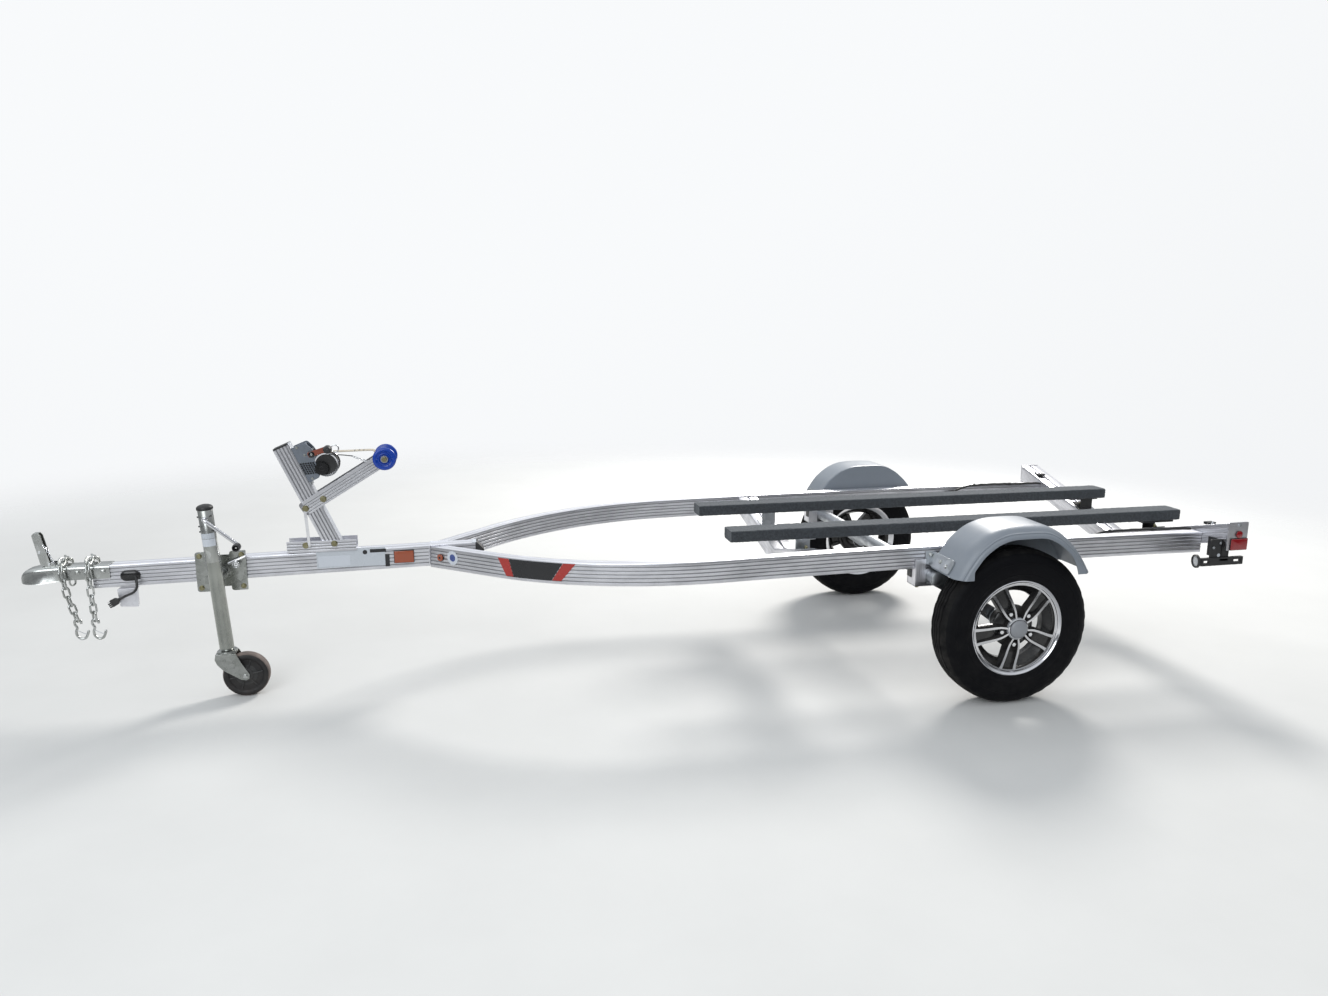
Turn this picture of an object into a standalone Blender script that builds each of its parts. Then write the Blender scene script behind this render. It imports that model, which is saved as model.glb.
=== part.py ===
"""Single-axle boat trailer with an aluminium frame, torsion axle, swing-up jack and winch stand.

Metres, +Z up. The coupler points to -X, so the trailer's left side is at -Y.
X positions in the tables are measured from the wheel axle and grow towards the rear.
The origin of the model is on the ground, under the middle of the whole length.
"""
import math

import bmesh
import bpy
from mathutils import Matrix, Vector

# Whole trailer
AXLE_X = 1.1506            # wheel axle, from the middle of the whole length
PITCH = math.radians(-0.54)       # the trailer stands with its nose a little low
GAP = 0.0003               # air kept between pieces that rest on each other
LEFT, RIGHT = -1, 1        # sides: -Y and +Y
SIDES = (("left", LEFT), ("right", RIGHT))

# Extruded frame
TUBE_HEIGHT = 0.0762       # 3 in beam
TONGUE_WIDTH = 0.055
TONGUE_FRONT_X = -3.040
TONGUE_REAR_X = -1.774
TONGUE_TOP_AT_AXLE = 0.5108
TONGUE_SLOPE = 0.0148
TONGUE_CAP_LENGTH = 0.012

RAIL_WIDTH = 0.044
RAIL_OUTER_Y = 0.532       # outer face of a straight rail
RAIL_TOP_AT_AXLE = 0.5149
RAIL_SLOPE = 0.0028
RAIL_CAMBER = 0.0086       # drop for each metre squared from the axle
RAIL_REAR_X = 0.8477
RAIL_BEND_X = -0.985       # where the bend towards the tongue starts
RAIL_BEND_RADIUS = 1.06
RAIL_BEND_ANGLE = math.radians(44)
RAIL_BEND_STEPS = 7

RIB_COUNT = 5              # grooves along the side of a beam
RIB_DEPTH = 0.0011
RIB_WIDTH = 0.0046

# Cross-members, bent down to a shallow V
CROSS_WIDTH = 0.083
REAR_CROSS_X = 0.8895
REAR_CROSS_HALF_SPAN = 0.648
REAR_CROSS_TOP = 0.395     # top in the middle of the V
CROSS_RISE = 0.27          # rise for each metre from the middle
FRONT_CROSS_X = -0.585
FRONT_CROSS_TOP = 0.392
FRONT_CROSS_RISE = 0.232
CROSS_GROOVE_WIDTH = 0.006
CROSS_GROOVE_DEPTH = 0.004
CROSS_HEIGHT = 0.070
END_PLATE_THICKNESS = 0.004
END_PLATE_HEIGHT = 0.102

# Wheels and axle
TRACK_HALF = 0.6527        # middle of a tyre
AXLE_Z = 0.258             # spindle, in the trailer's own frame
TYRE_RADIUS = 0.2725
TYRE_WIDTH = 0.128
RIM_RADIUS = 0.168         # outside of the rim's flange
RIM_SEAT_RADIUS = 0.1525
RIM_HALF_WIDTH = 0.058
RIM_WALL = 0.006
DISC_BACK = 0.016          # back of the spokes at the hub, from the middle of the wheel
SPOKE_COUNT = 5
WHEEL_STEPS = 28
WINDOW_ANGLE = 82          # of a window between two spokes, in degrees above the horizontal
SPINDLE_RADIUS = 0.0155
HUB_RADIUS = 0.046
AXLE_TUBE_X = -0.236
AXLE_TUBE_Z = 0.4105
AXLE_TUBE_RADIUS = 0.025
AXLE_TUBE_HALF = 0.5705
ARM_THICKNESS = 0.012

# Fenders
FENDER_INNER_Y = 0.549
FENDER_OUTER_Y = 0.742
FENDER_TOP = 0.614
FENDER_BOTTOM = 0.445
FENDER_WALL = 0.004
STRAP_THICKNESS = 0.004    # of the straps over the fenders' feet

# Bunks
BUNK_Y = 0.2285
BUNK_WIDTH = 0.0946
BUNK_THICKNESS = 0.0443
BUNK_TOP = 0.5386
BUNK_FRONT_X = -0.884
BUNK_REAR_X = 0.970

# Jack
JACK_Y = -0.122
JACK_PIVOT_X = -2.634
JACK_PIVOT_Z = 0.425
JACK_LEAN = math.radians(3.6)     # foot towards the rear
JACK_TUBE_RADIUS = 0.0235
JACK_TUBE_TOP = 0.240             # from the pivot, along the tube
JACK_TUBE_BOTTOM = -0.2434
JACK_BOLTS = ((-2.702, 0.484), (-2.702, 0.372), (-2.567, 0.484), (-2.567, 0.372))
JACK_LEG_RADIUS = 0.019
JACK_WHEEL_X = -2.562
JACK_WHEEL_Z = 0.08514
JACK_WHEEL_RADIUS = 0.0755
JACK_WHEEL_WIDTH = 0.044

# Winch stand
WINCH_HALF = 0.0335        # half the width over the side plates
POST_HALF = 0.0285         # half the post's width across the trailer
POST_DEPTH = 0.057
POST_FOOT_X = -2.256
POST_TOP_X = -2.4155
POST_TOP_Z = 0.854
ARM_SLOPE = 31.4           # degrees
ROLLER_X = -2.074
ROLLER_Z = 0.803
ROLLER_RADIUS = 0.040
ROLLER_HALF = 0.054        # half the length over both wheels
DRUM_RADIUS = 0.040        # over the turns of strap on the drum

# Safety chains
LINK_PITCH = 0.0262
LINK_COUNT = 13
LINK_WIRE = 0.0031
LINK_HALF_LENGTH = 0.0148
LINK_HALF_WIDTH = 0.0085
HOOK_SHAPE = (
    # x and z of a hook's wire, from the end of its last link
    (0.0075, -0.006), (0.0060, 0.001), (0.0, 0.0034), (-0.0060, 0.000), (-0.0070, -0.008), (-0.0035, -0.020),
    (-0.0050, -0.032), (-0.0030, -0.046), (0.0060, -0.0555), (0.0165, -0.0535), (0.0225, -0.043),
)

# Trailer cable
GROMMET_X = -2.923
GROMMET_Z = 0.4285

MATERIALS = {
    # name: (red, green, blue), roughness, metallic
    "mill_aluminium": ((0.78, 0.79, 0.80), 0.38, 1.0),
    "galvanised_steel": ((0.55, 0.57, 0.58), 0.45, 1.0),
    "zinc_plate": ((0.66, 0.67, 0.62), 0.30, 1.0),
    "tyre_rubber": ((0.018, 0.018, 0.020), 0.75, 0.0),
    "machined_alloy": ((0.75, 0.75, 0.77), 0.22, 1.0),
    "fender_plastic": ((0.33, 0.37, 0.42), 0.42, 0.0),
    "carpet": ((0.045, 0.050, 0.055), 0.95, 0.0),
    "black_plastic": ((0.020, 0.020, 0.022), 0.45, 0.0),
    "black_steel": ((0.025, 0.025, 0.027), 0.40, 0.6),
    "red_lens": ((0.55, 0.02, 0.02), 0.20, 0.0),
    "blue_roller": ((0.01, 0.10, 0.52), 0.35, 0.0),
    "webbing": ((0.55, 0.50, 0.40), 0.80, 0.0),
}


# Scene helpers

def clear_scene():
    for obj in list(bpy.data.objects):
        bpy.data.objects.remove(obj)


def material(name):
    found = bpy.data.materials.get(name)
    if found:
        return found
    colour, roughness, metallic = MATERIALS[name]
    made = bpy.data.materials.new(name)
    made.use_nodes = True
    shader = made.node_tree.nodes["Principled BSDF"]
    shader.inputs["Base Color"].default_value = (*colour, 1.0)
    shader.inputs["Roughness"].default_value = roughness
    shader.inputs["Metallic"].default_value = metallic
    return made


def pivot(name, location, parent=None, turn=None):
    """An empty that carries pieces; its location is in its parent's frame."""
    empty = bpy.data.objects.new(name, None)
    bpy.context.collection.objects.link(empty)
    empty.parent = parent
    empty.location = location
    if turn:
        empty.rotation_euler = turn
    return empty


def add_object(name, mesh, material_name, parent, location=(0, 0, 0), turn=(0, 0, 0), smooth=None):
    mesh.name = name
    mesh.materials.clear()
    mesh.materials.append(material(material_name))
    if smooth:
        mesh.shade_smooth()
        mesh.set_sharp_from_angle(angle=math.radians(smooth))
    obj = bpy.data.objects.new(name, mesh)
    bpy.context.collection.objects.link(obj)
    obj.parent = parent
    obj.location = location
    obj.rotation_euler = turn
    return obj


def mesh_from(bm):
    bmesh.ops.recalc_face_normals(bm, faces=bm.faces)
    mesh = bpy.data.meshes.new("shape")
    bm.to_mesh(mesh)
    bm.free()
    return mesh


def as_tool(mesh, parent):
    """A hidden object that a Boolean adds or takes away."""
    tool = bpy.data.objects.new("tool", mesh)
    bpy.context.collection.objects.link(tool)
    tool.parent = parent
    tool.hide_render = True
    tool.display_type = "WIRE"
    return tool


def combine(obj, mesh, operation):
    modifier = obj.modifiers.new(operation.lower(), "BOOLEAN")
    modifier.operation = operation
    modifier.solver = "EXACT"
    modifier.object = as_tool(mesh, obj)
    return obj


def cut(obj, *meshes):
    for mesh in meshes:
        combine(obj, mesh, "DIFFERENCE")
    return obj


def join(obj, *meshes):
    for mesh in meshes:
        combine(obj, mesh, "UNION")
    return obj


def bevel_edges(obj, width, segments=1, angle=40):
    modifier = obj.modifiers.new("edges", "BEVEL")
    modifier.width = width
    modifier.segments = segments
    modifier.limit_method = "ANGLE"
    modifier.angle_limit = math.radians(angle)
    return obj


# Mesh helpers

def prism(outline, low, high, axis="Y"):
    """Extrude a closed outline between two planes. The outline is (x, z) for Y, (y, z) for X, (x, y) for Z."""
    place = {
        "X": lambda a, b, c: (c, a, b),
        "Y": lambda a, b, c: (a, c, b),
        "Z": lambda a, b, c: (a, b, c),
    }[axis]
    bm = bmesh.new()
    rings = [[bm.verts.new(place(a, b, level)) for a, b in outline] for level in (low, high)]
    count = len(outline)
    for index in range(count):
        after = (index + 1) % count
        bm.faces.new((rings[0][index], rings[0][after], rings[1][after], rings[1][index]))
    bm.faces.new(rings[0])
    bm.faces.new(rings[1])
    return mesh_from(bm)


def block(x_range, y_range, z_range):
    x0, x1 = x_range
    z0, z1 = z_range
    return prism([(x0, z0), (x1, z0), (x1, z1), (x0, z1)], *y_range)


def turned(profile, steps, axis="Y"):
    """Revolve a closed outline of (radius, along) about an axis through the origin."""
    bm = bmesh.new()
    rings = []
    for index in range(steps):
        angle = 2 * math.pi * index / steps
        ring = []
        for radius, along in profile:
            across = (radius * math.cos(angle), radius * math.sin(angle))
            spot = {
                "X": (along, across[0], across[1]),
                "Y": (across[0], along, across[1]),
                "Z": (across[0], across[1], along),
            }[axis]
            ring.append(bm.verts.new(spot))
        rings.append(ring)
    count = len(profile)
    for index, ring in enumerate(rings):
        following = rings[(index + 1) % steps]
        for corner in range(count):
            after = (corner + 1) % count
            bm.faces.new((ring[corner], ring[after], following[after], following[corner]))
    bmesh.ops.remove_doubles(bm, verts=bm.verts, dist=1e-6)
    bmesh.ops.dissolve_degenerate(bm, edges=bm.edges, dist=1e-7)
    return mesh_from(bm)


def cylinder(radius, low, high, steps=20, axis="Y"):
    outline = [(radius * math.cos(2 * math.pi * i / steps), radius * math.sin(2 * math.pi * i / steps))
               for i in range(steps)]
    return prism(outline, low, high, axis)


def moved(mesh, offset=(0, 0, 0), turn=0.0, axis="Y"):
    mesh.transform(Matrix.Translation(offset) @ Matrix.Rotation(turn, 4, axis))
    return mesh


def sweep(section, frames):
    """Carry a closed section (side, up) along frames of (place, side vector, up vector)."""
    bm = bmesh.new()
    rings = []
    for place, side, up in frames:
        rings.append([bm.verts.new(Vector(place) + Vector(side) * s + Vector(up) * u) for s, u in section])
    count = len(section)
    for ring, following in zip(rings, rings[1:]):
        for corner in range(count):
            after = (corner + 1) % count
            bm.faces.new((ring[corner], ring[after], following[after], following[corner]))
    bm.faces.new(rings[0])
    bm.faces.new(rings[-1])
    return mesh_from(bm)


def rod(name, points, radius, material_name, parent, sides=8):
    """A bent round rod along a list of points, as a bevelled curve with filled caps."""
    curve = bpy.data.curves.new(name, "CURVE")
    curve.dimensions = "3D"
    curve.bevel_depth = radius
    curve.bevel_resolution = (sides - 4) // 2
    curve.use_fill_caps = True
    spline = curve.splines.new("POLY")
    spline.points.add(len(points) - 1)
    for slot, place in zip(spline.points, points):
        slot.co = (*place, 1.0)
    curve.materials.append(material(material_name))
    obj = bpy.data.objects.new(name, curve)
    bpy.context.collection.objects.link(obj)
    obj.parent = parent
    return obj


def smooth_route(points, step):
    """Points a step apart along a smooth curve through the given points."""
    route = [Vector(p) for p in points]
    padded = [route[0] * 2 - route[1], *route, route[-1] * 2 - route[-2]]
    result = [route[0]]
    for index in range(1, len(padded) - 2):
        before, start, end, after = padded[index - 1:index + 3]
        pieces = max(1, round((end - start).length / step))
        for piece in range(1, pieces + 1):
            t = piece / pieces
            spot = 0.5 * (2 * start + (end - before) * t
                          + (2 * before - 5 * start + 4 * end - after) * t * t
                          + (3 * start - before - 3 * end + after) * t ** 3)
            result.append(spot)
    return result


def rounded_outline(corners, radius, steps=3):
    """Round the corners of a closed outline with arcs of one radius."""
    result = []
    count = len(corners)
    for index in range(count):
        here = Vector(corners[index])
        back = (Vector(corners[index - 1]) - here).normalized()
        ahead = (Vector(corners[(index + 1) % count]) - here).normalized()
        half = math.acos(max(-1.0, min(1.0, back.dot(ahead)))) / 2
        reach = radius / math.tan(half)
        start = here + back * reach
        end = here + ahead * reach
        for step in range(steps + 1):
            t = step / steps
            result.append(tuple((1 - t) ** 2 * start + 2 * t * (1 - t) * here + t ** 2 * end))
    return result


def ribbed_section(width, height, ribs=RIB_COUNT):
    """Section of an extruded beam (side, up), its top at 0, with grooves along both sides."""
    half = width / 2
    pitch = height / (ribs + 1)
    side = []
    for index in range(ribs):
        middle = -pitch * (index + 1)
        side += [(half, middle + RIB_WIDTH / 2), (half - RIB_DEPTH, middle), (half, middle - RIB_WIDTH / 2)]
    right = [(half, 0)] + side + [(half, -height)]
    left = [(-s, u) for s, u in reversed(right)]
    return right + left


def tongue_top(x):
    return TONGUE_TOP_AT_AXLE + TONGUE_SLOPE * x


def rail_top(x):
    return RAIL_TOP_AT_AXLE + RAIL_SLOPE * x - RAIL_CAMBER * x * x


# Frame

def make_tongue(trailer):
    section = ribbed_section(TONGUE_WIDTH, TUBE_HEIGHT)
    ends = (TONGUE_FRONT_X, TONGUE_REAR_X)
    frames = [((x, 0, tongue_top(x)), (0, 1, 0), (0, 0, 1)) for x in ends]
    tongue = add_object("tongue", sweep(section, frames), "mill_aluminium", trailer)
    hole = cylinder(0.0135, -TONGUE_WIDTH, 0, 16)
    cut(tongue, moved(hole, (GROMMET_X, 0, GROMMET_Z)))
    x0, x1 = TONGUE_REAR_X + GAP, TONGUE_REAR_X + TONGUE_CAP_LENGTH
    top = tongue_top(TONGUE_REAR_X)
    cap = block((x0, x1), (-TONGUE_WIDTH / 2, TONGUE_WIDTH / 2), (top - TUBE_HEIGHT, top))
    bevel_edges(add_object("tongue_end_cap", cap, "black_plastic", trailer), 0.002)


def rail_route(side):
    """Places and across-vectors of a rail, from its rear end to the tongue's side."""
    middle_y = RAIL_OUTER_Y - RAIL_WIDTH / 2
    radius = RAIL_BEND_RADIUS - RAIL_WIDTH / 2
    route = [(x, middle_y, 0.0) for x in (RAIL_REAR_X, 0.35, -0.15, -0.6)]
    for step in range(RAIL_BEND_STEPS + 1):
        angle = RAIL_BEND_ANGLE * step / RAIL_BEND_STEPS
        x = RAIL_BEND_X - radius * math.sin(angle)
        y = middle_y - radius * (1 - math.cos(angle))
        route.append((x, y, angle))
    run = (route[-1][1] - RAIL_WIDTH) / math.sin(RAIL_BEND_ANGLE)
    last_x, last_y, angle = route[-1]
    route.append((last_x - run * math.cos(angle), last_y - run * math.sin(angle), angle))
    overrun = 0.09
    route.append((route[-1][0] - overrun * math.cos(angle), route[-1][1] - overrun * math.sin(angle), angle))
    return [((x, side * y, rail_top(x)), (-math.sin(a), side * math.cos(a), 0)) for x, y, a in route]


def make_rails(trailer):
    section = ribbed_section(RAIL_WIDTH, TUBE_HEIGHT)
    for label, side in SIDES:
        frames = [(place, across, (0, 0, 1)) for place, across in rail_route(side)]
        rail = add_object(f"side_rail_{label}", sweep(section, frames), "mill_aluminium", trailer)
        beyond = sorted((side * (TONGUE_WIDTH / 2 + GAP), -side * 0.3))
        cut(rail, block((-2.3, -1.5), beyond, (0.3, 0.6)))


def cross_section(width, height):
    """Section of a cross-member (along the trailer, up), its top at 0, with a groove along its top."""
    half = width / 2
    groove = CROSS_GROOVE_WIDTH / 2
    pitch = height / 4
    side = []
    for index in range(3):
        middle = -pitch * (index + 1)
        side += [(half, middle + RIB_WIDTH / 2), (half - RIB_DEPTH, middle), (half, middle - RIB_WIDTH / 2)]
    right = [(groove, -CROSS_GROOVE_DEPTH), (groove, 0), (half, 0)] + side + [(half, -height)]
    return right + [(-s, u) for s, u in reversed(right)]


def make_cross(name, trailer, x, top, rise, half_span):
    section = cross_section(CROSS_WIDTH, CROSS_HEIGHT)
    stations = (-half_span, 0.0, half_span)
    frames = [((x, y, top + rise * abs(y)), (1, 0, 0), (0, 0, 1)) for y in stations]
    return add_object(name, sweep(section, frames), "mill_aluminium", trailer)


def make_cross_members(trailer):
    inner = RAIL_OUTER_Y - RAIL_WIDTH - GAP
    front = make_cross("front_crossmember", trailer, FRONT_CROSS_X, FRONT_CROSS_TOP, FRONT_CROSS_RISE, inner)
    rear = make_cross("rear_crossmember", trailer, REAR_CROSS_X, REAR_CROSS_TOP, CROSS_RISE, REAR_CROSS_HALF_SPAN)
    top = REAR_CROSS_TOP + CROSS_RISE * REAR_CROSS_HALF_SPAN + 0.002
    ends = (REAR_CROSS_X - CROSS_WIDTH / 2, REAR_CROSS_X + CROSS_WIDTH / 2)
    for label, side in SIDES:
        faces = sorted(side * (REAR_CROSS_HALF_SPAN + offset) for offset in (-0.002, END_PLATE_THICKNESS))
        join(rear, block(ends, faces, (top - END_PLATE_HEIGHT, top)))
        join(front, bunk_bracket(side, FRONT_CROSS_X, FRONT_CROSS_TOP, FRONT_CROSS_RISE))
        join(rear, bunk_bracket(side, REAR_CROSS_X, REAR_CROSS_TOP, CROSS_RISE))
        make_rear_lamps(label, side, trailer, top)


def bunk_bracket(side, x, top, rise):
    """Bent plate between a cross-member and the underside of a bunk, sunk 1 mm into the cross-member."""
    under = BUNK_TOP - BUNK_THICKNESS - GAP
    half, wall, sunk = 0.030, 0.004, 0.001
    inner, outer = (side * BUNK_Y - side * half, side * BUNK_Y + side * half)
    low_in = top + rise * abs(inner) - sunk
    low_out = top + rise * abs(outer) - sunk
    profile = [(inner, low_in), (outer, low_out), (outer, low_out + wall + sunk),
               (inner + side * wall, low_in + wall + sunk), (inner + side * wall, under - wall),
               (outer, under - wall), (outer, under), (inner, under)]
    return prism(profile, x - 0.028, x + 0.028, "X")


def make_rear_lamps(label, side, trailer, plate_top):
    """Sealed tail lamp on the rear face of the cross-member and a side lamp on its end plate."""
    face = REAR_CROSS_X + CROSS_WIDTH / 2 + GAP
    y = side * 0.50
    middle = (face, y, REAR_CROSS_TOP + CROSS_RISE * abs(y) - CROSS_HEIGHT / 2)
    slope = math.atan(CROSS_RISE) * side
    lens = rounded_outline([(-0.082, -0.027), (0.082, -0.027), (0.082, 0.027), (-0.082, 0.027)], 0.026, 4)
    add_object(f"tail_lamp_{label}", prism(lens, 0.0, 0.011, "X"), "red_lens", trailer, middle, (slope, 0, 0))
    plate = REAR_CROSS_HALF_SPAN + END_PLATE_THICKNESS
    low, high = sorted((side * (plate + GAP), side * (plate + 0.007)))
    x_high = REAR_CROSS_X + CROSS_WIDTH / 2 - 0.004
    side_lens = block((x_high - 0.062, x_high), (low, high), (plate_top - 0.100, plate_top - 0.060))
    bevel_edges(add_object(f"side_lamp_{label}", side_lens, "red_lens", trailer), 0.002)


def make_licence_bracket(trailer):
    """Black plate holder under the left end of the rear cross-member, with its small lamp."""
    front = REAR_CROSS_X - CROSS_WIDTH / 2 - GAP
    y = -REAR_CROSS_HALF_SPAN + 0.050
    top = REAR_CROSS_TOP + CROSS_RISE * abs(y) - 0.022
    plate = block((front - 0.004, front), (y - 0.032, y + 0.032), (top - 0.105, top - 0.024))
    bracket = add_object("licence_bracket", plate, "black_plastic", trailer)
    bar = block((front - 0.060, front + 0.085), (y - 0.040, y - 0.028), (top - 0.130, top - 0.101))
    link = block((front - 0.004, front + 0.020), (y - 0.036, y - 0.006), (top - 0.112, top - 0.090))
    join(bracket, link, bar)
    lamp = [(0.0, 0.0), (0.020, 0.0), (0.026, 0.006), (0.026, 0.020), (0.0, 0.020)]
    join(bracket, moved(turned(lamp, 16, "X"), (front - 0.079, y - 0.034, top - 0.116)))


# Axle and wheels

def make_axle(trailer):
    tube = cylinder(AXLE_TUBE_RADIUS, -AXLE_TUBE_HALF, AXLE_TUBE_HALF, 20)
    centre = (AXLE_TUBE_X, 0, AXLE_TUBE_Z)
    add_object("axle_tube", moved(tube, centre), "galvanised_steel", trailer, smooth=40)
    reach = Vector((-AXLE_TUBE_X, AXLE_Z - AXLE_TUBE_Z))
    angle = math.atan2(-reach.y, reach.x)
    for label, side in SIDES:
        inner = AXLE_TUBE_HALF + GAP
        outer = inner + ARM_THICKNESS
        outline = arm_outline(reach.length)
        arm = moved(prism(outline, *sorted((side * inner, side * outer))), centre, angle)
        arm = add_object(f"torsion_arm_{label}", arm, "galvanised_steel", trailer, smooth=40)
        spindle = cylinder(SPINDLE_RADIUS, *sorted((side * (inner + 0.002), side * (TRACK_HALF + 0.004))), 16)
        join(arm, moved(spindle, (0, 0, AXLE_Z)))


def arm_outline(length):
    """A plate arm, round at the tube (origin) and at the spindle (length along +x)."""
    outline = []
    for centre_x, radius, start in ((0.0, 0.034, 90), (length, 0.026, -90)):
        for step in range(9):
            angle = math.radians(start + 180 * step / 8)
            outline.append((centre_x + radius * math.cos(angle), radius * math.sin(angle)))
    return outline


def make_axle_clamps(trailer):
    """Saddle under each rail that holds the axle tube, with a clip up the rail's outer face."""
    low_z = AXLE_TUBE_Z - AXLE_TUBE_RADIUS - 0.006
    front, rear = AXLE_TUBE_X - 0.064, AXLE_TUBE_X + 0.050
    under = rail_top(front) - TUBE_HEIGHT - 2 * GAP
    for label, side in SIDES:
        inner = RAIL_OUTER_Y - RAIL_WIDTH - 0.004
        outer = RAIL_OUTER_Y + 0.012
        saddle = block((front, rear), sorted((side * inner, side * outer)), (low_z, under))
        clamp = add_object(f"axle_clamp_{label}", saddle, "mill_aluminium", trailer)
        face = sorted((side * (RAIL_OUTER_Y + GAP), side * outer))
        join(clamp, block((front, AXLE_TUBE_X - AXLE_TUBE_RADIUS - 0.001), face, (low_z + 0.010, under + 0.036)))
        hole = cylinder(AXLE_TUBE_RADIUS + GAP, *sorted((side * (inner - 0.01), side * (outer + 0.01))), 20)
        cut(clamp, moved(hole, (AXLE_TUBE_X, 0, AXLE_TUBE_Z)))


def tyre_profile():
    """One half of the tyre's outer and inner outline, as (radius, along) from the bead to the tread."""
    half = TYRE_WIDTH / 2
    bead = RIM_SEAT_RADIUS + 0.0008
    outer = [(bead, 0.0455), (RIM_RADIUS, 0.0540), (0.184, 0.0620), (0.212, half),
             (0.243, 0.0610), (0.2610, 0.0510), (0.2698, 0.0320), (TYRE_RADIUS, 0.010)]
    inner = [(0.2585, 0.020), (0.212, 0.055), (0.176, 0.049), (bead, 0.0385)]
    return outer, inner


def make_wheel(label, side, trailer):
    body = pivot(f"wheel_axis_{label}", (0, side * TRACK_HALF, AXLE_Z), trailer)
    steps = WHEEL_STEPS
    outer, inner = tyre_profile()
    outline = [(r, -a) for r, a in outer] + [(r, a) for r, a in reversed(outer)]
    outline += [(r, a) for r, a in reversed(inner)] + [(r, -a) for r, a in inner]
    add_object(f"tyre_{label}", turned(outline, steps), "tyre_rubber", body, smooth=50)
    make_rim(label, side, body, steps)
    make_hub(label, side, body)


def make_rim(label, side, body, steps):
    flange, seat, half = RIM_RADIUS, RIM_SEAT_RADIUS, RIM_HALF_WIDTH
    well = 0.128
    inner = seat - RIM_WALL
    outline = [(0.0, 0.0740), (0.030, 0.0700), (0.033, 0.0610), (0.090, 0.0560), (inner, half - 0.012),
               (flange - 0.004, half), (flange, half - 0.003), (seat, half - 0.010), (seat, half - 0.026),
               (well, half - 0.046), (well, -half + 0.036), (seat, -half + 0.010), (flange, -half),
               (inner, -half + 0.010), (well - RIM_WALL, -half + 0.040), (well - RIM_WALL, half - 0.048),
               (inner, half - 0.028), (0.070, DISC_BACK), (0.0, DISC_BACK)]
    wheel = turned([(r, side * a) for r, a in outline], steps)
    rim = add_object(f"rim_{label}", wheel, "machined_alloy", body, smooth=35)
    cut(rim, spoke_windows(side))


def spoke_windows(side):
    """One mesh with the openings between the spokes and the slots that split each spoke."""
    bm = bmesh.new()
    shapes = (
        # angle offset, outline as (radius, angle in degrees)
        (0.0, [(0.062, -11), (0.062, 11), (0.138, 21), (0.1405, 0), (0.138, -21)]),
        (36.0, [(0.084, -7.5), (0.084, 7.5), (0.134, 6.2), (0.134, -6.2)]),
    )
    for turn_index in range(SPOKE_COUNT):
        for offset, outline in shapes:
            base = WINDOW_ANGLE + offset + turn_index * 360 / SPOKE_COUNT
            rings = []
            for top in (False, True):
                ring = []
                for radius, degrees in outline:
                    angle = math.radians(base + degrees)
                    level = 0.09 if top else 0.0095 + 0.205 * (radius - 0.062)
                    ring.append(bm.verts.new((radius * math.cos(angle), side * level, radius * math.sin(angle))))
                rings.append(ring)
            count = len(outline)
            for index in range(count):
                after = (index + 1) % count
                bm.faces.new((rings[0][index], rings[0][after], rings[1][after], rings[1][index]))
            bm.faces.new(rings[0])
            bm.faces.new(rings[1])
    return mesh_from(bm)


def make_hub(label, side, body):
    """Hub with its flange behind the rim's disc, bored for the spindle."""
    flange_out = RIM_HALF_WIDTH - 0.0425
    back = -(TRACK_HALF - AXLE_TUBE_HALF - ARM_THICKNESS) + 0.006
    bore = SPINDLE_RADIUS + 0.001
    outline = [(0.0, flange_out), (0.062, flange_out), (0.062, flange_out - 0.009), (HUB_RADIUS, flange_out - 0.012),
               (0.034, back + 0.010), (0.034, back), (bore, back), (bore, flange_out - 0.010),
               (0.0, flange_out - 0.010)]
    add_object(f"hub_{label}", turned([(r, side * a) for r, a in outline], 20), "black_steel", body, smooth=35)


# Fenders

def fender_outline(inset=0.0):
    """Side view of a fender's outer surface (x, z), from the front foot over the top to the rear foot."""
    corners = [(-0.250, FENDER_BOTTOM), (-0.226, 0.492), (-0.186, 0.549), (-0.128, 0.593), (-0.062, FENDER_TOP),
               (0.074, FENDER_TOP), (0.136, 0.586), (0.190, 0.540), (0.229, 0.488), (0.254, FENDER_BOTTOM)]
    points = [Vector(corners[0])]
    for here, after in zip(corners, corners[1:]):
        points += [Vector(here).lerp(Vector(after), share) for share in (0.22, 0.78)]
    points.append(Vector(corners[-1]))
    centre = Vector((0.0, FENDER_BOTTOM - 0.05))
    return [tuple(p - (p - centre).normalized() * inset) for p in points]


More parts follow.
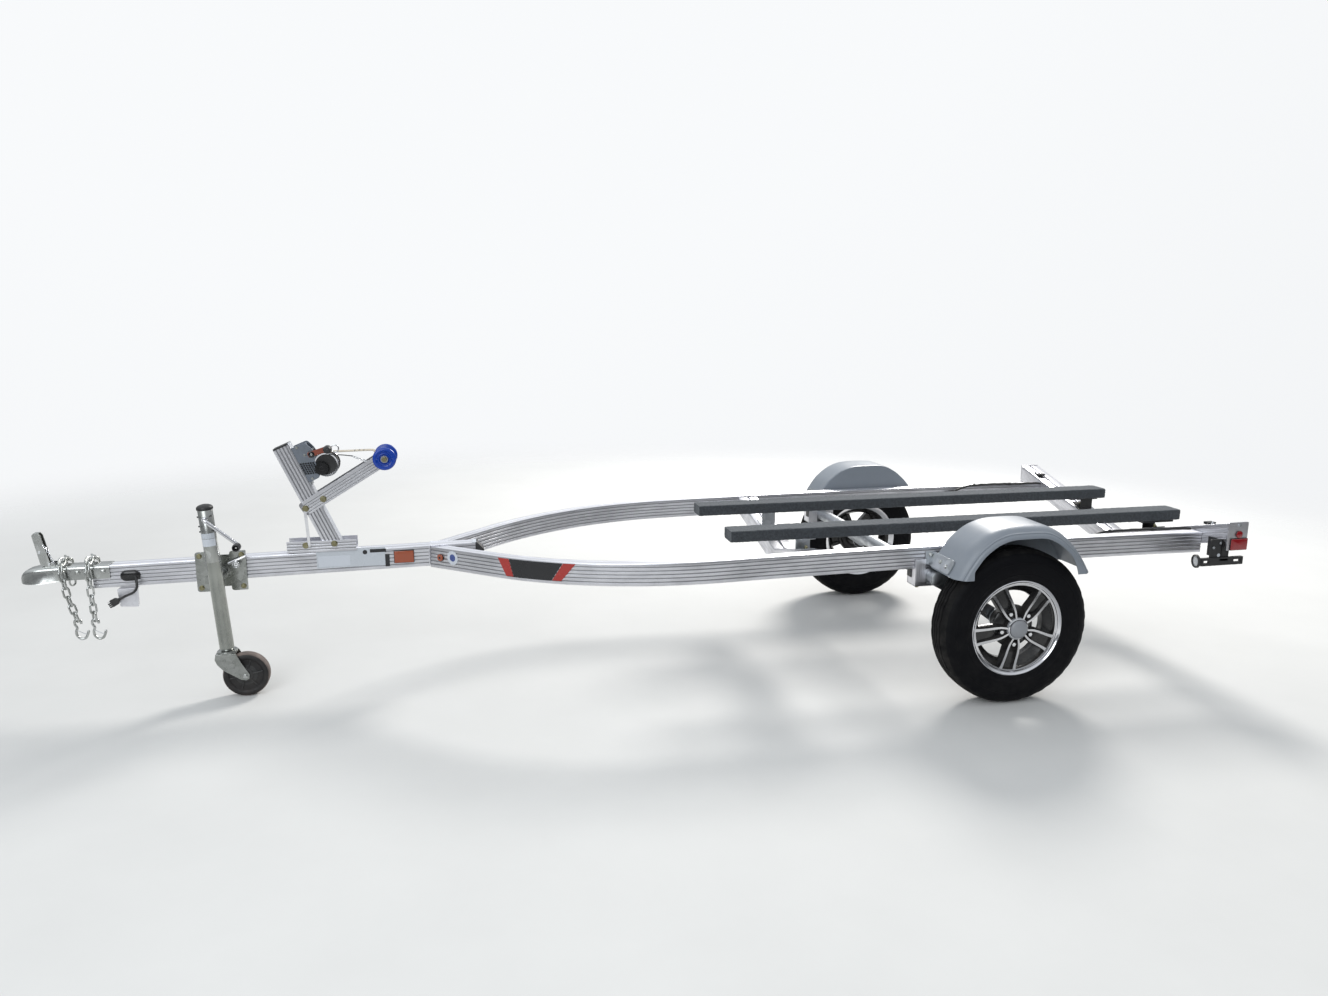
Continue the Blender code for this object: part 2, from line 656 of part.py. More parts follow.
def make_fender(label, side, trailer):
    """Flat-topped crown, rolled shoulder, a bead above the arched lip and a hollow inside."""
    stations = (
        # y from the trailer's middle, inset of the outline
        (FENDER_INNER_Y, 0.0040),
        (FENDER_INNER_Y + 0.006, 0.0),
        (FENDER_OUTER_Y - 0.040, 0.0),
        (FENDER_OUTER_Y - 0.026, 0.0048),
        (FENDER_OUTER_Y - 0.014, 0.0160),
        (FENDER_OUTER_Y - 0.008, 0.0185),
        (FENDER_OUTER_Y - 0.003, 0.0240),
        (FENDER_OUTER_Y, 0.0340),
    )
    hollow = [(FENDER_INNER_Y - 0.01, FENDER_WALL)]
    hollow += [(y - FENDER_WALL * 0.4, inset + FENDER_WALL) for y, inset in stations[1:5]]
    hollow += [(FENDER_OUTER_Y - FENDER_WALL, 0.034 + FENDER_WALL)]
    fender = add_object(f"fender_{label}", arch_shell(stations, side, 0.0), "fender_plastic", trailer, smooth=25)
    cut(fender, arch_shell(hollow, side, 0.02))
    radius, centre_x, centre_z = 0.201, -0.004, 0.398
    lip = [(radius * math.cos(math.radians(a)) + centre_x, centre_z + radius * math.sin(math.radians(a)))
           for a in range(-16, 197, 14)]
    lip = [(0.19, 0.30), *lip, (-0.20, 0.30)]
    cut(fender, prism(lip, *sorted((side * (FENDER_OUTER_Y - 0.012), side * (FENDER_OUTER_Y + 0.02)))))


def arch_shell(stations, side, below):
    """A closed solid through arch outlines at several distances from the middle."""
    section_rings = []
    for y, inset in stations:
        arch = fender_outline(inset)
        first, last = arch[0], arch[-1]
        arch = [(first[0], FENDER_BOTTOM - below), *arch[1:-1], (last[0], FENDER_BOTTOM - below)]
        section_rings.append([(x, side * y, z) for x, z in arch])
    bm = bmesh.new()
    rings = [[bm.verts.new(spot) for spot in ring] for ring in section_rings]
    count = len(rings[0])
    for ring, following in zip(rings, rings[1:]):
        for corner in range(count):
            after = (corner + 1) % count
            bm.faces.new((ring[corner], ring[after], following[after], following[corner]))
    bm.faces.new(rings[0])
    bm.faces.new(rings[-1])
    return mesh_from(bm)


def make_fender_brackets(trailer):
    """Plates on the rails' outer faces, each with a strap that lies on the sloping foot of a fender."""
    places = (
        # end, foot and knee of the fender's slope, reach of the strap, plate's x range and z range
        ("front", (-0.250, 0.445), (-0.226, 0.492), 0.104, (-0.2615, -0.226), (0.450, 0.498)),
        ("rear", (0.254, 0.445), (0.229, 0.488), 0.062, (0.229, 0.264), (0.446, 0.492)),
    )
    for label, side in SIDES:
        for end, foot, knee, reach, x_range, z_range in places:
            low, high = sorted((side * (RAIL_OUTER_Y + GAP), side * (RAIL_OUTER_Y + 0.0045)))
            plate = block(x_range, (low, high), z_range)
            bracket = add_object(f"fender_bracket_{end}_{label}", plate, "galvanised_steel", trailer)
            along = (Vector(knee) - Vector(foot)).normalized()
            outward = Vector((-along.y, along.x)) if end == "front" else Vector((along.y, -along.x))
            middle = Vector(foot) + along * 0.027 + outward * (STRAP_THICKNESS / 2 + GAP)
            inner, outer = side * (RAIL_OUTER_Y + 0.001), side * (RAIL_OUTER_Y + reach)
            corners = [(inner, -0.019), (outer, -0.019), (outer, 0.019), (inner, 0.019)]
            strap = prism(rounded_outline(corners, 0.008), -STRAP_THICKNESS / 2, STRAP_THICKNESS / 2, "X")
            join(bracket, moved(strap, (middle.x, 0, middle.y), math.atan2(along.x, along.y)))


# Bunks

def make_bunks(trailer):
    for label, side in SIDES:
        y_range = (side * BUNK_Y - BUNK_WIDTH / 2, side * BUNK_Y + BUNK_WIDTH / 2)
        board = block((BUNK_FRONT_X, BUNK_REAR_X), y_range, (BUNK_TOP - BUNK_THICKNESS, BUNK_TOP))
        bevel_edges(add_object(f"bunk_{label}", board, "carpet", trailer), 0.005, 2)


# Coupler, chains and plug

def make_coupler(trailer):
    """Channel over the tongue that swells to a ball socket at its nose."""
    stations = (
        # x, half width, top, bottom
        (-2.985, 0.0315, 0.4705, 0.4230),
        (-3.110, 0.0315, 0.4705, 0.4230),
        (-3.170, 0.0340, 0.4700, 0.4180),
        (-3.200, 0.0370, 0.4690, 0.4150),
        (-3.232, 0.0330, 0.4640, 0.4150),
        (-3.252, 0.0220, 0.4520, 0.4160),
        (-3.2625, 0.0080, 0.4360, 0.4170),
    )
    frames = []
    bm = bmesh.new()
    for x, half, top, bottom in stations:
        corner = min(0.010, half * 0.45)
        ring = [(-half, bottom), (half, bottom), (half, top - corner), (half - corner, top),
                (-half + corner, top), (-half, top - corner)]
        frames.append([bm.verts.new((x, y, z)) for y, z in ring])
    for ring, following in zip(frames, frames[1:]):
        for corner in range(6):
            after = (corner + 1) % 6
            bm.faces.new((ring[corner], ring[after], following[after], following[corner]))
    bm.faces.new(frames[0])
    bm.faces.new(frames[-1])
    coupler = add_object("coupler", mesh_from(bm), "zinc_plate", trailer, smooth=30)
    inside = TONGUE_WIDTH / 2 + GAP
    cut(coupler, block((-3.165, -2.9), (-inside, inside), (0.35, tongue_top(-2.985) + GAP)))
    socket = turned([(0.0, -0.06), (0.0265, -0.06), (0.0265, 0.016), (0.018, 0.030), (0.0, 0.034)], 20, "Z")
    cut(coupler, moved(socket, (-3.208, 0, 0.425)))
    lever = [(-3.197, 0.4725), (-3.168, 0.4725), (-3.188, 0.576), (-3.194, 0.584), (-3.208, 0.584), (-3.2145, 0.577)]
    latch = add_object("coupler_latch", prism(lever, -0.012, 0.012), "zinc_plate", trailer)
    inside = [(-3.188, 0.482), (-3.150, 0.482), (-3.170, 0.590), (-3.204, 0.577)]
    cut(latch, prism(inside, -0.009, 0.009))


def loop_of_wire(points, radius, sides=4, closed=True):
    """Round wire along points, as one mesh."""
    bm = bmesh.new()
    count = len(points)
    rings = []
    side = None
    for index, spot in enumerate(points):
        if closed:
            ahead = (points[(index + 1) % count] - points[index - 1]).normalized()
        else:
            ahead = (points[min(index + 1, count - 1)] - points[max(index - 1, 0)]).normalized()
        side = side or Vector((0.31, 0.77, 0.56))
        side = (side - ahead * side.dot(ahead)).normalized()
        up = ahead.cross(side)
        angles = [2 * math.pi * step / sides for step in range(sides)]
        rings.append([bm.verts.new(spot + side * radius * math.cos(a) + up * radius * math.sin(a)) for a in angles])
    pairs = list(zip(rings, rings[1:] + rings[:1])) if closed else list(zip(rings, rings[1:]))
    for ring, following in pairs:
        for corner in range(sides):
            after = (corner + 1) % sides
            bm.faces.new((ring[corner], ring[after], following[after], following[corner]))
    if not closed:
        bm.faces.new(rings[0])
        bm.faces.new(rings[-1])
    return mesh_from(bm)


def chain_link(centre, along, across):
    """One link, a long loop in the plane of the two directions."""
    half, end, width, bend = LINK_HALF_LENGTH, 0.0035, LINK_HALF_WIDTH, 0.0065
    corners = [(half, end), (half - bend, width), (bend - half, width), (-half, end),
               (-half, -end), (bend - half, -width), (half - bend, -width), (half, -end)]
    return loop_of_wire([centre + along * a + across * b for a, b in corners], LINK_WIRE)


def make_chains(trailer):
    """Safety chains laid over the coupler, link by link, with their hooks hanging down."""
    chains = (
        # name, x over the coupler, how far the hanging end leans to the rear
        ("left", -3.128, 0.040),
        ("right", -3.046, 0.014),
    )
    for label, x, lean in chains:
        route = [(x, 0.0460, 0.388), (x, 0.0460, 0.445), (x, 0.0430, 0.4725), (x, 0.0300, 0.4850), (x, 0.0, 0.4870),
                 (x, -0.0300, 0.4850), (x, -0.0430, 0.4725), (x + lean * 0.1, -0.0460, 0.445),
                 (x + lean * 0.4, -0.0470, 0.370), (x + lean, -0.0480, 0.290), (x + lean * 1.1, -0.0480, 0.270)]
        path = smooth_route(route, 0.002)
        spots = [path[min(round(LINK_PITCH * (index + 0.5) / 0.002), len(path) - 3)] for index in range(LINK_COUNT)]
        chain = None
        for index, spot in enumerate(spots):
            before, after = spots[max(index - 1, 0)], spots[min(index + 1, LINK_COUNT - 1)]
            along = (after - before).normalized()
            outward = Vector((1, 0, 0)).cross(along)
            across = (Vector((1, 0, 0)) + outward * (1 if index % 2 else -1)).normalized()
            link = chain_link(spot, along, across)
            if chain is None:
                chain = add_object(f"safety_chain_{label}", link, "zinc_plate", trailer)
            else:
                join(chain, link)
        end = spots[-1] + (spots[-1] - spots[-2]).normalized() * LINK_HALF_LENGTH
        hook = [end + Vector((a, 0, b)) for a, b in HOOK_SHAPE]
        join(chain, loop_of_wire(hook, 0.0038, 5, closed=False))


def make_plug(trailer):
    side = -TONGUE_WIDTH / 2
    grommet = turned([(0.0, 0.0), (0.0185, 0.0), (0.0185, 0.004), (0.0125, 0.009), (0.0, 0.009)], 20)
    add_object("cable_grommet", moved(grommet, (GROMMET_X, side - GAP, GROMMET_Z), math.pi, "X"), "black_plastic", trailer)
    outline = [(-2.972, 0.3835), (-2.905, 0.3835), (-2.909, 0.318), (-2.968, 0.322)]
    low, high = side - 0.0020, side
    plate = add_object("plug_plate", prism(outline, low, high), "mill_aluminium", trailer)
    bottom = tongue_top(-2.94) - TUBE_HEIGHT
    join(plate, block((-2.968, -2.908), (side - 0.001, side + 0.030), (0.3815, bottom - 0.0012)))
    route = [(GROMMET_X, side - 0.0097, GROMMET_Z), (GROMMET_X, side - 0.026, GROMMET_Z - 0.004),
             (GROMMET_X + 0.010, side - 0.036, GROMMET_Z - 0.026), (GROMMET_X + 0.008, side - 0.034, GROMMET_Z - 0.050),
             (GROMMET_X - 0.012, side - 0.030, GROMMET_Z - 0.070), (GROMMET_X - 0.034, side - 0.026, GROMMET_Z - 0.084)]
    path = smooth_route(route, 0.009)
    rod("plug_cable", path, 0.0032, "black_plastic", trailer)
    heading = (path[-1] - path[-2]).normalized()
    body = block((GAP, 0.036), (-0.005, 0.005), (-0.011, 0.011))
    add_object("flat_plug", body, "black_plastic", trailer, path[-1], heading.to_track_quat("X", "Z").to_euler())


# Jack

def make_jack(trailer):
    side_face = -TONGUE_WIDTH / 2
    plates = [(-2.716, 0.358), (-2.553, 0.358), (-2.553, 0.498), (-2.716, 0.498)]
    mount = add_object("jack_mount", prism(plates, side_face - 0.006, side_face - GAP), "zinc_plate", trailer)
    boss = cylinder(0.030, side_face - 0.030, side_face - 0.004, 20)
    join(mount, moved(boss, (JACK_PIVOT_X, 0, JACK_PIVOT_Z)))
    for x, z in JACK_BOLTS:
        join(mount, moved(cylinder(0.0095, side_face - 0.0125, side_face - 0.004, 6), (x, 0, z)))
    pull_pin = cylinder(0.007, side_face - 0.034, side_face - 0.004, 10)
    join(mount, moved(pull_pin, (JACK_PIVOT_X + 0.052, 0, JACK_PIVOT_Z + 0.030)))
    swing = pivot("jack_swing_axis", (JACK_PIVOT_X, JACK_Y, JACK_PIVOT_Z), trailer, (0, -JACK_LEAN, 0))
    wall = 0.0030
    outline = [(JACK_TUBE_RADIUS, JACK_TUBE_BOTTOM), (JACK_TUBE_RADIUS, JACK_TUBE_TOP),
               (0.0, JACK_TUBE_TOP), (0.0, JACK_TUBE_TOP - wall),
               (JACK_TUBE_RADIUS - wall, JACK_TUBE_TOP - wall), (JACK_TUBE_RADIUS - wall, JACK_TUBE_BOTTOM)]
    tube = add_object("jack_tube", turned(outline, 24, "Z"), "zinc_plate", swing, smooth=35)
    outside = side_face - 0.031 - JACK_Y
    stub = cylinder(0.0225, JACK_TUBE_RADIUS - 0.002, outside, 20)
    join(tube, stub)
    cap = turned([(0.0, 0.0), (0.0262, 0.0), (0.0262, 0.009), (0.020, 0.015), (0.0, 0.018)], 24, "Z")
    add_object("jack_cap", moved(cap, (0, 0, JACK_TUBE_TOP + GAP)), "black_plastic", swing, smooth=35)
    crank_z = JACK_TUBE_TOP - 0.030
    front = -JACK_TUBE_RADIUS - GAP
    points = [(0, front, crank_z), (0, front - 0.010, crank_z), (0.004, front - 0.014, crank_z - 0.003),
              (0.090, front - 0.014, crank_z - 0.089), (0.094, front - 0.017, crank_z - 0.094),
              (0.094, front - 0.0222, crank_z - 0.094)]
    rod("jack_crank", points, 0.0055, "zinc_plate", swing)
    knob = turned([(0.0, 0.0), (0.010, 0.0), (0.013, 0.010), (0.013, 0.030), (0.009, 0.038), (0.0, 0.038)], 16)
    add_object("jack_crank_knob", moved(knob, (0.094, front - 0.0225, crank_z - 0.094), math.pi, "X"),
               "black_plastic", swing, smooth=40)
    leg = pivot("jack_leg_axis", (0, 0, 0), swing)
    inner = cylinder(JACK_LEG_RADIUS, JACK_TUBE_BOTTOM - 0.006, JACK_TUBE_TOP - 0.040, 20, "Z")
    add_object("jack_leg", inner, "zinc_plate", leg, smooth=40)
    make_caster(trailer, swing)


def make_caster(trailer, swing):
    """Fork that swivels under the leg and the wheel that it carries, built in the trailer's upright frame."""
    lean = Matrix.Rotation(-JACK_LEAN, 4, "Y")
    foot = Vector((JACK_PIVOT_X, JACK_Y, JACK_PIVOT_Z)) + lean @ Vector((0, 0, JACK_TUBE_BOTTOM - 0.0063))
    fork = pivot("caster_axis", foot, trailer)
    plate = turned([(0.0, -0.0002), (0.033, -0.0002), (0.033, -0.010), (0.0, -0.010)], 20, "Z")
    plate.transform(lean)
    caster = add_object("caster_fork", plate, "zinc_plate", fork, smooth=35)
    axle = Vector((JACK_WHEEL_X, 0, JACK_WHEEL_Z)) - Vector((foot.x, 0, foot.z))
    cheek = [(-0.034, -0.008), (0.032, -0.008), (0.046, -0.040), (axle.x + 0.014, axle.z + 0.006),
             (axle.x + 0.012, axle.z - 0.010), (axle.x + 0.002, axle.z - 0.015), (axle.x - 0.014, axle.z - 0.012),
             (-0.012, -0.066), (-0.030, -0.044), (-0.037, -0.026)]
    inside = JACK_WHEEL_WIDTH / 2 + 0.004
    for side in (LEFT, RIGHT):
        low, high = sorted((side * inside, side * (inside + 0.004)))
        join(caster, prism(cheek, low, high))
    bridge = [(-0.034, -0.014), (0.030, -0.014), (0.030, -0.007), (-0.034, -0.007)]
    join(caster, prism(bridge, -inside - 0.004, inside + 0.004))
    spin = pivot("jack_wheel_axis", axle, fork)
    half = JACK_WHEEL_WIDTH / 2
    r = JACK_WHEEL_RADIUS
    outline = [(0.0, -half), (0.018, -half), (0.022, -half + 0.008), (r - 0.022, -half + 0.008),
               (r - 0.014, -half + 0.001), (r - 0.004, -half + 0.006), (r, -0.006)]
    outline += [(x, -a) for x, a in reversed(outline)]
    add_object("jack_wheel", turned(outline, 20), "tyre_rubber", spin, smooth=35)


# Winch stand

def make_winch_stand(trailer):
    """Channel on the tongue, the leaning post in it, and the channel arm that carries the bow roller."""
    seat = tongue_top(-2.30) + 0.0022
    height = 0.040
    inside = POST_HALF + GAP
    base = add_object("winch_base", prism([(-2.418, seat), (-2.186, seat), (-2.186, seat + height),
                                           (-2.418, seat + height)], -WINCH_HALF, WINCH_HALF),
                      "mill_aluminium", trailer)
    floor = 0.005
    cut(base, block((-2.5, -2.1), (-inside, inside), (seat + floor, seat + height + 0.01)))
    foot_z = seat + floor + GAP
    lean = (POST_TOP_X - POST_FOOT_X) / (POST_TOP_Z - foot_z)
    across = Vector((math.cos(math.atan(lean)), -math.sin(math.atan(lean))))
    length = Vector((POST_TOP_X - POST_FOOT_X, POST_TOP_Z - foot_z)).length
    section = ribbed_section(2 * POST_HALF, POST_DEPTH, 3)
    section = [(s, u + POST_DEPTH / 2) for s, u in section]
    up = Vector((across.x, 0, across.y))
    foot = Vector((POST_FOOT_X, 0, foot_z))
    top = Vector((POST_TOP_X, 0, POST_TOP_Z))
    below = foot - (top - foot).normalized() * 0.05
    post = add_object("winch_post", sweep(section, [(below, (0, 1, 0), up), (top, (0, 1, 0), up)]),
                      "mill_aluminium", trailer)
    cut(post, block((-2.5, -2.0), (-0.1, 0.1), (foot_z - 0.2, foot_z)))
    turn = math.atan(lean)
    make_bow_arm(trailer)
    make_brace(trailer)
    make_roller(trailer)
    make_winch(trailer, top, turn)
    make_strap(trailer)


def make_bow_arm(trailer):
    """Channel that straddles the post, open towards the top, with a cross bolt for the strap's hook."""
    slope = math.radians(ARM_SLOPE)
    half_height = 0.0245
    inside = POST_HALF + GAP
    outline = [(-0.332, -half_height), (0.020, -half_height), (0.020, half_height), (-0.332, half_height)]
    arm = prism(rounded_outline(outline, 0.012), -WINCH_HALF, WINCH_HALF)
    arm = add_object("bow_arm", arm, "mill_aluminium", trailer, (ROLLER_X, 0, ROLLER_Z), (0, -slope, 0))
    cut(arm, block((-0.4, 0.1), (-inside, inside), (-half_height + 0.004, 0.1)))
    cut(arm, block((-0.34, -0.228), (-inside, inside), (-0.1, 0.1)))
    cut(arm, block((-0.045, 0.1), (-inside, inside), (-0.1, 0.1)))
    join(arm, cylinder(0.006, -ROLLER_HALF - 0.008, ROLLER_HALF + 0.008, 12))
    head = cylinder(0.011, -ROLLER_HALF - 0.009, -ROLLER_HALF - 0.0035, 6)
    nut = cylinder(0.011, ROLLER_HALF + 0.0035, ROLLER_HALF + 0.012, 6)
    join(arm, head, nut)
    join(arm, moved(cylinder(0.005, -POST_HALF - 0.002, POST_HALF + 0.002, 12), (-0.062, 0, 0.010)))


def make_strap(trailer):
    """Winch strap, taut from the drum to its hook on the arm's cross bolt."""
    outline = [(-2.2990, 0.8185), (-2.2990, 0.8207), (-2.122, 0.8360), (-2.108, 0.8120), (-2.110, 0.8105),
               (-2.124, 0.8335)]
    add_object("winch_strap", prism(outline, -0.020, 0.020), "webbing", trailer)


def make_brace(trailer):
    outline = [(-2.361, 0.500), (-2.350, 0.500), (-2.346, 0.640), (-2.357, 0.640)]
    low = -WINCH_HALF - 0.0045
    add_object("winch_brace", prism(outline, low, -WINCH_HALF - GAP), "zinc_plate", trailer)


def make_roller(trailer):
    """Two rubber wheels on one sleeve, outside the arm's plates."""
    spin = pivot("roller_axis", (ROLLER_X, 0, ROLLER_Z), trailer)
    bore = 0.0075
    inner = WINCH_HALF + 0.0015
    for label, side in SIDES:
        outline = [(bore, inner), (0.020, inner), (ROLLER_RADIUS - 0.012, inner + 0.004), (ROLLER_RADIUS, inner + 0.009),
                   (ROLLER_RADIUS, ROLLER_HALF - 0.006), (ROLLER_RADIUS - 0.006, ROLLER_HALF), (0.022, ROLLER_HALF),
                   (0.018, ROLLER_HALF - 0.004), (bore, ROLLER_HALF - 0.004)]
        disc = turned([(r, side * a) for r, a in outline], 18)
        add_object(f"bow_roller_{label}", disc, "blue_roller", spin, smooth=35)


def make_winch(trailer, post_top, turn):
    """Hand winch on the post's rear face, built along the leaning post."""
    stand = pivot("winch_place", post_top, trailer, (0, turn, 0))
    face = POST_DEPTH / 2 + GAP
    low_z, high_z = -0.164, -0.006
    sheet = 0.0035
    half = 0.031
    frame = add_object("winch_frame", block((face, face + sheet), (-half, half), (low_z, high_z)), "galvanised_steel", stand)
    cheek = rounded_outline([(face, low_z), (face + 0.050, low_z + 0.004), (face + 0.074, -0.126), (face + 0.058, -0.084),
                             (face + 0.082, -0.050), (face + 0.060, high_z + 0.008), (face, high_z - 0.002)], 0.009)
    for side in (LEFT, RIGHT):
        join(frame, prism(cheek, *sorted((side * (half - sheet), side * half))))
    axis_x, axis_z = face + 0.050, -0.118
    inside = half - sheet - 0.0015
    drum = [(0.0, -inside), (0.045, -inside), (0.045, -inside + 0.002), (DRUM_RADIUS, -inside + 0.002),
            (DRUM_RADIUS, inside - 0.002), (0.045, inside - 0.002), (0.045, inside), (0.0, inside)]
    add_object("winch_drum", moved(turned(drum, 24), (axis_x, 0, axis_z)), "black_steel", stand, smooth=35)
    gear = cylinder(0.024, -half - 0.0080, -half + 0.001, 20)
    join(frame, moved(gear, (axis_x - 0.008, 0, axis_z - 0.014)))
    hub_x, hub_z = face + 0.044, -0.084
    hub = cylinder(0.013, -half - 0.014, -half - GAP, 16)
    crank = add_object("winch_crank", moved(hub, (hub_x, 0, hub_z)), "zinc_plate", stand)
    end_x, end_z = face + 0.108, -0.096
    arm = rounded_outline([(hub_x - 0.012, hub_z - 0.008), (end_x + 0.010, end_z - 0.009), (end_x + 0.010, end_z + 0.009),
                           (hub_x - 0.012, hub_z + 0.012)], 0.006)
    join(crank, prism(arm, -half - 0.013, -half - 0.006))
    grip = turned([(0.0, 0.0), (0.009, 0.0), (0.014, 0.010), (0.014, 0.032), (0.010, 0.040), (0.0, 0.040)], 16)
    add_object("winch_grip", moved(grip, (end_x, -half - 0.0133, end_z), math.pi, "X"), "black_plastic", stand, smooth=40)


def main():
    clear_scene()
    lift = TYRE_RADIUS - AXLE_Z * math.cos(PITCH)
    trailer = pivot("trailer_frame", (AXLE_X, 0, lift), turn=(0, PITCH, 0))
    make_tongue(trailer)
    make_rails(trailer)
    make_cross_members(trailer)
    make_licence_bracket(trailer)
    make_axle(trailer)
    make_axle_clamps(trailer)
    for label, side in SIDES:
        make_wheel(label, side, trailer)
        make_fender(label, side, trailer)
    make_fender_brackets(trailer)
    make_bunks(trailer)
    make_coupler(trailer)
    make_chains(trailer)
    make_plug(trailer)
    make_jack(trailer)
    make_winch_stand(trailer)


main()
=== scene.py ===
"""Finished look of an aluminium boat trailer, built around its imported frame.

Metres, +Z up. The coupler points to -X and the trailer's left side is at -Y.
Positions along the trailer are measured from the wheel axle, as on a builder's drawing.
"""
import math

import bmesh
import bpy
from bpy.props import FloatProperty, FloatVectorProperty, IntProperty, PointerProperty
from mathutils import Matrix, Vector, noise


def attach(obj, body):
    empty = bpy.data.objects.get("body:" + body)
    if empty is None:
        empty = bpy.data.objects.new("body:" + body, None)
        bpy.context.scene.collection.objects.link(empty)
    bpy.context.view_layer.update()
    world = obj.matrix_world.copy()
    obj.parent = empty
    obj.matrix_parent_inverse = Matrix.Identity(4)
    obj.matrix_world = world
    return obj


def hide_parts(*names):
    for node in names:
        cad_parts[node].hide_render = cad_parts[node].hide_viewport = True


bl_info = {
    "name": "Boat Trailer",
    "version": (1, 0, 0),
    "blender": (4, 5, 0),
    "location": "View3D > Sidebar > Trailer",
    "description": "Builds the finished pieces of a single-axle boat trailer",
    "category": "Add Mesh",
}

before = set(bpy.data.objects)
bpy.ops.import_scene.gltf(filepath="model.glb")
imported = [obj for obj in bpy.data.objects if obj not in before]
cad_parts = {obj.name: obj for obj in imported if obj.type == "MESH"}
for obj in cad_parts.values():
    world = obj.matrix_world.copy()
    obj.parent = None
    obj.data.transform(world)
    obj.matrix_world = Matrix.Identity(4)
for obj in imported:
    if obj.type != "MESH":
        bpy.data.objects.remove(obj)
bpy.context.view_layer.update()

LEFT, RIGHT = -1, 1
SIDES = (("left", LEFT), ("right", RIGHT))

# How the trailer stands: its own frame starts under the wheel axle, and its nose is a little low
PITCH = math.radians(-0.54)
AXLE_Z = 0.258
TRACK_HALF = 0.6527
WHEEL_RADIUS = 0.2725
STANCE = Matrix.Translation((1.1506, 0, WHEEL_RADIUS - AXLE_Z * math.cos(PITCH))) @ Matrix.Rotation(PITCH, 4, "Y")
GAP = 0.0003

# The photo's camera: its frame in pixels, its place and how it is turned
PHOTO_WIDTH = 1328
PHOTO_FOCAL = 972.07              # pixels
CAMERA_PLACE = (-1.8429, -3.5174, 1.3284)
CAMERA_YAW = 0.2167               # to the rear of the trailer
CAMERA_PITCH = 0.1957             # downwards
CAMERA_ROLL = 0.0017
SENSOR_WIDTH = 36.0               # millimetres

# Extruded beams
TONGUE_WIDTH = 0.055
TONGUE_FRONT, TONGUE_REAR = -3.04, -1.774
BEAM_HEIGHT = 0.0762
RAIL_WIDTH = 0.044
RAIL_OUTER_Y = 0.532
RAIL_REAR = 0.8477
RAIL_BEND_START = -0.985
RAIL_BEND_RADIUS = 1.06
RAIL_BEND_ANGLE = math.radians(44)
CROSS_HEIGHT = 0.07
CROSS_WIDTH = 0.083
REAR_CROSS_X, REAR_CROSS_TOP, REAR_CROSS_RISE, REAR_CROSS_HALF = 0.8895, 0.395, 0.27, 0.648
FRONT_CROSS_X, FRONT_CROSS_TOP, FRONT_CROSS_RISE = -0.585, 0.392, 0.232
END_PLATE_TOP = REAR_CROSS_TOP + REAR_CROSS_RISE * REAR_CROSS_HALF + 0.002
BUNK_Y, BUNK_WIDTH, BUNK_LOW, BUNK_TOP, BUNK_FRONT, BUNK_REAR = 0.2285, 0.0946, 0.4943, 0.5386, -0.884, 0.97
AXLE_TUBE = Vector((-0.236, 0, 0.4105))
AXLE_TUBE_RADIUS, AXLE_TUBE_HALF = 0.025, 0.5705


def tongue_top(x):
    return 0.5108 + 0.0148 * x


def rail_top(x):
    return 0.5149 + 0.0028 * x - 0.0086 * x * x


# Settings that a user would change

class TRAILER_PG_finishes(bpy.types.PropertyGroup):
    aluminium: FloatVectorProperty(name="Aluminium", description="Colour of the mill-finish beams",
                                   subtype="COLOR", default=(0.7, 0.7, 0.735), min=0, max=1)
    fender: FloatVectorProperty(name="Fender", description="Colour of the moulded fenders",
                                subtype="COLOR", default=(0.215, 0.24, 0.275), min=0, max=1)
    carpet: FloatVectorProperty(name="Carpet", description="Colour of the carpet on the bunks",
                                subtype="COLOR", default=(0.03, 0.034, 0.039), min=0, max=1)
    roller: FloatVectorProperty(name="Roller", description="Colour of the bow rollers",
                                subtype="COLOR", default=(0.0015, 0.042, 0.34), min=0, max=1)
    lens: FloatVectorProperty(name="Red lens", description="Colour of the rear lamps",
                              subtype="COLOR", default=(0.34, 0.004, 0.01), min=0, max=1)
    dust: FloatProperty(name="Dust", description="How dusty the rubber and the low parts are",
                        subtype="FACTOR", default=0.35, min=0, max=1)


class TRAILER_PG_frame(bpy.types.PropertyGroup):
    rib_depth: FloatProperty(name="Rib depth", description="Depth of the grooves along a beam",
                             subtype="DISTANCE", default=0.0016, min=0.0005, max=0.004)
    rib_count: IntProperty(name="Ribs", description="Grooves along each side of a beam", default=5, min=1, max=9)
    nap: FloatProperty(name="Carpet nap", description="Height of the carpet's tufts",
                       subtype="DISTANCE", default=0.0013, min=0, max=0.004)


class TRAILER_PG_wheel(bpy.types.PropertyGroup):
    tyre_radius: FloatProperty(name="Tyre radius", description="Outside radius of the tyre",
                               subtype="DISTANCE", default=WHEEL_RADIUS, min=0.2, max=0.4)
    tread_depth: FloatProperty(name="Tread depth", description="Depth of the grooves in the tread",
                               subtype="DISTANCE", default=0.006, min=0.001, max=0.012)
    spokes: IntProperty(name="Spokes", description="Split spokes in each rim", default=5, min=3, max=9)


class TRAILER_PG_stage(bpy.types.PropertyGroup):
    floor_colour: FloatVectorProperty(name="Floor", description="Colour of the studio floor",
                                      subtype="COLOR", default=(0.6, 0.6, 0.59), min=0, max=1)
    key_power: FloatProperty(name="Key light", description="Power of the light behind the trailer, in watts",
                             default=470.0, min=0, max=3000)
    fill_power: FloatProperty(name="Fill light", description="Power of the light in front, in watts",
                              default=170.0, min=0, max=3000)
    sky: FloatProperty(name="Sky", description="Strength of the light from all round", default=0.52, min=0, max=2)


# Shader nodes

def feed(tree, node, feeds):
    """Set a node's inputs, by name or number, to values or to what another node's socket gives."""
    for name, value in feeds.items():
        if isinstance(value, bpy.types.NodeSocket):
            tree.links.new(value, node.inputs[name])
        else:
            node.inputs[name].default_value = value


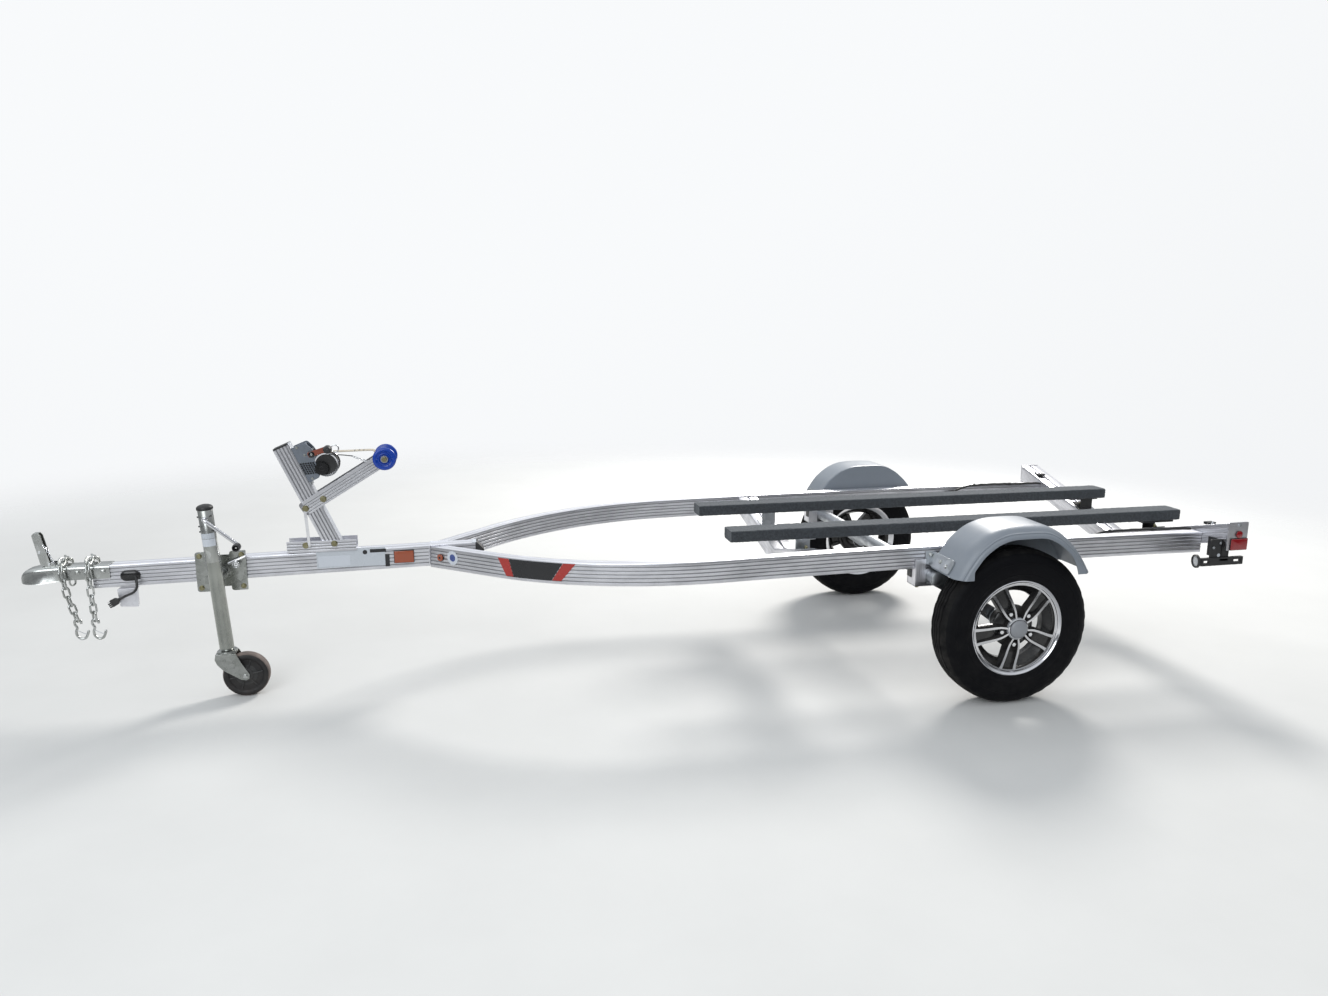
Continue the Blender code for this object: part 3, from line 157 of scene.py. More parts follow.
def put(tree, kind, feeds=(), **settings):
    """Add a node with its settings and its feeds."""
    made = tree.nodes.new(kind)
    for name, value in settings.items():
        setattr(made, name, value)
    feed(tree, made, dict(feeds))
    return made


def new_group(name, inputs, outputs):
    """An empty shader node group, with its input and output nodes."""
    group = bpy.data.node_groups.new(name, "ShaderNodeTree")
    for title, kind, default in inputs:
        socket = group.interface.new_socket(title, in_out="INPUT", socket_type=kind)
        if default is not None:
            socket.default_value = default
    for title, kind in outputs:
        group.interface.new_socket(title, in_out="OUTPUT", socket_type=kind)
    return group, group.nodes.new("NodeGroupInput"), group.nodes.new("NodeGroupOutput")


def noise_node(tree, vector, scale, detail=3.0, roughness=0.55):
    feeds = {"Vector": vector, "Scale": scale, "Detail": detail, "Roughness": roughness}
    return put(tree, "ShaderNodeTexNoise", feeds).outputs["Fac"]


def math_node(tree, operation, first, second=0.0, clamp=False):
    return put(tree, "ShaderNodeMath", {0: first, 1: second}, operation=operation, use_clamp=clamp).outputs[0]


def weighted(tree, first, share, second):
    """Sum of two values: the first one with its share, and the second one with the rest."""
    rest = math_node(tree, "MULTIPLY", second, 1 - share)
    return math_node(tree, "ADD", math_node(tree, "MULTIPLY", first, share), rest)


def spread(tree, value, low, high, to_low=0.0, to_high=1.0):
    feeds = {"Value": value, "From Min": low, "From Max": high, "To Min": to_low, "To Max": to_high}
    return put(tree, "ShaderNodeMapRange", feeds).outputs["Result"]


def scaled(tree, vector, factors):
    return put(tree, "ShaderNodeVectorMath", {0: vector, 1: factors}, operation="MULTIPLY").outputs[0]


def drawn_lines_group():
    """Fine lines that a die or a lathe leaves, along the first axis of the coordinates."""
    group, start, end = new_group(
        "Drawn lines", [("Along", "NodeSocketVector", None), ("Fineness", "NodeSocketFloat", 1.0)],
        [("Lines", "NodeSocketFloat"), ("Smudges", "NodeSocketFloat")])
    along = start.outputs["Along"]
    drawn = scaled(group, along, (2.0, 420.0, 420.0))
    fine = put(group, "ShaderNodeVectorMath", {0: drawn, "Scale": start.outputs["Fineness"]}, operation="SCALE")
    lines = noise_node(group, fine.outputs[0], 1.0, 4.0)
    broad = noise_node(group, scaled(group, along, (5.0, 60.0, 60.0)), 1.0, 3.0)
    smudges = noise_node(group, scaled(group, along, (7.0, 14.0, 14.0)), 1.0, 5.0, 0.65)
    feed(group, end, {"Lines": spread(group, weighted(group, lines, 0.55, broad), 0.35, 0.65),
                      "Smudges": spread(group, smudges, 0.42, 0.66)})
    return group


def mottle_group():
    """Patches such as spangle, cast skin or faint stains, from 0 to 1."""
    group, start, end = new_group(
        "Mottle", [("Place", "NodeSocketVector", None), ("Scale", "NodeSocketFloat", 40.0)],
        [("Patches", "NodeSocketFloat"), ("Grain", "NodeSocketFloat")])
    place, scale = start.outputs["Place"], start.outputs["Scale"]
    cells = put(group, "ShaderNodeTexVoronoi", {"Vector": place, "Scale": scale})
    grey = put(group, "ShaderNodeRGBToBW", {"Color": cells.outputs["Color"]}).outputs["Val"]
    cloud = noise_node(group, place, math_node(group, "MULTIPLY", scale, 0.35), 5.0, 0.6)
    fine = noise_node(group, place, math_node(group, "MULTIPLY", scale, 14.0), 6.0, 0.7)
    feed(group, end, {"Patches": spread(group, weighted(group, grey, 0.4, cloud), 0.3, 0.7), "Grain": fine})
    return group


def dust_group():
    """Dust that has settled on what faces upwards and been thrown at what is low, from 0 to 1."""
    group, start, end = new_group(
        "Road dust", [("Place", "NodeSocketVector", None), ("Height", "NodeSocketFloat", 0.5)],
        [("Dust", "NodeSocketFloat")])
    turned_up = put(group, "ShaderNodeSeparateXYZ", {"Vector": put(group, "ShaderNodeNewGeometry").outputs["Normal"]})
    height = put(group, "ShaderNodeSeparateXYZ", {"Vector": start.outputs["Place"]}).outputs["Z"]
    low = math_node(group, "SUBTRACT", 1.0, math_node(group, "DIVIDE", height, start.outputs["Height"]), clamp=True)
    top = math_node(group, "MULTIPLY", spread(group, turned_up.outputs["Z"], 0.2, 1.0), 0.6)
    patches = spread(group, noise_node(group, start.outputs["Place"], 26.0, 6.0, 0.65), 0.35, 0.7)
    dusty = math_node(group, "MULTIPLY", math_node(group, "ADD", low, top), patches, clamp=True)
    group.links.new(dusty, end.inputs["Dust"])
    return group


def weave_group():
    """Crossing threads of a woven strap: their height and a shade between two threads."""
    group, start, end = new_group(
        "Weave", [("Along", "NodeSocketVector", None), ("Threads", "NodeSocketFloat", 700.0)],
        [("Height", "NodeSocketFloat"), ("Shade", "NodeSocketFloat")])
    parts = put(group, "ShaderNodeSeparateXYZ", {"Vector": start.outputs["Along"]})
    waves = []
    for axis in ("X", "Y"):
        turns = math_node(group, "MULTIPLY", parts.outputs[axis], start.outputs["Threads"])
        waves.append(math_node(group, "SINE", math_node(group, "MULTIPLY", turns, math.tau)))
    crossing = math_node(group, "MULTIPLY", waves[0], waves[1])
    group.links.new(spread(group, crossing, -1.0, 1.0), end.inputs["Height"])
    stain = noise_node(group, start.outputs["Along"], 60.0, 4.0)
    group.links.new(spread(group, stain, 0.3, 0.7), end.inputs["Shade"])
    return group


GROUPS, FINISHES = {}, {}


def effect(tree, name, feeds):
    """Place a shared effect's node group in a material, making the group the first time."""
    makers = {"lines": drawn_lines_group, "mottle": mottle_group, "dust": dust_group, "weave": weave_group}
    if name not in GROUPS:
        GROUPS[name] = makers[name]()
    return put(tree, "ShaderNodeGroup", feeds, node_tree=GROUPS[name]).outputs


def new_material(name, **inputs):
    """A material, its tree and its shader, with inputs of the shader by name, _ for a space."""
    made = bpy.data.materials.new(name)
    made.use_nodes = True
    tree = made.node_tree
    shader = tree.nodes["Principled BSDF"]
    feed(tree, shader, {title.replace("_", " "): value for title, value in inputs.items()})
    return made, tree, shader


def object_place(tree):
    return put(tree, "ShaderNodeTexCoord").outputs["Object"]


def grain_place(tree):
    return put(tree, "ShaderNodeAttribute", attribute_name="grain").outputs["Vector"]


def mix_colours(tree, shader, fac, first, second):
    """Colour a shader with a mix of two colours. A mix node's colours are its inputs 6 and 7."""
    mix = put(tree, "ShaderNodeMix", {"Factor": fac, 6: (*first, 1.0), 7: (*second, 1.0)}, data_type="RGBA")
    tree.links.new(mix.outputs[2], shader.inputs["Base Color"])


def bump(tree, shader, height, strength, distance):
    made = put(tree, "ShaderNodeBump", {"Height": height, "Strength": strength, "Distance": distance})
    tree.links.new(made.outputs["Normal"], shader.inputs["Normal"])


def shaded(colour, factor):
    return tuple(channel * factor for channel in colour)


def extruded_metal(name, colour, roughness=(0.26, 0.44), fineness=1.0, contrast=0.8):
    made, tree, shader = new_material(name, Metallic=1.0)
    marks = effect(tree, "lines", {"Along": grain_place(tree), "Fineness": fineness})
    mix_colours(tree, shader, marks["Smudges"], colour, shaded(colour, contrast))
    both = weighted(tree, marks["Lines"], 0.5, marks["Smudges"])
    tree.links.new(spread(tree, both, 0.0, 1.0, *roughness), shader.inputs["Roughness"])
    bump(tree, shader, marks["Lines"], 0.1, 0.0004)
    return made


def plated_metal(name, colour, second, roughness, scale=45.0, strength=0.06):
    made, tree, shader = new_material(name, Metallic=1.0)
    marks = effect(tree, "mottle", {"Place": object_place(tree), "Scale": scale})
    mix_colours(tree, shader, marks["Patches"], colour, second)
    tree.links.new(spread(tree, marks["Patches"], 0.0, 1.0, *roughness), shader.inputs["Roughness"])
    bump(tree, shader, marks["Grain"], strength, 0.0006)
    return made


def moulded(name, colour, roughness, scale=60.0, dust=0.0, strength=0.05, gloss=0.5, dust_colour=(0.3, 0.28, 0.25),
            height=0.5):
    """Plastic, rubber or paint with a fine grain, and dust where it lies low."""
    made, tree, shader = new_material(name, Specular_IOR_Level=gloss)
    place = object_place(tree)
    marks = effect(tree, "mottle", {"Place": place, "Scale": scale})
    rough = spread(tree, marks["Patches"], 0.0, 1.0, *roughness)
    if dust:
        settled = effect(tree, "dust", {"Place": place, "Height": height})["Dust"]
        amount = math_node(tree, "MULTIPLY", settled, dust)
        mix_colours(tree, shader, amount, colour, dust_colour)
        rough = math_node(tree, "ADD", rough, math_node(tree, "MULTIPLY", amount, 0.4), clamp=True)
    else:
        mix_colours(tree, shader, marks["Patches"], colour, shaded(colour, 0.88))
    tree.links.new(rough, shader.inputs["Roughness"])
    bump(tree, shader, marks["Grain"], strength, 0.0004)
    return made


def lens_plastic(name, colour):
    """Moulded lens with a grid of small prisms behind its gloss."""
    made, tree, shader = new_material(name, Roughness=0.16, Coat_Weight=0.8, Coat_Roughness=0.04)
    place = object_place(tree)
    cells = put(tree, "ShaderNodeTexVoronoi", {"Vector": place, "Scale": 260.0, "Randomness": 0.0},
                distance="CHEBYCHEV")
    shade = spread(tree, cells.outputs["Distance"], 0.0, 0.6)
    mix_colours(tree, shader, shade, colour, shaded(colour, 0.55))
    bump(tree, shader, cells.outputs["Distance"], 0.35, 0.0008)
    return made


def carpet_fibre(name, colour):
    made, tree, shader = new_material(name, Roughness=0.97, Sheen_Weight=0.22, Sheen_Roughness=0.6,
                                      Sheen_Tint=(0.62, 0.66, 0.7, 1.0))
    place = object_place(tree)
    tufts = noise_node(tree, place, 900.0, 4.0, 0.75)
    clumps = noise_node(tree, place, 130.0, 4.0, 0.6)
    flecks = weighted(tree, tufts, 0.6, clumps)
    mix_colours(tree, shader, spread(tree, flecks, 0.36, 0.66), shaded(colour, 0.45), shaded(colour, 2.1))
    bump(tree, shader, flecks, 0.9, 0.0016)
    return made


def woven_strap(name, colour):
    made, tree, shader = new_material(name, Roughness=0.85, Sheen_Weight=0.2)
    marks = effect(tree, "weave", {"Along": grain_place(tree), "Threads": 420.0})
    mix_colours(tree, shader, marks["Shade"], colour, shaded(colour, 0.7))
    bump(tree, shader, marks["Height"], 0.5, 0.0007)
    return made


def finishes():
    """What makes each finish of the trailer: a function, and what it is called with."""
    own = bpy.context.scene.trailer_finishes
    aluminium, dust = tuple(own.aluminium), own.dust
    return {
        "mill": (extruded_metal, "Mill aluminium", aluminium),
        # painted shade: a darker copy of the aluminium on the bottoms of the beams' grooves
        "groove": (extruded_metal, "Grooves of the beams", shaded(aluminium, 0.44), (0.42, 0.56)),
        # painted highlight: a lighter copy of the aluminium on the top faces of the beams, standing in for the light
        # from above
        "painted_top_highlight": (extruded_metal, "Tops of the beams", shaded(aluminium, 1.34), (0.3, 0.48), 1.0, 0.93),
        "sawn": (plated_metal, "Sawn aluminium", shaded(aluminium, 1.12), aluminium, (0.35, 0.5), 90.0, 0.12),
        "machined": (extruded_metal, "Machined alloy", (0.7, 0.7, 0.72), (0.12, 0.26), 2.2, 0.9),
        "cap": (moulded, "Grey wheel cap", (0.26, 0.27, 0.29), (0.26, 0.38), 70.0, dust * 0.3),
        "lip": (plated_metal, "Polished lip", (0.74, 0.74, 0.76), (0.66, 0.66, 0.69), (0.08, 0.18), 30.0, 0.02),
        "galvanised": (plated_metal, "Galvanised steel", (0.5, 0.52, 0.54), (0.38, 0.4, 0.42), (0.3, 0.5)),
        "zinc": (plated_metal, "Bright zinc", (0.54, 0.55, 0.54), (0.38, 0.39, 0.37), (0.2, 0.36), 30.0),
        "zinc_green": (plated_metal, "Dull zinc", (0.36, 0.37, 0.355), (0.26, 0.27, 0.255), (0.18, 0.3), 70.0),
        "drawn_zinc": (extruded_metal, "Drawn zinc tube", (0.36, 0.372, 0.345), (0.18, 0.34), 0.5, 0.78),
        "blue_zinc": (plated_metal, "Bluish galvanised steel", (0.26, 0.29, 0.33), (0.19, 0.21, 0.25), (0.3, 0.46),
                      60.0),
        "olive": (plated_metal, "Yellow passivated zinc", (0.32, 0.3, 0.19), (0.23, 0.21, 0.12), (0.28, 0.45), 120.0),
        "chrome": (plated_metal, "Chrome", (0.75, 0.76, 0.78), (0.68, 0.69, 0.71), (0.05, 0.12), 60.0, 0.02),
        "black_gloss": (moulded, "Gloss black enamel", (0.01, 0.01, 0.011), (0.12, 0.22), 50.0, dust * 0.4),
        "black_paint": (moulded, "Black paint", (0.016, 0.016, 0.017), (0.34, 0.5), 80.0, dust * 0.3, 0.12),
        "black_plastic": (moulded, "Black plastic", (0.018, 0.018, 0.019), (0.38, 0.55), 90.0, dust * 0.3, 0.14),
        "tyre": (moulded, "Tyre rubber", (0.0032, 0.0034, 0.0046), (0.5, 0.66), 70.0, dust * 0.07, 0.2, 0.1),
        "tread": (moulded, "Tyre tread", (0.0045, 0.0045, 0.0052), (0.62, 0.8), 70.0, dust * 0.3, 0.25, 0.12),
        "wheel_rubber": (moulded, "Jack wheel rubber", (0.007, 0.0065, 0.007), (0.5, 0.7), 90.0, dust * 0.35, 0.3, 0.5,
                         (0.2, 0.16, 0.14), 0.22),
        "worn_rubber": (moulded, "Jack wheel tread", (0.085, 0.068, 0.062), (0.6, 0.8), 90.0, dust * 2.0, 0.3, 0.5,
                        (0.3, 0.24, 0.21), 0.22),
        "fender": (moulded, "Fender plastic", tuple(own.fender), (0.3, 0.42), 16.0, 0.1, 0.05, 0.5, (0.45, 0.44, 0.42),
                   0.9),
        "carpet": (carpet_fibre, "Bunk carpet", tuple(own.carpet)),
        "red_lens": (lens_plastic, "Red lens", tuple(own.lens)),
        "amber_lens": (lens_plastic, "Amber lens", (0.4, 0.065, 0.008)),
        "clear_lens": (lens_plastic, "Clear lens", (0.7, 0.72, 0.74)),
        "roller": (moulded, "Blue roller", tuple(own.roller), (0.22, 0.36), 40.0, 0.03, 0.05, 0.5, (0.3, 0.4, 0.62),
                   1.2),
        "tan_web": (woven_strap, "Winch strap webbing", (0.5, 0.44, 0.34)),
        "dark_web": (woven_strap, "Dark webbing", (0.03, 0.03, 0.033)),
        "red_brown": (moulded, "Red-brown enamel", (0.24, 0.055, 0.03), (0.3, 0.45), 70.0),
        # white film on the labels, and also a painted highlight on the post's rear face and on the end caps of the post
        # and tongue
        "white_film": (moulded, "White film", (0.56, 0.59, 0.64), (0.28, 0.4), 30.0, 0.06, 0.02),
        "silver_film": (moulded, "Silver film", (0.5, 0.53, 0.57), (0.22, 0.34), 30.0, 0.05, 0.02),
        "black_film": (moulded, "Black film", (0.012, 0.012, 0.014), (0.2, 0.3), 30.0, 0.06, 0.02),
        "red_film": (moulded, "Red film", (0.36, 0.03, 0.024), (0.22, 0.32), 30.0, 0.05, 0.02),
        "blue_film": (moulded, "Blue film", (0.05, 0.08, 0.25), (0.22, 0.32), 30.0, 0.05, 0.02),
    }


def finish(name):
    """The material of that name, made the first time it is asked for."""
    if name not in FINISHES:
        maker, *inputs = finishes()[name]
        FINISHES[name] = maker(*inputs)
    return FINISHES[name]


# Meshes

# x, y and z of a point from its two places in an outline and its place along the named axis
ORDERS = {"X": lambda a, b, c: (c, a, b), "Y": lambda a, b, c: (a, c, b), "Z": lambda a, b, c: (a, b, c)}


class Shape:
    """A mesh in the making. What is added takes the finish and the place that are set at the time."""

    def __init__(self, *names, grain=(1, 0, 0)):
        self.bm = bmesh.new()
        self.layer = self.bm.verts.layers.float_vector.new("grain")
        self.done = self.bm.verts.layers.int.new("swept")
        self.names = names
        self.paint = names[0]
        self.place = Matrix()
        self.grain = Vector(grain)

    def use(self, name):
        self.paint = name
        return self

    def put_at(self, spot=(0, 0, 0), turn=0.0, axis="Y"):
        """Add what follows at a spot, turned about an axis through it."""
        self.place = Matrix.Translation(Vector(spot)) @ Matrix.Rotation(turn, 4, axis)
        return self

    def vert(self, spot):
        return self.bm.verts.new(self.place @ Vector(spot))

    def face(self, verts, paint=None):
        if len({v.index if v.index >= 0 else id(v) for v in verts}) < 3:
            return None
        made = self.bm.faces.new(verts)
        made.material_index = self.names.index(paint or self.paint)
        return made

    def rings(self, rings, wrap=False, caps=True, paints=None):
        """Skin between rings of points; wrap joins the last ring to the first one."""
        made = [[self.vert(spot) for spot in ring] for ring in rings]
        count = len(made[0])
        pairs = list(zip(made, made[1:] + made[:1])) if wrap else list(zip(made, made[1:]))
        for ring, following in pairs:
            for corner in range(count):
                after = (corner + 1) % count
                self.face((ring[corner], ring[after], following[after], following[corner]),
                          paints[corner] if paints else None)
        if caps and not wrap:
            self.face(made[0])
            self.face(made[-1])
        return made

    def prism(self, outline, low, high, axis="Y"):
        """Extrude a closed outline: (x, z) along Y, (y, z) along X, (x, y) along Z."""
        order = ORDERS[axis]
        self.rings([[order(a, b, level) for a, b in outline] for level in (low, high)])
        return self

    def box(self, x_range, y_range, z_range):
        return self.prism(rectangle(*x_range, *z_range), *y_range)

    def turned(self, profile, steps=32, axis="Y", paints=None, side=1):
        """Revolve a closed outline of (radius, along) about an axis through the place; side -1 mirrors it."""
        order = ORDERS[axis]
        self.rings([[order(radius * math.cos(angle), radius * math.sin(angle), side * along)
                     for radius, along in profile] for angle in around(steps)], wrap=True, paints=paints)
        return self

    def rod(self, radius, low, high, steps=32, axis="Y"):
        """A plain round bar or disc."""
        return self.turned([(0, low), (radius, low), (radius, high), (0, high)], steps, axis)

    def sweep(self, section, frames, paints=None):
        """Carry a closed section (side, up) along frames of (place, side vector, up vector)."""
        rings = [[Vector(p) + Vector(s) * a + Vector(u) * b for a, b in section] for p, s, u in frames]
        self.mark_sweep(self.rings(rings, paints=paints), section, [p for p, s, u in frames])
        return self

    def grooved(self, section, depth, top="painted_top_highlight"):
        """Finishes around a beam's section: painted shade on the bottoms of its grooves, and a painted highlight on its
        top.
        """
        wide = max(abs(a) for a, b in section)
        low, high = min(b for a, b in section), max(b for a, b in section)
        sunk = [abs(a) < wide - depth * 0.5 and low + 0.004 < b < high - 0.004 or high - depth < b < high - depth * 0.5
                for a, b in section]
        level = [b > high - 0.0001 for a, b in section]
        return ["groove" if sunk[i] and sunk[i - len(sunk) + 1] else top if level[i] and level[i - len(sunk) + 1]
                else self.paint for i in range(len(sunk))]

    def mark_sweep(self, rings, section, stations):
        """Store how far along and how far around each point of a sweep lies, for the lines of its finish."""
        along = 0.0
        for index, ring in enumerate(rings):
            if index:
                along += (Vector(stations[index]) - Vector(stations[index - 1])).length
            around = 0.0
            for corner, vert in enumerate(ring):
                if corner:
                    around += (Vector(section[corner]) - Vector(section[corner - 1])).length
                vert[self.layer] = (along, around, 0.0)
                vert[self.done] = 1

    def tube(self, path, radius, sides=10, closed=False, flat=1.0):
        """A round or flattened bar along a path of points."""
        points = [Vector(p) for p in path]
        count = len(points)
        rings = []
        side = None
        for index, spot in enumerate(points):
            if closed:
                ahead = points[(index + 1) % count] - points[index - 1]
            else:
                ahead = points[min(index + 1, count - 1)] - points[max(index - 1, 0)]
            ahead.normalize()
            if side is None:
                side = ahead.orthogonal().normalized()
            side = (side - ahead * side.dot(ahead)).normalized()
            up = ahead.cross(side)
            size = radius[index] if isinstance(radius, (list, tuple)) else radius
            rings.append([spot + side * (size * math.cos(a)) + up * (size * flat * math.sin(a)) for a in around(sides)])
        self.rings(rings, wrap=closed)
        return self

    def bolt(self, spot, outward, size=0.008, washer=True, head="olive", reach=0.0):
        """A hexagon head on a washer, or the end of the bolt with its nut where reach is given."""
        before, paint = self.place, self.paint
        turn = Vector((0, 0, 1)).rotation_difference(Vector(outward)).to_matrix().to_4x4()
        self.place = before @ Matrix.Translation(Vector(spot)) @ turn
        self.use(head)
        if washer:
            self.rod(size * 1.05, 0, size * 0.14, 20, "Z")
        low, high, wide = size * 0.12, size * 0.66, size * 0.93
        self.rings([[(wide * scale * math.cos(a), wide * scale * math.sin(a), height) for a in around(6)]
                    for height, scale in ((low, 1.0), (high * 0.86, 1.0), (high, 0.86))])
        if reach:
            self.turned([(0, high * 0.9), (size * 0.52, high * 0.9), (size * 0.52, reach - 0.001),
                         (size * 0.42, reach), (0, reach)], 14, "Z")
        self.place, self.paint = before, paint
        return self

    def piece(self, name, body, slot, replaces=(), smooth=35, edges=0.0, segments=2):
        """Turn the mesh into an object that rides on a body."""
        bm = self.bm
        bmesh.ops.remove_doubles(bm, verts=bm.verts, dist=2e-6)
        bmesh.ops.dissolve_degenerate(bm, edges=bm.edges, dist=1e-7)
        bmesh.ops.recalc_face_normals(bm, faces=bm.faces)
        across = self.grain.orthogonal().normalized()
        third = self.grain.normalized().cross(across)
        for vert in bm.verts:
            if not vert[self.done]:
                vert[self.layer] = (vert.co.dot(self.grain), vert.co.dot(across), vert.co.dot(third))
        bm.transform(STANCE)
        mesh = bpy.data.meshes.new(name)
        bm.to_mesh(mesh)
        bm.free()
        for finish_name in self.names:
            mesh.materials.append(finish(finish_name))
        mesh.shade_smooth()
        mesh.set_sharp_from_angle(angle=math.radians(smooth))
        made = bpy.data.objects.new(name, mesh)
        bpy.context.collection.objects.link(made)
        if edges:
            bevel = made.modifiers.new("edges", "BEVEL")
            bevel.width = edges
            bevel.segments = segments
            bevel.limit_method = "ANGLE"
            bevel.angle_limit = math.radians(40)
            bevel.harden_normals = True
        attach(made, body)
        if replaces:
            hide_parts(*([replaces] if isinstance(replaces, str) else replaces))
        return made


def around(count):
    """Angles all the way round, in equal steps."""
    return [math.tau * index / count for index in range(count)]


def side_span(side, first, second):
    """Two distances from the middle of the trailer on one side of it, the lower place first."""
    return sorted((side * first, side * second))


def rectangle(a, b, c, d):
    """Corners of a rectangle from a to b across and from c to d upwards."""
    return [(a, c), (b, c), (b, d), (a, d)]


def arc(centre, radius, start, end, steps):
    """Points of an arc in a plane, from one angle to another in degrees."""
    angles = (math.radians(start + (end - start) * i / steps) for i in range(steps + 1))
    return [(centre[0] + radius * math.cos(a), centre[1] + radius * math.sin(a)) for a in angles]


def rounded(corners, radius, steps=4):
    """A closed outline with its corners rounded; radius is one value or one for each corner."""
    result = []
    count = len(corners)
    for index in range(count):
        size = radius[index] if isinstance(radius, (list, tuple)) else radius
        here = Vector(corners[index])
        back = (Vector(corners[index - 1]) - here).normalized()
        ahead = (Vector(corners[(index + 1) % count]) - here).normalized()
        half = math.acos(max(-1.0, min(1.0, back.dot(ahead)))) / 2
        if size <= 0 or half > math.radians(89):
            result.append(tuple(here))
            continue
        reach = size / math.tan(half)
        for step in range(steps + 1):
            t = step / steps
            spot = (1 - t) ** 2 * (here + back * reach) + 2 * t * (1 - t) * here + t * t * (here + ahead * reach)
            result.append(tuple(spot))
    return result


def curved(points, step):
    """Points about a step apart along a smooth curve through the given points."""
    route = [Vector(p) for p in points]
    padded = [route[0] * 2 - route[1], *route, route[-1] * 2 - route[-2]]
    result = [route[0]]
    for index in range(1, len(padded) - 2):
        before, start, end, after = padded[index - 1:index + 3]
        pieces = max(1, round((end - start).length / step))
        for piece in range(1, pieces + 1):
            t = piece / pieces
            result.append(0.5 * (2 * start + (end - before) * t
                                 + (2 * before - 5 * start + 4 * end - after) * t * t
                                 + (3 * start - before - 3 * end + after) * t ** 3))
    return result


def beam_section(width, height, ribs, depth, radius=0.0022, top_ribs=0):
    """Section of an extruded beam (side, up), its top at 0, with rounded grooves along its sides."""
    half = width / 2
    pitch = height / (ribs + 1)
    groove = pitch * 0.44

    def side_wall(sign):
        points = []
        for index in range(ribs):
            middle = -pitch * (index + 1)
            for share, sink in ((0.5, 0.0), (0.36, 0.55), (0.14, 1.0), (-0.14, 1.0), (-0.36, 0.55), (-0.5, 0.0)):
                points.append((sign * (half - depth * sink), middle + groove * share))
        return points

    corner = radius
    right = [(half - corner, 0.0), (half - corner * 0.3, -corner * 0.3), (half, -corner)]
    right += side_wall(1)
    right += [(half, -height + corner), (half - corner * 0.3, -height + corner * 0.3), (half - corner, -height)]
    left = [(-a, b) for a, b in reversed(right)]
    top = []
    for index in range(top_ribs):
        middle = -half + width * (index + 1) / (top_ribs + 1)
        top += [(middle - 0.002, 0.0), (middle, -depth * 0.8), (middle + 0.002, 0.0)]
    return right + left + top


# Frame beams

def frame_settings():
    return bpy.context.scene.trailer_frame


def build_tongue():
    own = frame_settings()
    section = beam_section(TONGUE_WIDTH, BEAM_HEIGHT, own.rib_count, own.rib_depth, top_ribs=1)
    shape = Shape("mill", "groove", "painted_top_highlight")
    frames = [((x, 0, tongue_top(x)), (0, 1, 0), (0, 0, 1)) for x in (TONGUE_FRONT, TONGUE_REAR)]
    # The grooves take painted shade and the top faces a painted highlight.
    shape.sweep(section, frames, shape.grooved(section, own.rib_depth))
    shape.piece("tongue_beam", "trailer", "mill_aluminium", "tongue")
    cap = Shape("black_plastic", "white_film")
    top = tongue_top(TONGUE_REAR)
    low, half = TONGUE_REAR + GAP, TONGUE_WIDTH / 2 - 0.0008
    cap.prism([(low, top - BEAM_HEIGHT), (low + 0.03, top - BEAM_HEIGHT), (low + 0.03, top - 0.027), (low + 0.005, top),
               (low, top)], -half, half)
    # A white strip along the top edge at the cap: painted highlight.
    cap.use("white_film").prism([(low - 0.012, top + 0.0002), (low + 0.003, top + 0.0002), (low + 0.003, top + 0.0014),
                                 (low - 0.012, top + 0.0018)], -half, half)
    cap.piece("tongue_end_plug", "trailer", "black_plastic", "tongue_end_cap", edges=0.0012)


def rail_route(side):
    """Places and across-vectors of a rail, from its rear end to the tongue's side."""
    middle_y = RAIL_OUTER_Y - RAIL_WIDTH / 2
    radius = RAIL_BEND_RADIUS - RAIL_WIDTH / 2
    route = [(x, middle_y, 0.0) for x in (RAIL_REAR, 0.6, 0.35, 0.1, -0.15, -0.4, -0.6, -0.8)]
    bends = 22
    for step in range(bends + 1):
        angle = RAIL_BEND_ANGLE * step / bends
        route.append((RAIL_BEND_START - radius * math.sin(angle), middle_y - radius * (1 - math.cos(angle)), angle))
    last_x, last_y, angle = route[-1]
    run = (last_y - TONGUE_WIDTH / 2 - 0.0005) / math.sin(angle)
    route.append((last_x - run * math.cos(angle), last_y - run * math.sin(angle), angle))
    return [(Vector((x, side * y, rail_top(x))), Vector((-math.sin(a), side * math.cos(a), 0))) for x, y, a in route]


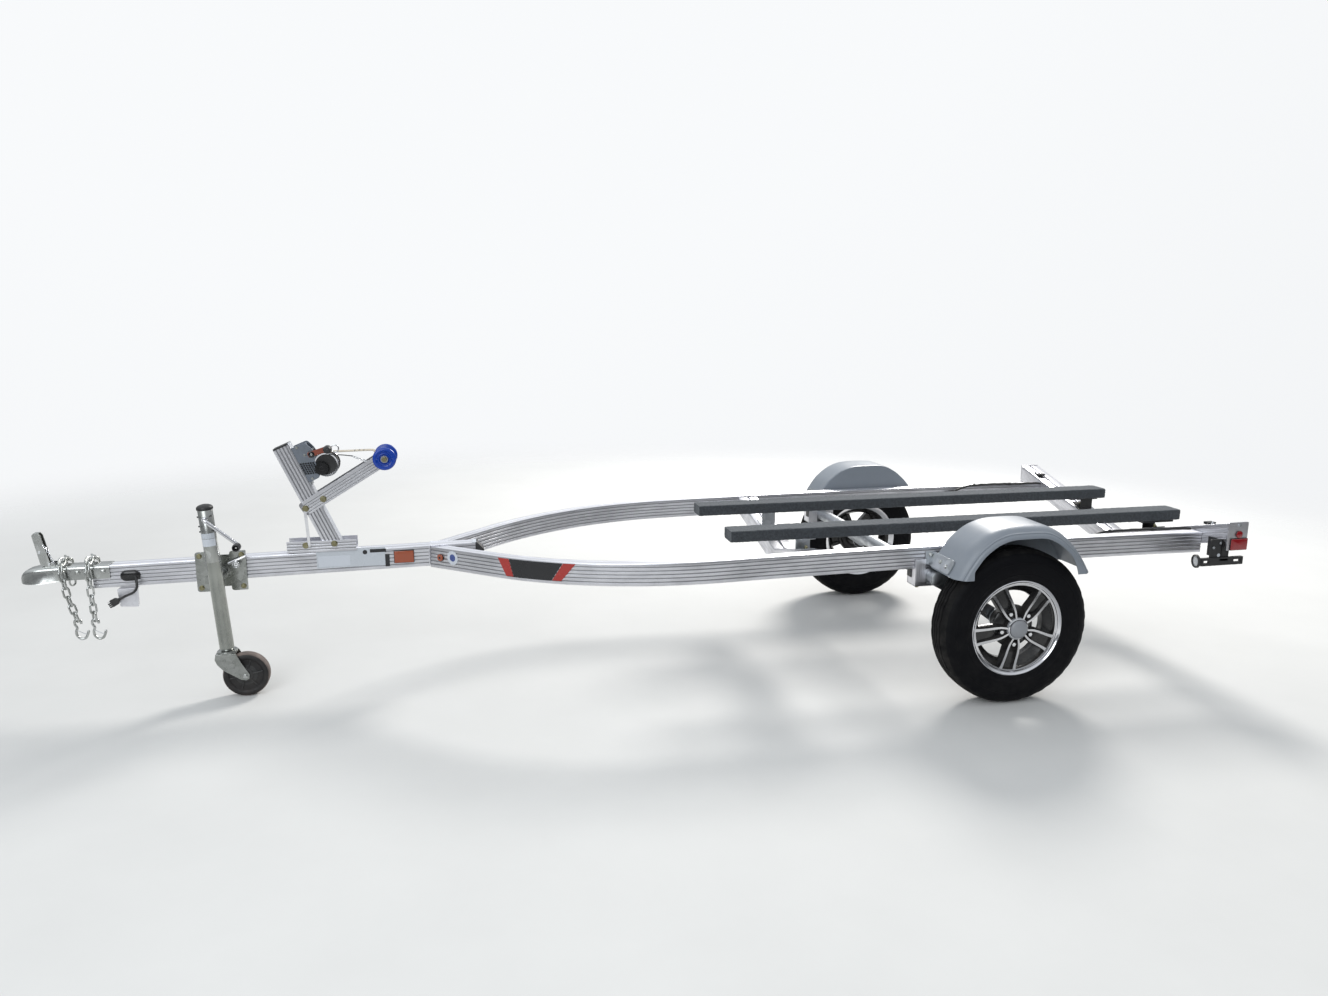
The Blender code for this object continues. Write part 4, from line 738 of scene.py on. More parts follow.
def build_rails():
    own = frame_settings()
    section = beam_section(RAIL_WIDTH, BEAM_HEIGHT, own.rib_count, own.rib_depth, top_ribs=1)
    for label, side in SIDES:
        route = rail_route(side)
        last, across = route[-1]
        ahead = (route[-1][0] - route[-2][0]).normalized()
        shape = Shape("mill", "groove", "painted_top_highlight")
        rings = [[p + s * a + Vector((0, 0, b)) for a, b in section] for p, s in route]
        flat = side * (TONGUE_WIDTH / 2 + 0.0004)
        closing = []
        for a, b in section:
            spot = last + across * a + Vector((0, 0, b))
            closing.append(spot + ahead * ((flat - spot.y) / ahead.y))
        rings[-1] = closing
        # The grooves take painted shade and the top faces a painted highlight.
        shape.mark_sweep(shape.rings(rings, paints=shape.grooved(section, own.rib_depth)), section,
                         [p for p, s in route])
        shape.piece(f"side_rail_beam_{label}", "trailer", "mill_aluminium", f"side_rail_{label}")
    welds = Shape("sawn")
    for label, side in SIDES:
        spot, across = rail_route(side)[-1]
        top = tongue_top(spot.x)
        x_front = spot.x - RAIL_WIDTH / 2 / math.sin(RAIL_BEND_ANGLE)
        x_rear = spot.x + RAIL_WIDTH / 2 / math.sin(RAIL_BEND_ANGLE)
        y = side * (TONGUE_WIDTH / 2 + 0.001)
        bead = [(x_front + (x_rear - x_front) * i / 20, y, top - 0.0006 + 0.0006 * math.sin(i * 2.4))
                for i in range(21)]
        welds.tube(bead, 0.0026, 8)
        for x in (x_front - 0.002, x_rear):
            down = [(x, y + side * 0.001, top - 0.003 - (BEAM_HEIGHT - 0.008) * i / 20) for i in range(21)]
            welds.tube(down, 0.0022, 8)
    welds.piece("tongue_welds", "trailer", "mill_aluminium")


def cross_section(width, height):
    """Section of a cross-member (along the trailer, up), with a slot along its top for T-bolts."""
    half = width / 2
    slot, depth = 0.005, 0.006
    side = []
    pitch = height / 4
    for index in range(3):
        middle = -pitch * (index + 1)
        for share, sink in ((0.5, 0.0), (0.25, 0.9), (-0.25, 0.9), (-0.5, 0.0)):
            side.append((half - 0.0012 * sink, middle + 0.006 * share))
    right = [(slot, -depth), (slot, -0.0006), (slot + 0.0006, 0), (half - 0.002, 0), (half - 0.0006, -0.0006),
             (half, -0.002)]
    right += side + [(half, -height + 0.002), (half - 0.002, -height)]
    return right + [(-s, u) for s, u in reversed(right)]


def bunk_bracket(shape, side, x, top, rise, paint):
    """Bent plate between a cross-member and the underside of a bunk, with its bolts."""
    under = BUNK_LOW - GAP
    middle = side * BUNK_Y
    half, wall = 0.03, 0.004
    inner, outer = middle - side * half, middle + side * half
    low_in, low_out = top + rise * abs(inner), top + rise * abs(outer)
    profile = [(inner, low_in), (outer, low_out), (outer, low_out + wall), (inner + side * wall, low_in + wall),
               (inner + side * wall, under - wall), (outer, under - wall), (outer, under), (inner, under)]
    shape.use(paint).prism(profile, x - 0.028, x + 0.028, "X")
    tilt = Vector((0, -side * rise, 1)).normalized()
    shape.bolt((x, middle + side * 0.008, top + rise * abs(middle + side * 0.008) + wall), tilt, 0.0085, reach=0.012)
    for offset in (-0.015, 0.015):
        shape.bolt((x + offset, middle + side * 0.01, under - wall), (0, 0, -1), 0.0065)


def build_cross_members():
    inner = RAIL_OUTER_Y - RAIL_WIDTH - 0.0005
    members = (
        # name, CAD node, x, top in the middle, rise, half span
        ("front_cross_beam", "front_crossmember", FRONT_CROSS_X, FRONT_CROSS_TOP, FRONT_CROSS_RISE, inner),
        ("rear_cross_beam", "rear_crossmember", REAR_CROSS_X, REAR_CROSS_TOP, REAR_CROSS_RISE, REAR_CROSS_HALF),
    )
    for name, node, x, top, rise, span in members:
        shape = Shape("mill", "galvanised", "olive", "sawn", "black_paint")
        stations = (-span, -0.01, 0.01, span)
        frames = [((x, y, top + rise * max(abs(y), 0.004)), (1, 0, 0), (0, 0, 1)) for y in stations]
        shape.sweep(cross_section(CROSS_WIDTH, CROSS_HEIGHT), frames)
        for side in (LEFT, RIGHT):
            # On the rear cross-member the brackets are black and a thin black plate lies under each bunk; on the front
            # one the brackets are galvanised.
            bunk_bracket(shape, side, x, top, rise, "black_paint" if node == "rear_crossmember" else "galvanised")
            if node == "rear_crossmember":
                rear_end(shape, side)
                long_y = side_span(side, BUNK_Y - 0.02, BUNK_Y + 0.034)
                shape.use("black_paint").box((x - 0.08, x + 0.06), long_y, (BUNK_LOW - 0.0075, BUNK_LOW - 0.0003))
                shape.box((x - 0.03, x + 0.002), side_span(side, 0.52, 0.545),
                          (top + rise * 0.545 - 0.002, top + rise * 0.545 + 0.007))
                shape.bolt((x - 0.026, side * 0.56, top + rise * 0.56), (0, -side * rise, 1), 0.007, head="galvanised",
                           reach=0.01)
        shape.piece(name, "trailer", "mill_aluminium", node, edges=0.0008)


def rear_end(shape, side):
    """Flat plate that closes the end of the rear cross-member, with a button-head bolt at its top corner."""
    top = END_PLATE_TOP
    x0, x1 = REAR_CROSS_X - CROSS_WIDTH / 2, REAR_CROSS_X + CROSS_WIDTH / 2
    outline = rounded(rectangle(x0, x1, top - 0.102, top), 0.004)
    faces = side_span(side, REAR_CROSS_HALF - 0.002, REAR_CROSS_HALF + 0.004)
    shape.use("mill").prism(outline, *faces)
    shape.bolt((x0 + 0.045, side * (REAR_CROSS_HALF + 0.0035), top - 0.01), (0, side, 0), 0.0065, head="galvanised")


def build_wiring():
    """Black loom that runs inside each rail to the rear lamps."""
    for label, side in SIDES:
        spots = [(0.3, 0.48, -0.045), (0.4, 0.478, -0.02), (0.47, 0.4765, 0.001), (0.6, 0.4775, 0.0055),
                 (0.72, 0.477, 0.004), (0.8, 0.4775, 0.005), (0.842, 0.479, 0.002)]
        shape = Shape("black_plastic")
        route = curved([(x, side * y, rail_top(x) + z) for x, y, z in spots], 0.012)
        shape.tube([p + Vector((0, 0, 0.0006 * math.sin(i * 1.3))) for i, p in enumerate(route)], 0.005, 10)
        for x in (0.5, 0.68):
            clip = rectangle(0.0052, 0.0064, -0.004, 0.004)
            shape.put_at((x, side * 0.4775, rail_top(x) + 0.0045)).turned(clip, 16, "X")
            shape.put_at()
        shape.piece(f"wiring_loom_{label}", "trailer", "black_plastic", smooth=60)


# Lamps, reflectors and blank markers

def lamp_body(shape, spot, outward, up, width, height, depth, lens, corner):
    """A lamp on a face: a black base with a domed lens, turned to face outward."""
    outward, up = Vector(outward).normalized(), Vector(up).normalized()
    side = up.cross(outward).normalized()
    up = outward.cross(side)
    turn = Matrix((side, up, outward)).transposed().to_4x4()
    shape.place = Matrix.Translation(Vector(spot)) @ turn
    outline = rounded(rectangle(-width / 2, width / 2, -height / 2, height / 2), corner, 6)
    shape.use("black_plastic").prism(outline, 0.0003, depth * 0.4, "Z")
    rings = []
    for share, level in ((0.955, depth * 0.35), (0.955, depth * 0.75), (0.93, depth * 0.9), (0.86, depth)):
        rings.append([(a * share, b * (1 - (1 - share) * width / height), level) for a, b in outline])
    shape.use(lens).rings(rings)
    shape.place = Matrix()


def build_lamps():
    face = REAR_CROSS_X + CROSS_WIDTH / 2 + GAP
    for label, side in SIDES:
        tail = Shape("black_plastic", "red_lens", "galvanised")
        y = side * 0.5
        z = REAR_CROSS_TOP + REAR_CROSS_RISE * abs(y) - CROSS_HEIGHT / 2
        lamp_body(tail, (face, y, z), (1, 0, 0), (0, -side * REAR_CROSS_RISE, 1), 0.164, 0.054, 0.0105, "red_lens",
                  0.025)
        tail.piece(f"tail_lamp_lens_{label}", "trailer", "red_lens", f"tail_lamp_{label}", edges=0.0006)
        middle = Vector((face - 0.0353, 0, END_PLATE_TOP - 0.08))
        lamp = Shape("black_plastic", "red_lens", "galvanised")
        foot = side * (REAR_CROSS_HALF + 0.004)
        lamp_body(lamp, (middle.x, foot, middle.z), (0, side, 0), (0, 0, 1),
                  0.0705, 0.044, 0.0068, "red_lens", 0.003)
        lamp.piece(f"side_lamp_lens_{label}", "trailer", "red_lens", f"side_lamp_{label}", edges=0.0005)
        reflector = Shape("black_plastic", "red_lens")
        lamp_body(reflector, (middle.x - 0.002, foot, middle.z + 0.036), (0, side, 0), (0, 0, 1),
                  0.026, 0.026, 0.0055, "red_lens", 0.0129)
        reflector.piece(f"side_reflector_{label}", "trailer", "red_lens")


def build_markers():
    """Blank films and reflectors on the left side of the tongue and of the left rail."""
    face = -TONGUE_WIDTH / 2
    shape = Shape("silver_film", "white_film", "black_film", "black_plastic")
    for paint, x0, x1, z0, z1, proud in (
        ("silver_film", -2.3228, -2.0898, 0.418, 0.485, 0.0006), ("white_film", -2.317, -2.21, 0.4235, 0.461, 0.0009),
        ("black_film", -2.142, -2.087, 0.4665, 0.4785, 0.001), ("black_film", -2.091, -2.076, 0.413, 0.458, 0.0014),
    ):
        shape.use(paint).prism(rounded(rectangle(x0, x1, z0, z1), 0.002), face - proud, face - 0.0001)
    shape.put_at((-2.159, face, 0.469)).use("black_film").rod(0.0078, -0.0012, -0.0001, 24)
    shape.put_at().piece("tongue_labels", "trailer", "black_plastic")
    lens = Shape("black_plastic", "amber_lens")
    lamp_body(lens, (-2.0258, face - 0.0001, 0.446), (0, -1, 0), (0, 0, 1), 0.0705, 0.046, 0.006, "amber_lens", 0.003)
    lens.piece("tongue_reflector_left", "trailer", "red_lens", edges=0.0005)
    outward = Vector((-math.sin(RAIL_BEND_ANGLE), -math.cos(RAIL_BEND_ANGLE), 0))
    film = Shape("amber_lens", "black_film", "white_film", "blue_film", "red_film", "black_plastic")
    lamp_body(film, (-1.8974, -0.0645, 0.4445), outward, (0, 0, 1), 0.026, 0.026, 0.007, "amber_lens", 0.0129)
    turn = Vector((0, 0, 1)).rotation_difference(outward).to_matrix().to_4x4()
    for paint, size, low, high in (("white_film", 0.025, 0.0002, 0.0006), ("blue_film", 0.013, 0.0004, 0.0009)):
        film.place = Matrix.Translation((-1.8566, -0.1039, 0.4505)) @ turn
        film.use(paint).rod(size, low, high, 40, "Z")
    film.place = Matrix.Translation((-1.8974, -0.0645, 0.4445)) @ turn
    film.use("black_film").rod(0.0042, 0.0068, 0.0074, 20, "Z")
    film.place = Matrix()
    steps = 30
    for paint, low_start, low_end, start, end in (("red_film", 29.4, 31.2, 26.6, 29.0),
                                                  ("black_film", 31.3, 39.2, 29.1, 40.2),
                                                  ("red_film", 39.3, 40.9, 40.3, 42.8)):
        rings = []
        for index in range(steps + 1):
            ring = []
            for up, proud in ((0.0, 0.0002), (0.0, 0.0007), (1.0, 0.0007), (1.0, 0.0002)):
                ends = (start, end) if up else (low_start, low_end)
                angle = math.radians(ends[0] + (ends[1] - ends[0]) * index / steps)
                x = RAIL_BEND_START - RAIL_BEND_RADIUS * math.sin(angle)
                y = RAIL_BEND_RADIUS * (1 - math.cos(angle)) - RAIL_OUTER_Y
                out = Vector((-math.sin(angle), -math.cos(angle), 0))
                ring.append(Vector((x, y, rail_top(x) - 0.064 + 0.0605 * up)) + out * proud)
            rings.append(ring)
        film.use(paint).rings(rings)
    film.piece("rail_films_left", "trailer", "black_plastic")


# Bunks

def build_bunks():
    """Boards wrapped in marine carpet, with tufts that break up the outline."""
    nap = frame_settings().nap
    for label, side in SIDES:
        low = Vector((BUNK_FRONT, side * BUNK_Y - BUNK_WIDTH / 2, BUNK_LOW))
        high = Vector((BUNK_REAR, side * BUNK_Y + BUNK_WIDTH / 2, BUNK_TOP))
        middle, size = (low + high) / 2, high - low
        core = nap  # the tufts reach out to the board's full size
        outline = rounded(rectangle(-size.y / 2 + core, size.y / 2 - core, -size.z / 2 + core, size.z / 2 - core),
                          0.008, 5)
        fine = []
        for index, here in enumerate(outline):
            after = Vector(outline[(index + 1) % len(outline)])
            pieces = max(1, round((after - Vector(here)).length / 0.0042))
            fine += [tuple(Vector(here).lerp(after, step / pieces)) for step in range(pieces)]
        steps = 400
        shape = Shape("carpet")
        rings = []
        for share in (0.62, 0.86, 0.97):
            rings.append((low.x + core + (1 - share) * 0.009, share))
        rings += [(low.x + 0.01 + (size.x - 0.02) * i / steps, 1.0) for i in range(steps + 1)]
        for share in (0.97, 0.86, 0.62):
            rings.append((high.x - core - (1 - share) * 0.009, share))
        shape.rings([[(x, middle.y + a * share, middle.z + b * share) for a, b in fine] for x, share in rings])
        tuft(shape.bm, (low.x, middle.y, middle.z), size.x, nap)
        shape.piece(f"carpeted_bunk_{label}", "trailer", "carpet", f"bunk_{label}", smooth=80)


def tuft(bm, start, length, nap):
    """Push each point of a carpeted board in or out a little."""
    bm.normal_update()
    for vert in bm.verts:
        spot = vert.co
        fuzz = noise.noise(spot * 260.0) * 0.6 + noise.noise(spot * 90.0) * 0.4
        vert.co = spot + vert.normal * nap * max(-1.0, min(0.95, fuzz * 1.6))


# Wheels

def tyre_half_profile(own):
    """Outside of a tyre from the bead to the middle of the tread, as (radius, along, sink share)."""
    crown = own.tyre_radius
    profile = [
        # radius, along, how much of the tread depth is cut away here
        (0.1533, 0.0455, 0), (0.16, 0.0505, 0), (0.168, 0.054, 0), (0.1712, 0.057, 0), (0.174, 0.0585, 0),
        (0.1765, 0.0586, 0), (0.18, 0.0602, 0), (0.189, 0.0622, 0), (0.19, 0.063, 0), (0.1915, 0.063, 0),
        (0.1925, 0.0624, 0), (0.202, 0.0633, 0), (0.212, 0.0634, 0), (0.222, 0.0629, 0), (0.228, 0.0623, 0),
        (0.229, 0.063, 0), (0.2305, 0.0629, 0), (0.2315, 0.0617, 0), (0.239, 0.0605, 0), (0.245, 0.059, 0),
        (0.251, 0.0565, 0.2), (0.256, 0.0535, 0.4), (0.261, 0.0495, 0.4), (0.265, 0.0448, 0.4), (0.2678, 0.0395, 0.3),
    ]
    tread = []
    for along, sink in ((0.032, 0), (0.029, 0), (0.0268, 1), (0.0232, 1), (0.021, 0), (0.015, 0), (0.0105, 0),
                        (0.0086, 1), (0.0052, 1), (0.0034, 0), (0.0, 0)):
        tread.append((crown - 0.002 * (along / 0.032) ** 2 - sink * own.tread_depth, along, 0))
    return profile + tread


def build_tyre(label, side):
    own = bpy.context.scene.trailer_wheel
    half = tyre_half_profile(own)
    outer = half + [(r, -a, s) for r, a, s in reversed(half[:-1])]
    inner = [(0.2585, 0.02), (0.212, 0.055), (0.176, 0.049), (0.1533, 0.0385)]
    inner = [(r, -a, 0) for r, a in reversed(inner)] + [(r, a, 0) for r, a in inner]
    steps = 180
    rings = []
    for index in range(steps):
        angle = math.tau * index / steps
        zig = 0.0016 if (index // 3) % 2 else -0.0016
        lug = 0.55 if index % 5 in (0, 1) else 0.0
        ring = []
        for radius, along, sink in outer:
            cut = sink * own.tread_depth * lug
            shift = zig if radius > 0.262 and 0.0 < abs(along) < 0.031 else 0.0
            ring.append(((radius - cut) * math.cos(angle), along + shift, (radius - cut) * math.sin(angle)))
        ring += [(radius * math.cos(angle), along, radius * math.sin(angle)) for radius, along, sink in inner]
        rings.append(ring)
    shape = Shape("tyre", "tread").put_at((0, side * TRACK_HALF, AXLE_Z))
    paints = ["tread" if min(radius, outer[(i + 1) % len(outer)][0]) > 0.2605 else "tyre"
              for i, (radius, along, sink) in enumerate(outer)]
    shape.rings(rings, wrap=True, paints=paints + ["tyre"] * len(inner))
    shape.piece(f"tread_tyre_{label}", f"wheel_{label}", "tyre_rubber", f"tyre_{label}", smooth=32)


RIM_HALF = 0.058
RIM_FLANGE = 0.168
SPOKE_PHASE = 118.0          # angle of the first spoke above the horizontal, in degrees


def spoke_face(radius):
    """How far the machined face of a spoke stands out from the middle of the wheel."""
    if radius < 0.09:
        return 0.0605 - 0.0045 * max(0.0, radius - 0.033) / 0.057
    return 0.056 - 0.01 * min(1.0, (radius - 0.09) / 0.0565)


def build_rim(label, side):
    shape = Shape("lip", "machined", "cap", "black_gloss", "chrome", "black_plastic")
    shape.put_at((0, side * TRACK_HALF, AXLE_Z))
    half, flange, seat, well = RIM_HALF, RIM_FLANGE, 0.1525, 0.128
    outline = [
        # radius, along, finish of the band that starts here
        (flange, -half, "lip"), (seat, -half + 0.01, "black_gloss"), (seat, -half + 0.024, "black_gloss"),
        (well, -half + 0.04, "black_gloss"), (well, half - 0.046, "black_gloss"), (seat, half - 0.026, "black_gloss"),
        (seat, half - 0.01, "lip"), (flange - 0.001, half - 0.006, "lip"), (flange, half - 0.0035, "lip"),
        (flange - 0.0008, half - 0.0012, "lip"), (flange - 0.003, half, "lip"), (flange - 0.0052, half - 0.001, "lip"),
        (flange - 0.0066, half - 0.0035, "lip"), (0.1585, half - 0.005, "lip"), (0.156, half - 0.0062, "lip"),
        (0.1545, half - 0.0095, "lip"), (0.153, half - 0.011, "machined"), (0.149, half - 0.012, "black_gloss"),
        (0.1475, half - 0.014, "black_gloss"), (0.1462, half - 0.03, "black_gloss"),
        (well - 0.006, half - 0.048, "black_gloss"), (well - 0.006, -half + 0.042, "black_gloss"),
        (seat - 0.006, -half + 0.01, "lip"),
    ]
    shape.turned([(r, a) for r, a, paint in outline], 120, "Y", [paint for r, a, paint in outline], side)
    spokes = bpy.context.scene.trailer_wheel.spokes
    for index in range(spokes):
        angle = math.radians(SPOKE_PHASE + 360.0 * index / spokes)
        build_spoke(shape, side, angle)
    pad = [(0.0, 0.016), (0.074, 0.016), (0.074, 0.026), (0.066, 0.032), (0.044, 0.036), (0.04, 0.052), (0.0, 0.054)]
    shape.use("black_gloss").turned(pad, 60, side=side)
    cap = [(0.0, 0.052), (0.0385, 0.052), (0.0385, 0.059), (0.0365, 0.0615), (0.0325, 0.0628), (0.032, 0.0655),
           (0.03, 0.07), (0.024, 0.0735), (0.0, 0.0752)]
    paints = ["cap", "cap", "cap", "chrome", "black_gloss", "cap", "cap", "cap", "cap"]
    shape.turned(cap, 60, "Y", paints, side=side)
    valve_angle = math.radians(SPOKE_PHASE + 36)
    base = Vector((0.146 * math.cos(valve_angle), side * 0.034, 0.146 * math.sin(valve_angle)))
    tip = base + Vector((-0.008 * math.cos(valve_angle), side * 0.024, -0.008 * math.sin(valve_angle)))
    shape.use("black_plastic").tube([base, base.lerp(tip, 0.5), tip], [0.0045, 0.0038, 0.0034], 10)
    shape.piece(f"alloy_rim_{label}", f"wheel_{label}", "machined_alloy", f"rim_{label}", smooth=38)


def build_spoke(shape, side, angle):
    """One split spoke: two machined legs, the black web between their roots, and a lug nut in its pocket."""
    out = Vector((math.cos(angle), 0, math.sin(angle)))
    across = Vector((-math.sin(angle), 0, math.cos(angle)))
    legs = (
        # radius, distance of a leg from the middle of the spoke, half width of its face
        (0.032, 0.008, 0.0033), (0.046, 0.0135, 0.0034), (0.06, 0.018, 0.0035), (0.08, 0.0205, 0.0037),
        (0.1, 0.0215, 0.004), (0.12, 0.0227, 0.0043), (0.138, 0.0243, 0.0049), (0.15, 0.0266, 0.0058),
    )
    for hand in (-1, 1):
        rings = []
        for radius, offset, half in legs:
            level = spoke_face(radius)
            middle = out * radius + across * (hand * offset)
            depth = 0.026 + 0.01 * (0.15 - radius) / 0.118
            section = [(-half, 0.0), (half, 0.0), (half + 0.0008, -0.001), (half + 0.0036, -depth),
                       (-half - 0.0036, -depth), (-half - 0.0008, -0.001)]
            rings.append([middle + across * (hand * s) + Vector((0, side * (level + d), 0)) for s, d in section])
        shape.rings(rings, paints=["machined"] + ["black_gloss"] * 5)
    web = (
        # radius, half width, level below the face
        (0.03, 0.009, 0.004), (0.044, 0.013, 0.012), (0.052, 0.016, 0.022), (0.068, 0.019, 0.022),
        (0.078, 0.02, 0.014), (0.1, 0.021, 0.011), (0.13, 0.023, 0.01), (0.1495, 0.0262, 0.008),
    )
    rings = []
    for radius, half, sunk in web:
        level = spoke_face(radius) - sunk
        rings.append([out * radius + across * s + Vector((0, side * (level + d), 0))
                      for s, d in ((-half, 0.0), (half, 0.0), (half, -0.01), (-half, -0.01))])
    shape.use("black_gloss").rings(rings)
    before = shape.place
    seat = spoke_face(0.0572) - 0.022
    shape.place = before @ Matrix.Translation(out * 0.0572 + Vector((0, side * seat, 0)))
    nut = [(0.0, 0.0), (0.0105, 0.0), (0.0105, 0.003), (0.0092, 0.0045), (0.0092, 0.0165), (0.007, 0.0195),
           (0.0, 0.0205)]
    shape.use("chrome").turned(nut, 6, side=side)
    shape.place = before


def build_hub(label, side):
    shape = Shape("black_paint", "galvanised").put_at((0, side * TRACK_HALF, AXLE_Z))
    back = AXLE_TUBE_HALF + 0.018 - TRACK_HALF
    outline = [(0.0, 0.0145), (0.062, 0.0145), (0.062, 0.006), (0.05, 0.0035), (0.046, 0.003), (0.041, -0.012),
               (0.036, back + 0.014), (0.036, back + 0.01), (0.034, back + 0.008), (0.034, back), (0.0165, back),
               (0.0165, 0.004), (0.0, 0.004)]
    shape.turned(outline, 48, side=side)
    shape.use("galvanised").turned(rectangle(0.0345, 0.0362, back + 0.0002, back + 0.006), 48, side=side)
    shape.piece(f"wheel_hub_{label}", f"wheel_{label}", "black_steel", f"hub_{label}", edges=0.0006)


# Axle

def build_axle():
    radius, half = AXLE_TUBE_RADIUS, AXLE_TUBE_HALF
    shape = Shape("galvanised", "black_plastic", grain=(0, 1, 0)).put_at(AXLE_TUBE)
    for hand in (-1, 1):
        profile = [(0.0, half), (radius - 0.004, half), (radius - 0.004, half - 0.002), (radius, half - 0.002),
                   (radius, 0.0), (0.0, 0.0)]
        shape.turned(profile, 40, side=hand)
        shape.use("black_plastic").turned(rectangle(0.012, 0.0185, hand * (half - 0.0005), hand * half), 24)
        shape.use("galvanised")
    shape.piece("axle_cross_tube", "trailer", "galvanised_steel", "axle_tube")
    for label, side in SIDES:
        build_torsion_arm(label, side, AXLE_TUBE)
        build_axle_clamp(label, side, AXLE_TUBE, radius)


def build_torsion_arm(label, side, tube):
    """Forged trailing arm, thicker at its ends, with the spindle it carries."""
    inner = AXLE_TUBE_HALF + GAP
    thick = 0.012
    spindle = Vector((0, 0, AXLE_Z))
    along = (spindle - tube).normalized()
    length = (spindle - tube).length
    turn = math.atan2(-along.z, along.x)
    shape = Shape("galvanised", "black_plastic").put_at(tube, turn)
    outline = arc((0, 0), 0.027, 90, 270, 14) + arc((length * 0.5, 0.0), 0.019, 262, 278, 2)
    outline += arc((length, 0), 0.0255, -90, 90, 12) + arc((length * 0.5, 0.0), 0.019, 82, 98, 2)
    shape.prism(outline, *side_span(side, inner + 0.0003, inner + thick - 0.0004))
    for centre, radius in ((0.0, 0.0268), (length, 0.0225)):
        shape.place = Matrix.Translation(tube) @ Matrix.Rotation(turn, 4, "Y") @ Matrix.Translation((centre, 0, 0))
        crown = [(0, inner + 0.001), (radius, inner + 0.001), (radius, inner + thick - 0.004),
                 (radius * 0.93, inner + thick - 0.001), (radius * 0.75, inner + thick + 0.0015),
                 (radius * 0.4, inner + thick + 0.003), (0, inner + thick + 0.0034)]
        shape.turned(crown, 36, side=side)
    shape.place = Matrix.Translation(spindle)
    far = TRACK_HALF + 0.0025
    shape.turned([(0, inner + 0.002), (0.0155, inner + 0.002), (0.0155, TRACK_HALF), (0.012, far), (0, far)], 24,
                 side=side)
    shape.piece(f"trailing_arm_{label}", "trailer", "galvanised_steel", f"torsion_arm_{label}", edges=0.0012)


def build_axle_clamp(label, side, tube, radius):
    """Ribbed saddle that bolts the axle tube under the rail, and the clip up the rail's side."""
    shape = Shape("mill", "galvanised", "black_plastic", "olive", grain=(0, 0, 1))
    front, rear = tube.x - 0.064, tube.x + 0.05
    under = rail_top(front) - BEAM_HEIGHT - 0.0006
    inner, outer = RAIL_OUTER_Y - RAIL_WIDTH - 0.004, RAIL_OUTER_Y + 0.012
    low, high = Vector((front, 0, tube.z - radius - 0.006)), Vector((rear, 0, under + 0.036))
    hole = arc((tube.x, tube.z), radius + 0.0004, 200, -20, 24)
    outline = [(front, low.z), (tube.x - radius * 0.94, low.z)] + hole[1:-1]
    outline += [(tube.x + radius * 0.94, low.z), (rear, low.z), (rear, under), (front, under)]
    shape.prism(outline, *side_span(side, inner, outer - 0.0002))
    shape.prism(rectangle(front, tube.x - radius - 0.001, under - 0.002, high.z),
                *side_span(side, RAIL_OUTER_Y + 0.0004, outer - 0.0002))
    shape.use("black_plastic").box((front - 0.003, front), side_span(side, inner + 0.002, inner + 0.03), (0.402, 0.442))
    shape.use("mill")
    steps = 5
    for index in range(steps):
        x = front + 0.004 + (tube.x - radius - front - 0.01) * index / (steps - 1)
        shape.box((x - 0.0012, x + 0.0012), side_span(side, outer - 0.0004, outer + 0.001),
                  (low.z + 0.012, high.z - 0.002))
    shape.use("galvanised")
    shape.box((front, rear), side_span(side, inner, outer - 0.0002), (low.z - 0.0035, low.z))
    for x in (front + 0.012, rear - 0.009):
        shape.bolt((x, side * (inner + 0.01), low.z - 0.0035), (0, 0, -1), 0.0075, head="olive")
        shape.bolt((x, side * (outer - 0.012), low.z - 0.0035), (0, 0, -1), 0.0075, head="olive")
    shape.piece(f"axle_saddle_{label}", "trailer", "mill_aluminium", f"axle_clamp_{label}", edges=0.0008)


# Fenders

def fender_path():
    """Side view of a fender's crown from its front foot to its rear foot: x and z from the wheel axle."""
    corners = [(-0.25, 0.445), (-0.226, 0.492), (-0.186, 0.549), (-0.128, 0.593), (-0.062, 0.614),
               (0.074, 0.614), (0.136, 0.586), (0.19, 0.54), (0.229, 0.488), (0.254, 0.445)]
    points = [Vector(corners[0])]
    for here, after in zip(corners, corners[1:]):
        points += [Vector(here).lerp(Vector(after), share) for share in (0.22, 0.78)]
    points.append(Vector(corners[-1]))
    return [Vector((p.x, p.z)) for p in curved([(p.x, 0, p.y) for p in points], 0.009)]


def fender_section(depth):
    """Outside of the fender across the wheel (y, how far in from the crown); depth is that of the skirt."""
    return [
        (0.5495, 0.04), (0.5495, 0.008), (0.5502, 0.004), (0.5525, 0.0014), (0.556, 0.0002), (0.564, 0.0),
        (0.62, 0.0), (0.685, 0.0001), (0.698, 0.0005), (0.707, 0.0022), (0.715, 0.0052), (0.7215, 0.0098),
        (0.7262, 0.0146), (0.729, 0.0172), (0.7318, 0.018), (0.7338, 0.0192), (0.7345, 0.0214), (0.7344, 0.0232),
        (0.7376, 0.0252), (0.7403, 0.029), (0.7414, 0.034), (0.7417, depth * 0.6 + 0.015), (0.7419, depth),
    ]


